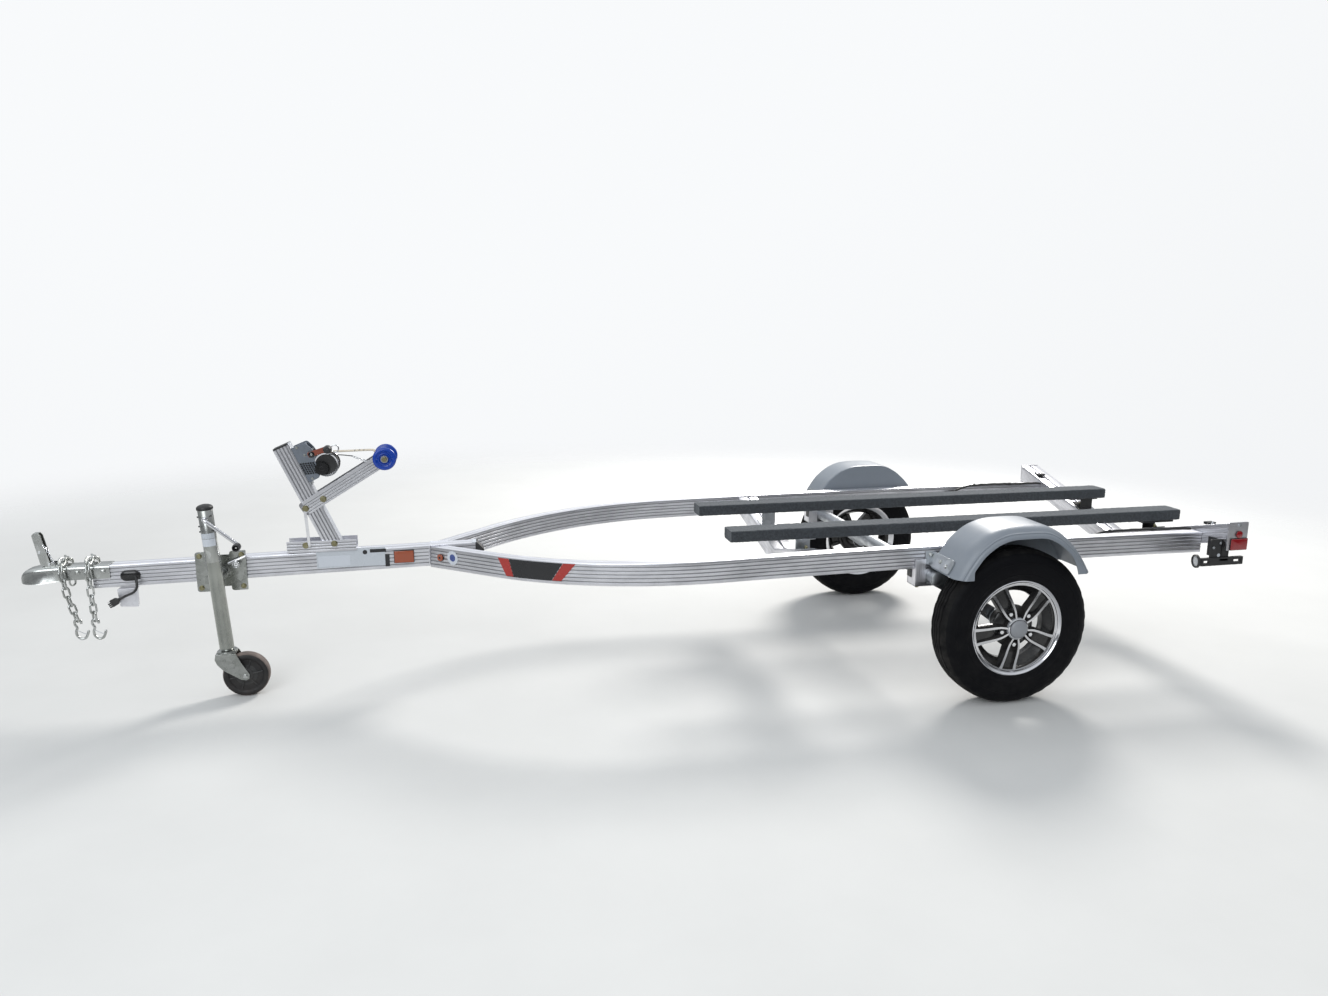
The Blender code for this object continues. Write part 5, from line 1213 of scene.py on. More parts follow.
def build_fender(label, side):
    """Moulded fender: flat-topped crown, rolled shoulder with a bead, skirt with an arched lip."""
    wall = 0.0032
    lip_centre, lip_radius = Vector((-0.004, 0.398)), 0.2025
    rings = []
    for spot in fender_path():
        sink = 0.05 * max(0.0, 1 - (spot.y - 0.445) / 0.045)
        inward = (Vector((0.0, 0.395 + sink)) - spot).normalized()
        offset = spot - lip_centre
        b = offset.dot(inward)
        lip = math.sqrt(max(b * b - (offset.length_squared - lip_radius ** 2), 0.0))
        depth = max(0.038 + 0.02 * sink / 0.05, -b - lip)
        outside = fender_section(depth)
        inside = [(y + (wall if y < 0.56 else 0.0) - (wall if y > 0.715 else 0.0),
                   n + (wall if y < 0.72 else wall * 0.4)) for y, n in outside[1:-1]]
        inside = [(outside[0][0] + wall, outside[0][1])] + inside + [(outside[-1][0] - wall, outside[-1][1])]
        flats = [(spot + inward * n, y) for y, n in outside + inside[::-1]]
        rings.append([(flat.x, side * y, flat.y) for flat, y in flats])
    shape = Shape("fender")
    shape.rings(rings)
    panel = [(p.x, p.y) for p in fender_path() if p.y > 0.47]
    lowered = [(x * 0.985, 0.47 + (z - 0.47) * 0.985) for x, z in panel]
    shape.prism(lowered, *side_span(side, 0.55, 0.553))
    shape.piece(f"moulded_fender_{label}", "trailer", "fender_plastic", f"fender_{label}", smooth=24)


def build_fender_brackets():
    """Plates on the rails, each with a rounded strap that lies on the sloping foot of a fender."""
    places = (
        # end, foot and knee of the fender's slope, reach of the strap, plate's x and z range, bolts (reach, up)
        ("front", (-0.25, 0.445), (-0.226, 0.492), 0.146, (-0.2615, -0.226), (0.45, 0.498),
         ((0.07, 0.002), (0.112, -0.004))), ("rear", (0.254, 0.445), (0.229, 0.488), 0.062, (0.229, 0.264),
                                             (0.446, 0.492), ((0.04, 0.0),)),
    )
    for label, side in SIDES:
        for end, foot, knee, reach, x_range, z_range, bolts in places:
            shape = Shape("galvanised", "olive", "zinc")
            front = end == "front"
            hand = -1 if front else 1
            along = (Vector(knee) - Vector(foot)).normalized()
            outward = Vector((-along.y, along.x)) * -hand

            middle = Vector(foot) + along * (0.03 if front else 0.027) + outward * (0.0032 if front else 0.0023)
            thick = 0.0028 if front else 0.0019
            shape.box(x_range, side_span(side, RAIL_OUTER_Y + GAP, RAIL_OUTER_Y + 0.0043), z_range)
            shape.put_at((middle.x, 0, middle.y), math.atan2(along.x, along.y))
            inner, outer = side * (RAIL_OUTER_Y + 0.001), side * (RAIL_OUTER_Y + reach)
            half = 0.0255 if front else 0.019
            corners = rectangle(inner, outer, -half, half)
            shape.prism(rounded(corners, [0.003, 0.015, 0.015, 0.003]), -thick, thick, "X")
            for far, up in bolts:
                shape.bolt((hand * thick, side * (RAIL_OUTER_Y + far), up), (hand, 0, 0), 0.0072, head="zinc")
            shape.put_at()
            shape.bolt(((x_range[0] + x_range[1]) / 2, side * (RAIL_OUTER_Y + 0.0043), z_range[1] - 0.012),
                       (0, side, 0), 0.0066, head="zinc")
            shape.piece(f"fender_strap_{end}_{label}", "trailer", "galvanised_steel", f"fender_bracket_{end}_{label}",
                        edges=0.0008)


# Coupler and chains

def build_coupler():
    """Pressed coupler: a channel that swells into the ball socket, with turned-out lower edges."""
    stations = (
        # x, half width, top, bottom, how far the lower edge turns out
        (-2.985, 0.0312, 0.4703, 0.4232, 0.0), (-3.02, 0.0313, 0.4704, 0.4232, 0.0),
        (-3.1, 0.0313, 0.4704, 0.4232, 0.0), (-3.135, 0.0318, 0.4704, 0.4225, 0.001),
        (-3.17, 0.0336, 0.4698, 0.4182, 0.0018), (-3.186, 0.0352, 0.4694, 0.4165, 0.002),
        (-3.2, 0.036, 0.4688, 0.4152, 0.001), (-3.217, 0.0348, 0.4668, 0.4152, 0.001),
        (-3.232, 0.0318, 0.4638, 0.4152, 0.001), (-3.243, 0.027, 0.459, 0.4156, 0.001),
        (-3.252, 0.0205, 0.4518, 0.4161, 0.001), (-3.258, 0.0135, 0.444, 0.4166, 0.0005),
        (-3.2622, 0.006, 0.435, 0.4172, 0.0),
    )
    wall = 0.0032

    def ring(x, half, top, bottom, out, inset):
        width, high = half - inset, top - inset
        corner = min(0.011, width * 0.6)
        right = [(width + out, bottom), (width, bottom + 0.003)]
        right += arc((width - corner, high - corner), corner, 0, 90, 6)
        return [(x, y, z) for y, z in right + [(-a, b) for a, b in reversed(right)]]

    shape = Shape("zinc", "olive", "chrome")
    hollow = [s for s in stations if s[0] > -3.245]
    outer = [ring(*s, 0.0) for s in stations]
    inner = [ring(*s[:4], 0.0, wall) for s in hollow]
    skins = [[[shape.vert(p) for p in points] for points in skin] for skin in (outer, inner)]
    for skin in skins:
        for first, second in zip(skin, skin[1:]):
            for index in range(len(first) - 1):
                shape.face((first[index], first[index + 1], second[index + 1], second[index]))
    for index in range(len(skins[0][0]) - 1):
        shape.face((skins[0][0][index], skins[0][0][index + 1], skins[1][0][index + 1], skins[1][0][index]))
    for index in (0, -1):
        for first, second in zip(range(len(hollow) - 1), range(1, len(hollow))):
            shape.face((skins[0][first][index], skins[0][second][index], skins[1][second][index],
                        skins[1][first][index]))
    shape.face(skins[0][-1])
    shape.face(skins[1][-1])
    ball = [(0.0245, -0.006), (0.0265, -0.006), (0.0268, 0.012), (0.02, 0.029), (0.008, 0.036), (0.0, 0.037),
            (0.0, 0.034), (0.0185, 0.026), (0.0245, 0.01)]
    shape.put_at((-3.208, 0, 0.425)).turned(ball, 36, "Z")
    shape.put_at()
    for x in (-3.083, -3.005):
        for side in (LEFT, RIGHT):
            shape.bolt((x, side * 0.0313, 0.4475), (0, side, 0), 0.0078, head="zinc", reach=0.008 if side > 0 else 0.0)
    ear = rounded([(-3.186, 0.47), (-3.15, 0.47), (-3.156, 0.482), (-3.18, 0.482)], 0.003)
    shape.use("zinc").prism(ear, -0.016, -0.0128).prism(ear, 0.0128, 0.016)
    shape.put_at((-3.17, 0, 0.4775)).use("chrome").rod(0.0035, -0.019, 0.019, 12)
    shape.put_at()
    shape.piece("pressed_coupler", "trailer", "zinc_plate", "coupler", smooth=40)


def build_latch():
    """Folded lever of the coupler's latch, and the small chain that keeps its pin."""
    shape = Shape("zinc", "chrome")
    outline = [(-3.197, 0.4728), (-3.2145, 0.577), (-3.208, 0.5838), (-3.194, 0.5838), (-3.188, 0.576),
               (-3.168, 0.4728)]
    for side in (LEFT, RIGHT):
        shape.prism(rounded(outline, [0.001, 0.003, 0.003, 0.003, 0.004, 0.002], 3), *side_span(side, 0.0092, 0.012))
    spine = [(-3.197, 0.4728), (-3.2145, 0.577), (-3.208, 0.5838), (-3.194, 0.5838), (-3.195, 0.5808),
             (-3.2065, 0.5808), (-3.2115, 0.5765), (-3.1942, 0.4728)]
    shape.prism(spine, -0.01, 0.01)
    shape.put_at((-3.197, -0.0121, 0.518)).use("chrome").rod(0.0042, -0.002, 0.0, 14)
    shape.put_at()
    route = curved([(-3.184, -0.015, 0.546), (-3.17, -0.019, 0.527), (-3.16, -0.023, 0.503), (-3.15, -0.025, 0.4785)],
                   0.003)
    small_links(shape.use("chrome"), route, 0.0075, 0.001, 0.0028)
    shape.piece("latch_lever", "trailer", "zinc_plate", "coupler_latch", edges=0.0004)


def small_links(shape, route, pitch, wire, width):
    """A chain of small open links along a route."""
    length = 0.0
    spots = [route[0]]
    for here, after in zip(route, route[1:]):
        length += (after - here).length
        if length >= pitch * len(spots):
            spots.append(after)
    for index, (here, after) in enumerate(zip(spots, spots[1:])):
        add_link(shape, (here + after) / 2, (after - here).normalized(), index, pitch / 2 + wire, width, wire, 6, 3)


def add_link(shape, centre, along, index, half, width, wire, sides, bends):
    """One closed link; each one is turned a quarter from the one before it."""
    outward = Vector((1, 0, 0)).cross(along)
    if outward.length < 0.2:
        outward = Vector((0, 1, 0)).cross(along)
    outward.normalize()
    third = along.cross(outward)
    across = (third + outward * (1 if index % 2 else -1)).normalized()
    ends = arc((half - width, 0), width, -90, 90, bends * 2) + arc((width - half, 0), width, 90, 270, bends * 2)
    shape.tube([centre + along * a + across * b for a, b in ends], wire, sides, closed=True)


LINK_PITCH, LINK_COUNT, LINK_WIRE, LINK_HALF, LINK_WIDTH = 0.0285, 13, 0.0034, 0.0176, 0.0096


def build_chains():
    """Safety chains over the coupler: steel links with a hook at the hanging end."""
    chains = (
        # name, x over the coupler, how far the hanging end leans to the rear
        ("left", -3.128, 0.033),
        ("right", -3.046, 0.006),
    )
    for label, x, lean in chains:
        route = [(x, 0.046, 0.388), (x, 0.046, 0.445), (x, 0.043, 0.4725), (x, 0.03, 0.485), (x, 0.0, 0.487),
                 (x, -0.03, 0.485), (x, -0.043, 0.4725), (x + lean * 0.1, -0.046, 0.445),
                 (x + lean * 0.4, -0.047, 0.37), (x + lean, -0.048, 0.29), (x + lean * 1.1, -0.048, 0.215)]
        path = curved(route, 0.002)
        spots = [path[min(round(LINK_PITCH * (index + 0.5) / 0.002), len(path) - 3)] for index in range(LINK_COUNT)]
        shape = Shape("zinc", "chrome")
        for index, spot in enumerate(spots):
            before, after = spots[max(index - 1, 0)], spots[min(index + 1, LINK_COUNT - 1)]
            add_link(shape, spot, (after - before).normalized(), index, LINK_HALF, LINK_WIDTH, LINK_WIRE, 10, 6)
        end = spots[-1] + (spots[-1] - spots[-2]).normalized() * 0.015
        bend = [(0.0085, -0.008), (0.0075, 0.001), (0.0, 0.0055), (-0.0075, 0.001), (-0.0085, -0.009), (-0.0035, -0.02),
                (-0.0068, -0.032), (-0.005, -0.045), (0.005, -0.0545), (0.0165, -0.052), (0.0235, -0.039),
                (0.026, -0.029)]
        wire = curved([end + Vector((a, 0, b)) * 1.15 for a, b in bend], 0.003)
        sizes = [0.0042] * (len(wire) - 2) + [0.0036, 0.0022]
        shape.tube(wire, sizes, 12)
        gate = ((0.0215, -0.041), (0.012, -0.036), (0.001, -0.03), (-0.0042, -0.027))
        mouth = [end + Vector((a, -0.003, b)) * 1.15 for a, b in gate]
        shape.use("chrome").tube(mouth, 0.0013, 6)
        shape.piece(f"linked_chain_{label}", "trailer", "zinc_plate", f"safety_chain_{label}", smooth=60)


def build_plug_plate():
    side = -TONGUE_WIDTH / 2
    shape = Shape("sawn", "olive", "lip")
    outline = rounded([(-2.969, 0.3833), (-2.903, 0.3833), (-2.906, 0.318), (-2.964, 0.322)],
                      [0.001, 0.001, 0.005, 0.005])
    shape.prism(outline, side - 0.0019, side - 0.0001)
    shape.box((-2.965, -2.906), (side - 0.0018, side + 0.029), (0.3818, 0.3838))
    shape.use("lip").box((-2.908, -2.906), (side - 0.002, side + 0.01), (0.324, 0.382))
    shape.bolt((-2.938, side + 0.014, 0.3818), (0, 0, -1), 0.0055)
    shape.piece("plug_park", "trailer", "mill_aluminium", "plug_plate", edges=0.0004)


# Licence plate bracket

def build_licence_bracket():
    front = REAR_CROSS_X - CROSS_WIDTH / 2 - 0.0003
    y = -REAR_CROSS_HALF + 0.05
    top = REAR_CROSS_TOP + REAR_CROSS_RISE * abs(y) - 0.022
    shape = Shape("black_plastic", "galvanised", "clear_lens", "silver_film")
    shape.box((front - 0.0038, front), (y - 0.0355, y + 0.03), (top - 0.1, top - 0.03))
    plate = rounded([(front - 0.044, top - 0.104), (front + 0.03, top - 0.104), (front + 0.03, top - 0.026),
                     (front - 0.05, top - 0.026), (front - 0.05, top - 0.088)], [0.004, 0.002, 0.004, 0.004, 0.004])
    shape.prism(plate, y - 0.0355, y - 0.0325)
    for a, b in ((-0.01, -0.04), (-0.037, -0.056), (0.017, -0.055)):
        shape.bolt((front + a, y - 0.0355, top + b), (0, -1, 0), 0.0056, head="galvanised", washer=False)
    shape.use("silver_film").put_at((front - 0.012, y - 0.0357, top - 0.085))
    shape.rod(0.0065, -0.0004, 0.0002, 20)
    shape.put_at().use("black_plastic").box((front - 0.01, front + 0.026), (y - 0.04, y - 0.03),
                                            (top - 0.106, top - 0.098))
    slotted_bar(shape, front, y, top + 0.008)
    shape.box((front - 0.104, front - 0.08), (y - 0.037, y - 0.03), (top - 0.111, top - 0.103))
    shape.put_at((front - 0.108, y - 0.034, top - 0.102), math.radians(-11), "Z")
    shape.turned([(0.0195, 0.0), (0.0235, 0.0), (0.0245, 0.003), (0.0245, 0.008), (0.0225, 0.008), (0.0225, 0.006),
                  (0.0195, 0.004)], 40, "X")
    shape.use("clear_lens").turned([(0.0, 0.0035), (0.012, 0.003), (0.02, 0.0045), (0.02, 0.0085), (0.0, 0.0085)], 36,
                                   "X")
    shape.put_at()
    shape.piece("plate_holder", "trailer", "black_plastic", "licence_bracket", edges=0.0005)


def slotted_bar(shape, front, y, top):
    """Bar with a slot near each end, as one skin of an outline with two holes."""
    x0, x1, z0, z1 = front - 0.0845, front + 0.09, top - 0.1298, top - 0.1012
    slots = [(front - 0.075, front - 0.05), (front + 0.05, front + 0.081)]
    low, high = top - 0.1205, top - 0.1105
    cuts = sorted([x0, x1] + [x for slot in slots for x in slot])
    for a, b in zip(cuts, cuts[1:]):
        if (a, b) in slots:
            shape.box((a, b), (y - 0.04, y - 0.0282), (z0, low))
            shape.box((a, b), (y - 0.04, y - 0.0282), (high, z1))
        else:
            shape.box((a, b), (y - 0.04, y - 0.0282), (z0, z1))


# Jack

JACK_Y = -0.122
JACK_PIVOT = Vector((-2.634, JACK_Y, 0.425))
JACK_LEAN = math.radians(3.6)
JACK_TOP, JACK_BOTTOM, JACK_RADIUS = 0.24, -0.2434, 0.0235
JACK_FRAME = Matrix.Translation(JACK_PIVOT) @ Matrix.Rotation(-JACK_LEAN, 4, "Y")
JACK_WHEEL_SPOT = Vector((-2.562, JACK_Y, 0.08514))
JACK_BOLTS = ((-2.702, 0.484), (-2.702, 0.372), (-2.567, 0.484), (-2.567, 0.372))


def build_jack_mount():
    """Plates bolted to the side of the tongue, and the ring that the jack swings on."""
    face = -TONGUE_WIDTH / 2
    shape = Shape("zinc_green", "zinc", "olive", "chrome", "black_plastic", "lip")
    for x0, x1 in ((-2.716, -2.668), (-2.606, -2.553)):
        outline = rounded(rectangle(x0, x1, 0.358, 0.498), [0.01, 0.003, 0.003, 0.01])
        shape.use("zinc_green").prism(outline, face - 0.0058, face - 0.0004)
    shape.prism(rounded(rectangle(-2.672, -2.6, 0.374, 0.486), 0.004), face - 0.005, face - 0.0006)
    ring = [(0.0, -0.028), (0.0215, -0.028), (0.023, -0.0268), (0.023, -0.01), (0.0295, -0.0095), (0.0295, -0.004),
            (0.0, -0.004)]
    shape.put_at((JACK_PIVOT.x, face, JACK_PIVOT.z)).turned(ring, 48)
    for index in range(8):
        angle = math.tau * index / 8 + 0.3
        shape.put_at((JACK_PIVOT.x + 0.0262 * math.cos(angle), face, JACK_PIVOT.z + 0.0262 * math.sin(angle)))
        shape.use("black_plastic").rod(0.0017, -0.0099, -0.009, 10)
    shape.put_at()
    for x, z in JACK_BOLTS:
        shape.bolt((x, face - 0.0058, z), (0, -1, 0), 0.0088)
    pin_x, pin_z = JACK_PIVOT.x + 0.052, JACK_PIVOT.z + 0.03
    shape.put_at((pin_x, face, pin_z)).use("zinc").turned(
        [(0, -0.024), (0.0045, -0.024), (0.0045, -0.014), (0.0075, -0.013), (0.0075, -0.004), (0, -0.004)], 20)
    shape.use("chrome").turned(rectangle(0.003, 0.0075, -0.0275, -0.024), 24)
    shape.put_at((pin_x, face - 0.031, pin_z)).tube(
        [(0.0105 * math.cos(a), 0.0, 0.0105 * math.sin(a)) for a in around(24)], 0.0014, 8, closed=True)
    shape.put_at()
    lever = curved([(pin_x - 0.026, face - 0.02, pin_z + 0.002), (pin_x - 0.004, face - 0.0215, pin_z + 0.012),
                    (pin_x + 0.026, face - 0.019, pin_z + 0.024), (pin_x + 0.034, face - 0.017, pin_z + 0.0265)], 0.004)
    shape.use("lip").tube(lever, 0.0048, 14, flat=0.72)
    shape.piece("jack_bracket", "trailer", "zinc_plate", "jack_mount", edges=0.0006)


def build_jack_tube():
    """Outer tube with its upper sleeve, pin holes and blank label, and the stub that fits the mount's ring."""
    shape = Shape("drawn_zinc", "zinc", "black_plastic", "white_film", "silver_film", "olive", grain=(0, 0, 1))
    shape.place = JACK_FRAME.copy()
    r, wall = JACK_RADIUS, 0.003
    tube = [(r - 0.0012, JACK_BOTTOM), (r - 0.0002, JACK_BOTTOM + 0.001), (r - 0.0006, 0.062), (r - 0.0001, 0.0635),
            (r - 0.0001, JACK_TOP - 0.002), (r - 0.0016, JACK_TOP), (0.0, JACK_TOP), (0.0, JACK_TOP - wall),
            (r - wall, JACK_TOP - wall), (r - wall, JACK_BOTTOM)]
    paints = ["drawn_zinc"] * 2 + ["zinc"] * 6 + ["drawn_zinc"] * 2
    shape.turned(tube, 64, "Z", paints)
    shape.use("zinc")
    outside = -TONGUE_WIDTH / 2 - 0.0312 - JACK_Y
    shape.turned([(0, r - 0.003), (0.018, r - 0.003), (0.0215, outside - 0.008), (0.0222, outside - 0.006),
                  (0.0222, outside), (0, outside)], 40)
    for z in (JACK_TOP - 0.02, JACK_TOP - 0.052, JACK_TOP - 0.07):
        for side in (LEFT, RIGHT):
            spot = Matrix.Translation((side * 0.0105, 0, z))
            shape.place = JACK_FRAME @ spot @ Matrix.Rotation(side * math.radians(26.5), 4, "Z")
            shape.use("black_plastic").rod(0.0028, -r + 0.0012, -r + 0.0001, 14)
    shape.place = JACK_FRAME.copy()
    for paint, low, high in (("silver_film", JACK_TOP - 0.096, JACK_TOP - 0.078),
                             ("white_film", JACK_TOP - 0.122, JACK_TOP - 0.0975)):
        wrap_label(shape.use(paint), r, low, high, -150, -32)
    shape.piece("jack_outer_tube", "jack", "zinc_plate", "jack_tube", smooth=40)
    cap = Shape("black_plastic")
    cap.place = JACK_FRAME @ Matrix.Translation((0, 0, JACK_TOP + 0.0003))
    cap.turned([(0, 0), (0.0255, 0), (0.026, 0.0006), (0.026, 0.0068), (0.0248, 0.009), (0.0215, 0.0125),
                (0.015, 0.0155), (0.007, 0.0174), (0, 0.0178)], 48, "Z")
    cap.piece("jack_top_cap", "jack", "black_plastic", "jack_cap", smooth=30)
    leg = Shape("zinc", "drawn_zinc", grain=(0, 0, 1))
    leg.place = JACK_FRAME.copy()
    low, high = JACK_BOTTOM - 0.006, JACK_TOP - 0.04
    leg.turned([(0.0186, low), (0.0188, low + 0.0004), (0.0188, high - 0.001), (0.018, high), (0.0, high),
                (0.0, high - 0.004), (0.0162, high - 0.004), (0.0162, low + 0.004), (0.0, low + 0.004), (0.0, low)], 48,
                "Z")
    leg.piece("jack_inner_leg", "leg", "zinc_plate", "jack_leg", smooth=40)


def wrap_label(shape, radius, low, high, start, end):
    """A film wrapped part of the way round a tube along the local Z axis."""
    steps = 24
    rings = []
    for index in range(steps + 1):
        angle = math.radians(start + (end - start) * index / steps)
        rings.append([(r * math.cos(angle), r * math.sin(angle), z)
                      for r, z in ((radius - 0.0004, low), (radius + 0.0003, low), (radius + 0.0003, high),
                                   (radius - 0.0004, high))])
    shape.rings(rings)


def build_jack_crank():
    front, z = -JACK_RADIUS - 0.0003, JACK_TOP - 0.03
    shape = Shape("lip", "chrome")
    shape.place = JACK_FRAME.copy()
    spots = ((0, -0.0002, 0), (0, -0.007, 0), (0.0012, -0.0115, -0.0008), (0.006, -0.014, -0.005),
             (0.046, -0.014, -0.045), (0.086, -0.014, -0.085), (0.0925, -0.0165, -0.0922), (0.094, -0.022, -0.094))
    route = curved([(a, front + b, z + c) for a, b, c in spots], 0.004)
    shape.tube(route, 0.0062, 16)
    shape.place = JACK_FRAME @ Matrix.Translation((0, front, z))
    shape.use("chrome").turned(rectangle(0.0055, 0.0092, -0.0002, -0.0022), 28)
    shape.piece("jack_handle", "jack", "zinc_plate", "jack_crank", smooth=45)
    knob = Shape("black_plastic", "zinc", "black_gloss")
    knob.place = JACK_FRAME @ Matrix.Translation((0.094, front - 0.0225, z - 0.094))
    outline = [(0.0052, 0.0), (0.0098, 0.0), (0.0112, -0.004), (0.0128, -0.0105), (0.013, -0.025), (0.0124, -0.033),
               (0.0112, -0.0375), (0.0092, -0.0378), (0.0078, -0.035), (0.007, -0.012), (0.0052, -0.01)]
    knob.turned(outline, 40)
    knob.use("zinc").turned([(0.0, -0.0005), (0.004, -0.0005), (0.004, -0.028), (0.003, -0.0295), (0.0, -0.0298)], 20)
    knob.piece("jack_handle_knob", "jack", "black_plastic", "jack_crank_knob", smooth=40)


def build_caster():
    """Formed fork with rounded cheeks round the swivel, and its rubber wheel."""
    foot = JACK_FRAME @ Vector((0, 0, JACK_BOTTOM - 0.0063))
    shape = Shape("zinc_green", "zinc", "olive", "chrome")
    shape.place = Matrix.Translation(foot) @ Matrix.Rotation(-JACK_LEAN, 4, "Y")
    shape.turned([(0, -0.0004), (0.029, -0.0004), (0.0322, -0.0014), (0.033, -0.0032), (0.0328, -0.008),
                  (0.03, -0.0098), (0, -0.0098)], 48, "Z")
    axle = JACK_WHEEL_SPOT - foot
    cheek = [(-0.033, -0.0085), (0.031, -0.0085), (0.0455, -0.04), (axle.x + 0.0138, axle.z + 0.006),
             (axle.x + 0.0118, axle.z - 0.0098), (axle.x + 0.002, axle.z - 0.0148), (axle.x - 0.0138, axle.z - 0.0118),
             (-0.012, -0.0655), (-0.0298, -0.044), (-0.0366, -0.026)]
    outline = rounded(cheek, [0.004, 0.006, 0.02, 0.006, 0.006, 0.005, 0.006, 0.02, 0.014, 0.008], 5)
    shape.place = Matrix.Translation(foot)
    inside = 0.026
    for side in (LEFT, RIGHT):
        shape.prism(outline, *side_span(side, inside, inside + 0.0038))
        shape.bolt((axle.x, side * (inside + 0.0038), axle.z), (0, side, 0), 0.0075, head="zinc")
    shape.prism(rectangle(-0.0335, 0.029, -0.0135, -0.0075), -0.0297, 0.0297)
    shape.piece("fork_cheeks", "caster", "zinc_plate", "caster_fork", edges=0.0016, segments=3)
    wheel = Shape("wheel_rubber", "worn_rubber", "black_plastic", "zinc").put_at(JACK_WHEEL_SPOT)
    r, half = 0.0755, 0.022
    side = [(r, 0.0), (r, 0.0105), (r - 0.0008, 0.015), (r - 0.0034, 0.0186), (r - 0.0085, 0.0206), (r - 0.014, 0.021),
            (r - 0.0185, 0.019), (r - 0.0215, 0.0152), (0.036, 0.0142), (0.03, 0.0146), (0.025, 0.016),
            (0.0215, 0.0205), (0.018, 0.0218), (0.0105, 0.0218)]
    outline = [(a, b) for a, b in side] + [(a, -b) for a, b in reversed(side[1:])]
    last = len(outline) - 1
    paints = ["worn_rubber" if min(i, last - i) < 3 else "wheel_rubber" if min(i, last - i) < 8 else "black_plastic"
              for i in range(last + 1)]
    wheel.turned(outline, 72, "Y", paints)
    wheel.use("zinc").rod(0.0105, -half, half, 24)
    for angle in around(6):
        a, b = math.cos(angle + 0.2), math.sin(angle + 0.2)
        for hand in (-1, 1):
            rib = [(reach * a, hand * y, reach * b) for reach, y in ((0.0235, 0.0168), (0.0545, 0.0152))]
            wheel.use("black_plastic").tube(rib, 0.0024, 8)
    wheel.piece("jack_rubber_wheel", "caster_wheel", "tyre_rubber", "jack_wheel", smooth=35)


# Winch stand

WINCH_HALF, POST_HALF, POST_DEPTH = 0.0335, 0.0285, 0.057
POST_FOOT_X, POST_TOP = -2.256, Vector((-2.4155, 0, 0.854))
STAND_SEAT = tongue_top(-2.3) + 0.0022
STAND_FLOOR = STAND_SEAT + 0.0053
POST_LEAN = math.atan((POST_TOP.x - POST_FOOT_X) / (POST_TOP.z - STAND_FLOOR))
POST_FRAME = Matrix.Translation(POST_TOP) @ Matrix.Rotation(POST_LEAN, 4, "Y")
POST_FACE = POST_DEPTH / 2 + 0.0003
ROLLER_SPOT = Vector((-2.074, 0, 0.803))
ARM_FRAME = Matrix.Translation(ROLLER_SPOT) @ Matrix.Rotation(-math.radians(31.4), 4, "Y")


def build_winch_post():
    """Ribbed post with a pressed end cap, standing in the channel on the tongue."""
    section = [(a, b + POST_DEPTH / 2) for a, b in beam_section(2 * POST_HALF, POST_DEPTH, 4, 0.0014, 0.002, 2)]
    across = Vector((math.cos(POST_LEAN), 0, -math.sin(POST_LEAN)))
    foot = Vector((POST_FOOT_X, 0, STAND_FLOOR))
    along = (POST_TOP - foot).normalized()
    shape = Shape("mill", "groove", "black_plastic", "white_film", "olive")
    low = [foot + Vector((0, a, 0)) + across * b for a, b in section]
    low = [spot + along * ((STAND_FLOOR + 0.0002 - spot.z) / along.z) for spot in low]
    high = [POST_TOP - along * 0.0058 + Vector((0, a, 0)) + across * b for a, b in section]
    # Painted shade on the groove bottoms, and a white finish on the rear face as a painted highlight.
    rings = shape.rings([low, high], paints=shape.grooved(section, 0.0014, "white_film"))
    shape.mark_sweep(rings, section, [foot, POST_TOP])
    shape.place = POST_FRAME.copy()
    end = rounded(rectangle(-0.0278, 0.0278, -0.0278, 0.0278), 0.003)
    shape.use("black_plastic").prism(end, -0.006, -0.004, "Z")
    shape.prism(end, -0.004, 0.0, "Z")
    # A white strip along the rear edge of the end cap: painted highlight.
    shape.use("white_film").prism(rounded(rectangle(0.0262, 0.0284, -0.0284, 0.0284), 0.0004), -0.0062, -0.0001, "Z")
    shape.piece("ribbed_post", "trailer", "mill_aluminium", "winch_post")


def build_winch_base():
    """Channel with ribbed sides that holds the foot of the post."""
    outer, inner, height, floor = WINCH_HALF, POST_HALF + 0.0003, 0.04, 0.005
    side = []
    for middle in (0.01, 0.02, 0.03):
        side += [(outer, middle - 0.0026), (outer - 0.0012, middle - 0.0014), (outer - 0.0012, middle + 0.0014),
                 (outer, middle + 0.0026)]
    right = [(outer - 0.001, 0.0), (outer, 0.001)] + side
    right += [(outer, height - 0.001), (outer - 0.0008, height), (inner + 0.0002, height),
              (inner + 0.0002, floor - 0.0002)]
    section = right + [(-a, b) for a, b in reversed(right)]
    shape = Shape("mill", "groove", "olive", "zinc")
    frames = [((x, 0, STAND_SEAT), (0, 1, 0), (0, 0, 1)) for x in (-2.4178, -2.1862)]
    # The sunk faces between the side ribs take the darker groove finish: painted shade.
    sunk = [abs(abs(a) - outer + 0.0012) < 0.0001 for a, b in section]
    shape.sweep(section, frames, ["groove" if sunk[i] and sunk[(i + 1) % len(sunk)] else "mill"
                                  for i in range(len(sunk))])
    for x, z in ((-2.3547, 0.0255), (-2.2594, 0.028)):
        for hand in (LEFT, RIGHT):
            shape.bolt((x, hand * outer, STAND_SEAT + z), (0, hand, 0), 0.0104)
    shape.piece("stand_channel", "trailer", "mill_aluminium", "winch_base", edges=0.0004)
    brace = Shape("lip", "olive", grain=(0, 0, 1))
    low = -WINCH_HALF - 0.0044
    outline = rounded([(-2.347, 0.5), (-2.337, 0.5), (-2.344, 0.6395), (-2.354, 0.6395)], 0.004)
    brace.prism(outline, low, -WINCH_HALF - 0.0006)
    brace.piece("flat_brace", "trailer", "zinc_plate", "winch_brace", edges=0.0005)


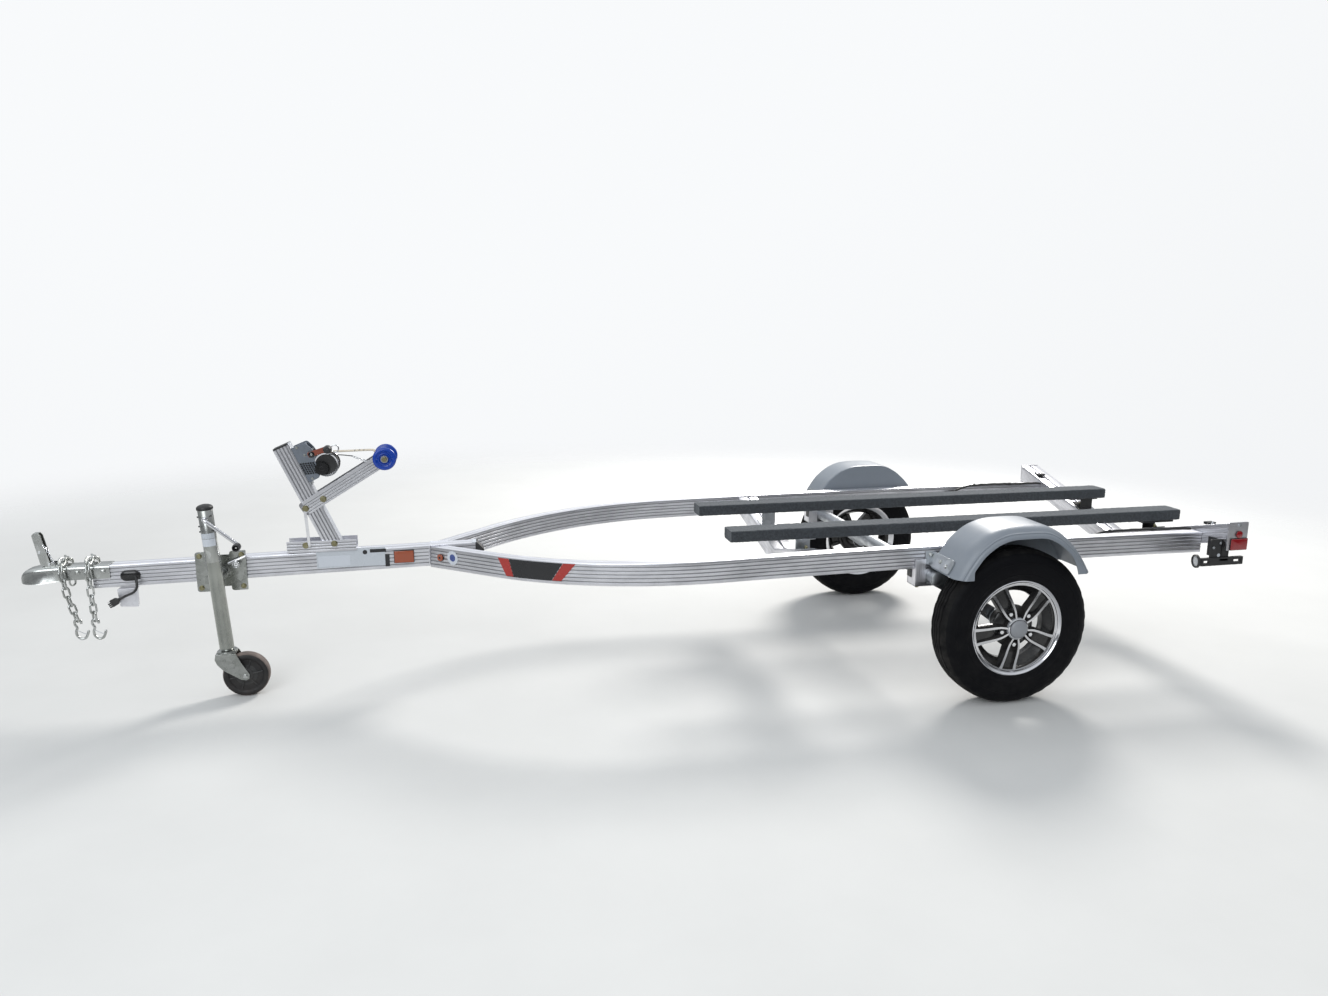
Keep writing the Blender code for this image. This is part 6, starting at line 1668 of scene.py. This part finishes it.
def build_bow_arm():
    """Channel arm with ribbed cheeks; its bolts clamp the post and carry the rollers."""
    half, wall = 0.0245, 0.0047
    shape = Shape("mill", "groove", "olive", "zinc")
    shape.place = ARM_FRAME.copy()
    for hand in (LEFT, RIGHT):
        outline = rounded(rectangle(-0.334, 0.0198, -half, half), 0.013, 6)
        # The cheek plate under the ribs takes the darker groove finish: painted shade between the ribs.
        shape.use("groove").prism(outline, *side_span(hand, WINCH_HALF - wall, WINCH_HALF - 0.0012))
        shape.use("mill")
        for low, high in ((-0.0245, -0.018), (-0.0155, -0.0082), (-0.0057, 0.001), (0.0036, 0.01), (0.0126, 0.0245)):
            end = 0.006 if -0.018 < low < 0.012 else 0.014
            shape.box((-0.334 + end, 0.0198 - end), side_span(hand, WINCH_HALF - 0.0014, WINCH_HALF), (low, high))
    shape.box((-0.227, -0.046), (-POST_HALF - 0.0004, POST_HALF + 0.0004), (-half + 0.0002, -half + 0.0036))
    for x, z in ((-0.32, -0.001), (-0.252, -0.005)):
        for hand in (LEFT, RIGHT):
            shape.bolt((x, hand * WINCH_HALF, z), (0, hand, 0), 0.0108)
    shape.use("zinc").put_at(ROLLER_SPOT).turned([(0, -0.0615), (0.0058, -0.0615), (0.0058, 0.0655), (0.0048, 0.066),
                                                  (0, 0.066)], 20)
    for hand in (LEFT, RIGHT):
        shape.turned(rectangle(0.006, 0.0125, hand * 0.0555, hand * 0.0575), 28)
        shape.bolt((0, hand * 0.0576, 0), (0, hand, 0), 0.0098, washer=False)
    shape.place = ARM_FRAME @ Matrix.Translation((-0.062, 0, 0.01))
    shape.use("zinc").rod(0.0048, -0.03, 0.03, 20)
    shape.put_at()
    shape.piece("channel_arm", "trailer", "mill_aluminium", "bow_arm", edges=0.0005)


def build_rollers():
    for label, side in SIDES:
        shape = Shape("roller", "zinc").put_at(ROLLER_SPOT)
        r, inner, outer = 0.04, WINCH_HALF + 0.0016, 0.054
        outline = [(0.0075, inner), (0.019, inner), (0.0215, inner + 0.0012), (r - 0.012, inner + 0.0042),
                   (r - 0.006, inner + 0.0055), (r - 0.002, inner + 0.0072), (r, inner + 0.0105),
                   (r - 0.0002, outer - 0.0062), (r - 0.0022, outer - 0.0024), (r - 0.006, outer - 0.0002),
                   (r - 0.01, outer - 0.0004), (r - 0.013, outer - 0.003), (0.023, outer - 0.004),
                   (0.0215, outer - 0.001), (0.018, outer - 0.0004), (0.016, outer - 0.0034), (0.0075, outer - 0.004)]
        shape.turned(outline, 64, side=side)
        for angle in around(6):
            spot = [(d * math.cos(angle), side * (outer - 0.0034), d * math.sin(angle)) for d in (0.0225, 0.029)]
            shape.tube(spot, 0.0016, 8)
        shape.piece(f"roller_wheel_{label}", "bow_rollers", "blue_roller", f"bow_roller_{label}", smooth=35)


def build_winch():
    """Hand winch: folded side plates, geared drum with turns of strap, lever handle with its knob."""
    face, low_z, half, sheet = POST_FACE, -0.164, 0.031, 0.0035
    shape = Shape("galvanised", "blue_zinc", "black_gloss", "olive", "zinc", "chrome", "red_brown")
    shape.place = POST_FRAME.copy()
    shape.box((face, face + sheet), (-half + 0.001, half - 0.001), (low_z, -0.022))
    cheek = rounded([(face, -0.152), (face + 0.04, -0.15), (face + 0.052, -0.128), (face + 0.05, -0.092),
                     (face + 0.064, -0.074), (face + 0.06, -0.048), (face + 0.05, -0.0205), (face, -0.02)],
                    [0.004, 0.014, 0.014, 0.012, 0.014, 0.014, 0.012, 0.004], 6)
    for side in (LEFT, RIGHT):
        shape.use("blue_zinc").prism(cheek, *side_span(side, half - sheet, half - 0.0002))
    shape.use("black_gloss")
    for row in range(6):
        for column in range(6):
            x, z = face + 0.0012 + 0.0078 * column, -0.1225 - 0.0026 * column + 0.0074 * row
            shape.box((x, x + 0.0058), (-half - 0.0018, -half - 0.0001), (z, z + 0.0058))
    axis = Vector((face + 0.078, 0, -0.1195))
    gear = Vector((face + 0.06, 0, -0.125))
    shape.place = POST_FRAME @ Matrix.Translation(gear)
    teeth = 26
    outline = []
    for index in range(teeth * 4):
        radius = 0.0238 if index % 4 in (1, 2) else 0.0206
        angle = math.tau * index / (teeth * 4)
        outline.append((radius * math.cos(angle), radius * math.sin(angle)))
    shape.use("black_gloss").prism(outline, -half - 0.0078, -half - 0.0004)
    shape.turned([(0, -half - 0.0078), (0.0085, -half - 0.0078), (0.007, -half - 0.009), (0, -half - 0.009)], 24)
    shape.place = POST_FRAME.copy()
    for x, z in ((0.018, -0.026), (0.03, -0.06), (0.016, -0.143)):
        for side in (LEFT, RIGHT):
            shape.bolt((face + x, side * half, z), (0, side, 0), 0.0055, washer=False, head="zinc")
    shape.use("zinc")
    for x, z in ((0.06, -0.056), (0.048, -0.03)):
        shape.place = POST_FRAME @ Matrix.Translation((face + x - 0.006, 0, z))
        shape.rod(0.0035, -half + 0.001, half - 0.001, 14)
    shape.piece("winch_plates", "trailer", "galvanised_steel", "winch_frame", edges=0.0004)
    build_drum(axis, half - sheet - 0.0015)
    build_winch_handle(face, half)
    build_strap()


def build_drum(axis, inside):
    """Drum flanges, and the turns of strap between them."""
    shape = Shape("black_paint", "lip", "dark_web", "tan_web", "zinc")
    shape.place = POST_FRAME @ Matrix.Translation(axis)
    for side in (LEFT, RIGHT):
        flange = [(0, inside), (0.036, inside), (0.0385, inside + 0.0008), (0.042, inside + 0.0006),
                  (0.0425, inside - 0.0004), (0.042, inside - 0.0019), (0, inside - 0.0019)]
        paints = ["black_paint"] + ["lip"] * 4 + ["black_paint"] * 2
        shape.turned(flange, 56, "Y", paints, side=side)
    rings = []
    steps, turns = 64, 5
    for index in range(steps * turns):
        angle = -math.tau * index / steps
        radius = 0.0345 + 0.0052 * index / (steps * turns)
        wave = 0.0007 * math.sin(index * 0.9)
        ring = rectangle(radius - 0.0007, radius + 0.0003, -0.0205 + wave, 0.0205 + wave)
        rings.append([(r * math.cos(angle), y, r * math.sin(angle)) for r, y in ring])
    shape.use("dark_web").rings(rings)
    shape.rod(0.035, -0.021, 0.021, 48)
    shape.piece("wound_drum", "trailer", "black_steel", "winch_drum", smooth=40)


def build_winch_handle(face, half):
    """Lever with a round knob, on the pinion of the winch."""
    hub_x, hub_z = face + 0.053, -0.0665
    end_x, end_z = face + 0.112, -0.071
    shape = Shape("red_brown", "zinc", "black_gloss")
    shape.place = POST_FRAME @ Matrix.Translation((hub_x, 0, hub_z))
    shape.use("black_gloss").turned([(0, -half - 0.013), (0.0095, -half - 0.013), (0.011, -half - 0.0125),
                                     (0.011, -half - 0.0004), (0, -half - 0.0004)], 32)
    shape.use("zinc").turned([(0, -half - 0.0145), (0.0045, -half - 0.0145), (0.005, -half - 0.0125),
                              (0, -half - 0.0125)], 6)
    shape.place = POST_FRAME.copy()
    arm = rounded([(hub_x - 0.012, hub_z - 0.008), (end_x + 0.0098, end_z - 0.0088), (end_x + 0.0098, end_z + 0.0088),
                   (hub_x - 0.012, hub_z + 0.012)], 0.0075, 6)
    shape.use("red_brown").prism(arm, -half - 0.0122, -half - 0.0065)
    shape.piece("lever_handle", "trailer", "zinc_plate", "winch_crank", edges=0.001)
    grip = Shape("black_plastic", "chrome")
    grip.place = POST_FRAME @ Matrix.Translation((end_x, -half - 0.0133, end_z))
    grip.turned([(0, 0), (0.0085, 0), (0.01, -0.003), (0.0132, -0.0085), (0.0139, -0.013), (0.0139, -0.029),
                 (0.0128, -0.035), (0.01, -0.039), (0.004, -0.0399), (0, -0.0399)], 40)
    grip.use("chrome").turned([(0, -0.0396), (0.004, -0.0396), (0.0036, -0.04), (0, -0.04)], 20)
    grip.piece("lever_knob", "trailer", "black_plastic", "winch_grip", smooth=40)


def build_strap():
    """Tan strap from the drum to a snap hook on the arm's cross bolt, and the dark safety strap beside it."""
    shape = Shape("tan_web", "chrome", "dark_web")
    route = [(-2.274, 0.824), (-2.2483, 0.8279), (-2.18, 0.829), (-2.13, 0.83), (-2.115, 0.8298), (-2.109, 0.827),
             (-2.106, 0.815)]
    frames = []
    for index, (x, z) in enumerate(route):
        back, ahead = route[max(index - 1, 0)], route[min(index + 1, len(route) - 1)]
        along = Vector((ahead[0] - back[0], 0, ahead[1] - back[1])).normalized()
        frames.append(((x, 0, z), (0, 1, 0), along.cross(Vector((0, 1, 0))) * -1))
    shape.sweep(rectangle(-0.0195, 0.0195, -0.0009, 0.0009), frames)
    shape.use("dark_web")
    for x in (-2.175, -2.16, -2.145):
        z = 0.829 + (x + 2.18) * 0.02 + 0.0011
        shape.box((x - 0.0012, x + 0.0012), (-0.0175, 0.0175), (z - 0.0006, z + 0.0003))
    spots = [(-2.26, 0.8215), (-2.2417, 0.8205), (-2.21, 0.818), (-2.1807, 0.8137)]
    shape.sweep(rectangle(-0.006, 0.006, -0.0008, 0.0008),
                [((x, -0.0265, z), (0, 1, 0), (0.1, 0, 1)) for x, z in spots])
    links = curved([(-2.183, -0.0265, 0.814), (-2.159, -0.027, 0.803), (-2.1341, -0.029, 0.7946)], 0.003)
    small_links(shape.use("chrome"), links, 0.0085, 0.0012, 0.0032)
    ring = [Vector((-2.238 + 0.0125 * math.cos(a), -0.03, 0.8418 + 0.0125 * math.sin(a))) for a in around(24)]
    shape.tube(ring, 0.0022, 8, closed=True)
    shape.piece("taut_strap", "trailer", "webbing", "winch_strap", smooth=50)


# Stage

def build_world():
    """Pale backdrop for the camera, and a light that is bright overhead and dim near the ground."""
    own = bpy.context.scene.trailer_stage
    world = bpy.data.worlds.new("Studio")
    bpy.context.scene.world = world
    world.use_nodes = True
    tree = world.node_tree
    tree.nodes.clear()
    parts = put(tree, "ShaderNodeSeparateXYZ", {"Vector": put(tree, "ShaderNodeTexCoord").outputs["Generated"]})
    behind = math_node(tree, "ADD", parts.outputs["Y"], math_node(tree, "MULTIPLY", parts.outputs["Z"], 0.6))
    overhead = put(tree, "ShaderNodeMapRange", {"Value": parts.outputs["Z"], "From Min": -0.15, "From Max": 0.75,
                                                "To Min": own.sky * 0.3, "To Max": own.sky * 1.75},
                   interpolation_type="SMOOTHSTEP").outputs["Result"]
    sideways = math_node(tree, "MULTIPLY", math_node(tree, "SUBTRACT", parts.outputs["Y"], parts.outputs["X"]),
                         own.sky * 0.22)
    strength = math_node(tree, "MAXIMUM", math_node(tree, "ADD", overhead, sideways), own.sky * 0.1)
    light = put(tree, "ShaderNodeBackground", {"Color": (0.92, 0.96, 1.0, 1.0), "Strength": strength})
    shown = put(tree, "ShaderNodeBackground", {"Color": (0.97, 0.985, 1.0, 1.0),
                                               "Strength": spread(tree, behind, -1.0, 1.0, 0.74, 0.97)})
    mixed = put(tree, "ShaderNodeMixShader", {"Fac": put(tree, "ShaderNodeLightPath").outputs["Is Camera Ray"]})
    tree.links.new(light.outputs[0], mixed.inputs[1])
    tree.links.new(shown.outputs[0], mixed.inputs[2])
    output = put(tree, "ShaderNodeOutputWorld")
    tree.links.new(mixed.outputs[0], output.inputs["Surface"])


def build_floor():
    own = bpy.context.scene.trailer_stage
    mesh = bpy.data.meshes.new("studio_floor")
    reach = 60.0
    mesh.from_pydata([(-reach, -reach, 0), (reach, -reach, 0), (reach, reach, 0), (-reach, reach, 0)], [],
                     [(0, 1, 2, 3)])
    floor = bpy.data.objects.new("studio_floor", mesh)
    bpy.context.collection.objects.link(floor)
    made, tree, shader = new_material("Studio floor", Roughness=0.85)
    cloud = noise_node(tree, object_place(tree), 1.7, 5.0, 0.6)
    colour = tuple(own.floor_colour)
    mix_colours(tree, shader, spread(tree, cloud, 0.3, 0.7), colour, shaded(colour, 0.95))
    distance = put(tree, "ShaderNodeVectorMath", {0: object_place(tree)}, operation="LENGTH")
    fade = put(tree, "ShaderNodeMapRange", {"Value": distance.outputs["Value"], "From Min": 2.6, "From Max": 6.5,
                                            "To Min": 1.0, "To Max": 0.0}, interpolation_type="SMOOTHERSTEP")
    tree.links.new(fade.outputs["Result"], shader.inputs["Alpha"])
    mesh.materials.append(made)


def add_area(name, place, target, size, power, colour=(1, 1, 1)):
    light = bpy.data.lights.new(name, "AREA")
    light.shape = "DISK"
    light.size = size
    light.energy = power
    light.color = colour
    lamp = bpy.data.objects.new(name, light)
    bpy.context.collection.objects.link(lamp)
    lamp.location = place
    lamp.rotation_euler = (Vector(target) - Vector(place)).to_track_quat("-Z", "Y").to_euler()


def build_lights():
    own = bpy.context.scene.trailer_stage
    add_area("key_light", (3.4, 4.2, 4.6), (0, 0, 0.3), 2.2, own.key_power, (1.0, 0.97, 0.93))
    add_area("fill_light", (-3.2, -5.2, 3.4), (0, 0, 0.4), 4.5, own.fill_power, (0.93, 0.97, 1.0))


def build_camera():
    yaw, pitch = CAMERA_YAW, CAMERA_PITCH
    forward = Vector((math.sin(yaw) * math.cos(pitch), math.cos(yaw) * math.cos(pitch), -math.sin(pitch)))
    right = Vector((math.cos(yaw), -math.sin(yaw), 0))
    up = right.cross(forward)
    turn = Matrix((right, up, -forward)).transposed().to_4x4()
    data = bpy.data.cameras.new("photo_camera")
    data.sensor_width = SENSOR_WIDTH
    data.lens = PHOTO_FOCAL / PHOTO_WIDTH * SENSOR_WIDTH
    camera = bpy.data.objects.new("photo_camera", data)
    bpy.context.collection.objects.link(camera)
    camera.matrix_world = STANCE @ Matrix.Translation(CAMERA_PLACE) @ turn @ Matrix.Rotation(CAMERA_ROLL, 4, "Z")
    bpy.context.scene.camera = camera


# Plug and its cable

CABLE_RADIUS = 0.0043
CABLE_SIDE = -TONGUE_WIDTH / 2
GROMMET_X, GROMMET_Z = -2.923, 0.4285


def cable_route():
    """The cable's route from the grommet down to the plug, through the listed points."""
    spots = ((0.017, -0.0088, -0.001), (0.0225, -0.022, -0.013), (0.0255, -0.0315, -0.033), (0.014, -0.032, -0.051),
             (-0.011, -0.03, -0.062), (-0.033, -0.0275, -0.074))
    return curved([(GROMMET_X + a, CABLE_SIDE + b, GROMMET_Z + c) for a, b, c in spots], 0.009)


def build_cable():
    path = cable_route()
    curve = bpy.data.curves.new("trailer_cable", "CURVE")
    curve.dimensions = "3D"
    curve.bevel_depth = CABLE_RADIUS
    curve.bevel_resolution = 4
    curve.use_fill_caps = True
    spline = curve.splines.new("POLY")
    spline.points.add(len(path) - 1)
    for slot, spot in zip(spline.points, path):
        slot.co = (*(STANCE @ spot), 1.0)
    curve.materials.append(finish("black_plastic"))
    cable = bpy.data.objects.new("trailer_cable", curve)
    bpy.context.collection.objects.link(cable)
    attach(cable, "trailer")
    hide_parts("plug_cable")
    plug = build_plug(path)


def build_plug(path):
    """Flat four-way plug: a moulded body with three covered pins and one bare one."""
    heading = (path[-1] - path[-2]).normalized()
    shape = Shape("black_plastic", "chrome")
    shape.place = Matrix.Translation(path[-1]) @ heading.to_track_quat("X", "Z").to_matrix().to_4x4()
    rings = []
    for x, wide, high in ((0.0004, 0.0052, 0.005), (0.006, 0.0075, 0.0056), (0.012, 0.0122, 0.006),
                          (0.029, 0.0126, 0.006)):
        rings.append([(x, a, b) for a, b in rounded(rectangle(-high, high, -wide, wide), 0.0022)])
    shape.rings(rings)
    base = shape.place
    for index in range(4):
        shape.place = base @ Matrix.Translation((0.0285, 0, -0.009 + 0.006 * index))
        if index == 3:
            shape.use("chrome").turned([(0, 0), (0.0013, 0), (0.0013, 0.01), (0.0006, 0.0112), (0, 0.0112)], 12, "X")
        else:
            shape.use("black_plastic").turned([(0, 0), (0.0027, 0), (0.0025, 0.013), (0, 0.013)], 14, "X")
    shape.place = Matrix()
    return shape.piece("flat_four_plug", "trailer", "black_plastic", "flat_plug")


def build_grommet():
    shape = Shape("black_gloss").put_at((GROMMET_X, CABLE_SIDE - GAP, GROMMET_Z))
    rings = []
    for along, wide, tall in ((0.0, 0.03, 0.017), (-0.0024, 0.0312, 0.0182), (-0.005, 0.03, 0.017),
                              (-0.0074, 0.0262, 0.0138), (-0.0088, 0.02, 0.009), (-0.0092, 0.01, 0.004)):
        ends = arc((wide - tall, 0), tall, -90, 90, 18) + arc((tall - wide, 0), tall, 90, 270, 18)
        rings.append([(a, along, b) for a, b in ends])
    shape.rings(rings)
    shape.piece("cable_bush", "trailer", "black_plastic", "cable_grommet")


# Operators

class TrailerOperator:
    bl_options = {"REGISTER", "UNDO"}


def run(*steps):
    for step in steps:
        step()
    return {"FINISHED"}


class TRAILER_OT_cable(TrailerOperator, bpy.types.Operator):
    """Build the trailer cable with its plug and the grommet it comes out of"""
    bl_idname = "trailer.cable"
    bl_label = "Cable and plug"

    def execute(self, context):
        return run(build_cable, build_grommet)


class TRAILER_OT_frame(TrailerOperator, bpy.types.Operator):
    """Build the tongue, the side rails and the cross-members"""
    bl_idname = "trailer.frame"
    bl_label = "Frame"

    def execute(self, context):
        return run(build_tongue, build_rails, build_cross_members, build_wiring)


class TRAILER_OT_lamps(TrailerOperator, bpy.types.Operator):
    """Build the lamps, the reflectors and the blank markers"""
    bl_idname = "trailer.lamps"
    bl_label = "Lamps and markers"

    def execute(self, context):
        return run(build_lamps, build_markers)


class TRAILER_OT_bunks(TrailerOperator, bpy.types.Operator):
    """Build the carpeted bunks"""
    bl_idname = "trailer.bunks"
    bl_label = "Bunks"

    def execute(self, context):
        return run(build_bunks)


class TRAILER_OT_wheels(TrailerOperator, bpy.types.Operator):
    """Build both tyres, rims and hubs"""
    bl_idname = "trailer.wheels"
    bl_label = "Wheels"

    def execute(self, context):
        for label, side in SIDES:
            build_tyre(label, side)
            build_rim(label, side)
            build_hub(label, side)
        return {"FINISHED"}


class TRAILER_OT_axle(TrailerOperator, bpy.types.Operator):
    """Build the axle tube, its trailing arms and its saddles"""
    bl_idname = "trailer.axle"
    bl_label = "Axle"

    def execute(self, context):
        return run(build_axle)


class TRAILER_OT_fenders(TrailerOperator, bpy.types.Operator):
    """Build the fenders and the straps that hold them"""
    bl_idname = "trailer.fenders"
    bl_label = "Fenders"

    def execute(self, context):
        for label, side in SIDES:
            build_fender(label, side)
        return run(build_fender_brackets)


class TRAILER_OT_coupler(TrailerOperator, bpy.types.Operator):
    """Build the coupler, its latch, the safety chains and the plate that parks the plug"""
    bl_idname = "trailer.coupler"
    bl_label = "Coupler and chains"

    def execute(self, context):
        return run(build_coupler, build_latch, build_chains, build_plug_plate)


class TRAILER_OT_licence_plate(TrailerOperator, bpy.types.Operator):
    """Build the holder of the licence plate with its lamp"""
    bl_idname = "trailer.licence_plate"
    bl_label = "Licence plate holder"

    def execute(self, context):
        return run(build_licence_bracket)


class TRAILER_OT_jack(TrailerOperator, bpy.types.Operator):
    """Build the jack with its mount, crank and caster"""
    bl_idname = "trailer.jack"
    bl_label = "Jack"

    def execute(self, context):
        return run(build_jack_mount, build_jack_tube, build_jack_crank, build_caster)


class TRAILER_OT_winch(TrailerOperator, bpy.types.Operator):
    """Build the winch stand with its rollers, winch and strap"""
    bl_idname = "trailer.winch"
    bl_label = "Winch stand"

    def execute(self, context):
        return run(build_winch_base, build_winch_post, build_bow_arm, build_rollers, build_winch)


class TRAILER_OT_stage(TrailerOperator, bpy.types.Operator):
    """Build the camera, the floor and the studio light"""
    bl_idname = "trailer.stage"
    bl_label = "Stage"

    def execute(self, context):
        build_camera()
        build_world()
        build_floor()
        build_lights()
        context.scene.view_settings.view_transform = "Standard"
        return {"FINISHED"}


OPERATORS = (TRAILER_OT_stage, TRAILER_OT_cable, TRAILER_OT_frame, TRAILER_OT_lamps, TRAILER_OT_bunks,
             TRAILER_OT_wheels, TRAILER_OT_axle, TRAILER_OT_fenders, TRAILER_OT_coupler, TRAILER_OT_licence_plate,
             TRAILER_OT_jack, TRAILER_OT_winch)
SETTINGS = (
    # property on the scene, group, heading in the panel
    ("trailer_finishes", TRAILER_PG_finishes, "Finishes"),
    ("trailer_frame", TRAILER_PG_frame, "Frame"),
    ("trailer_wheel", TRAILER_PG_wheel, "Wheels"),
    ("trailer_stage", TRAILER_PG_stage, "Stage"),
)


class TRAILER_PT_panel(bpy.types.Panel):
    """Lists the trailer's settings and the operators that build it"""
    bl_idname = "TRAILER_PT_panel"
    bl_label = "Boat trailer"
    bl_space_type = "VIEW_3D"
    bl_region_type = "UI"
    bl_category = "Trailer"

    def draw(self, context):
        for name, group, heading in SETTINGS:
            box = self.layout.box()
            box.label(text=heading)
            for setting in group.__annotations__:
                box.prop(getattr(context.scene, name), setting)
        for operator in OPERATORS:
            self.layout.operator(operator.bl_idname)


def register():
    for name, group, heading in SETTINGS:
        bpy.utils.register_class(group)
        setattr(bpy.types.Scene, name, PointerProperty(type=group))
    for cls in (*OPERATORS, TRAILER_PT_panel):
        bpy.utils.register_class(cls)


def unregister():
    for cls in reversed((*OPERATORS, TRAILER_PT_panel)):
        bpy.utils.unregister_class(cls)
    for name, group, heading in SETTINGS:
        delattr(bpy.types.Scene, name)
        bpy.utils.unregister_class(group)


def main():
    register()
    for operator in OPERATORS:
        section, name = operator.bl_idname.split(".")
        getattr(getattr(bpy.ops, section), name)()


if __name__ == "__main__":
    main()
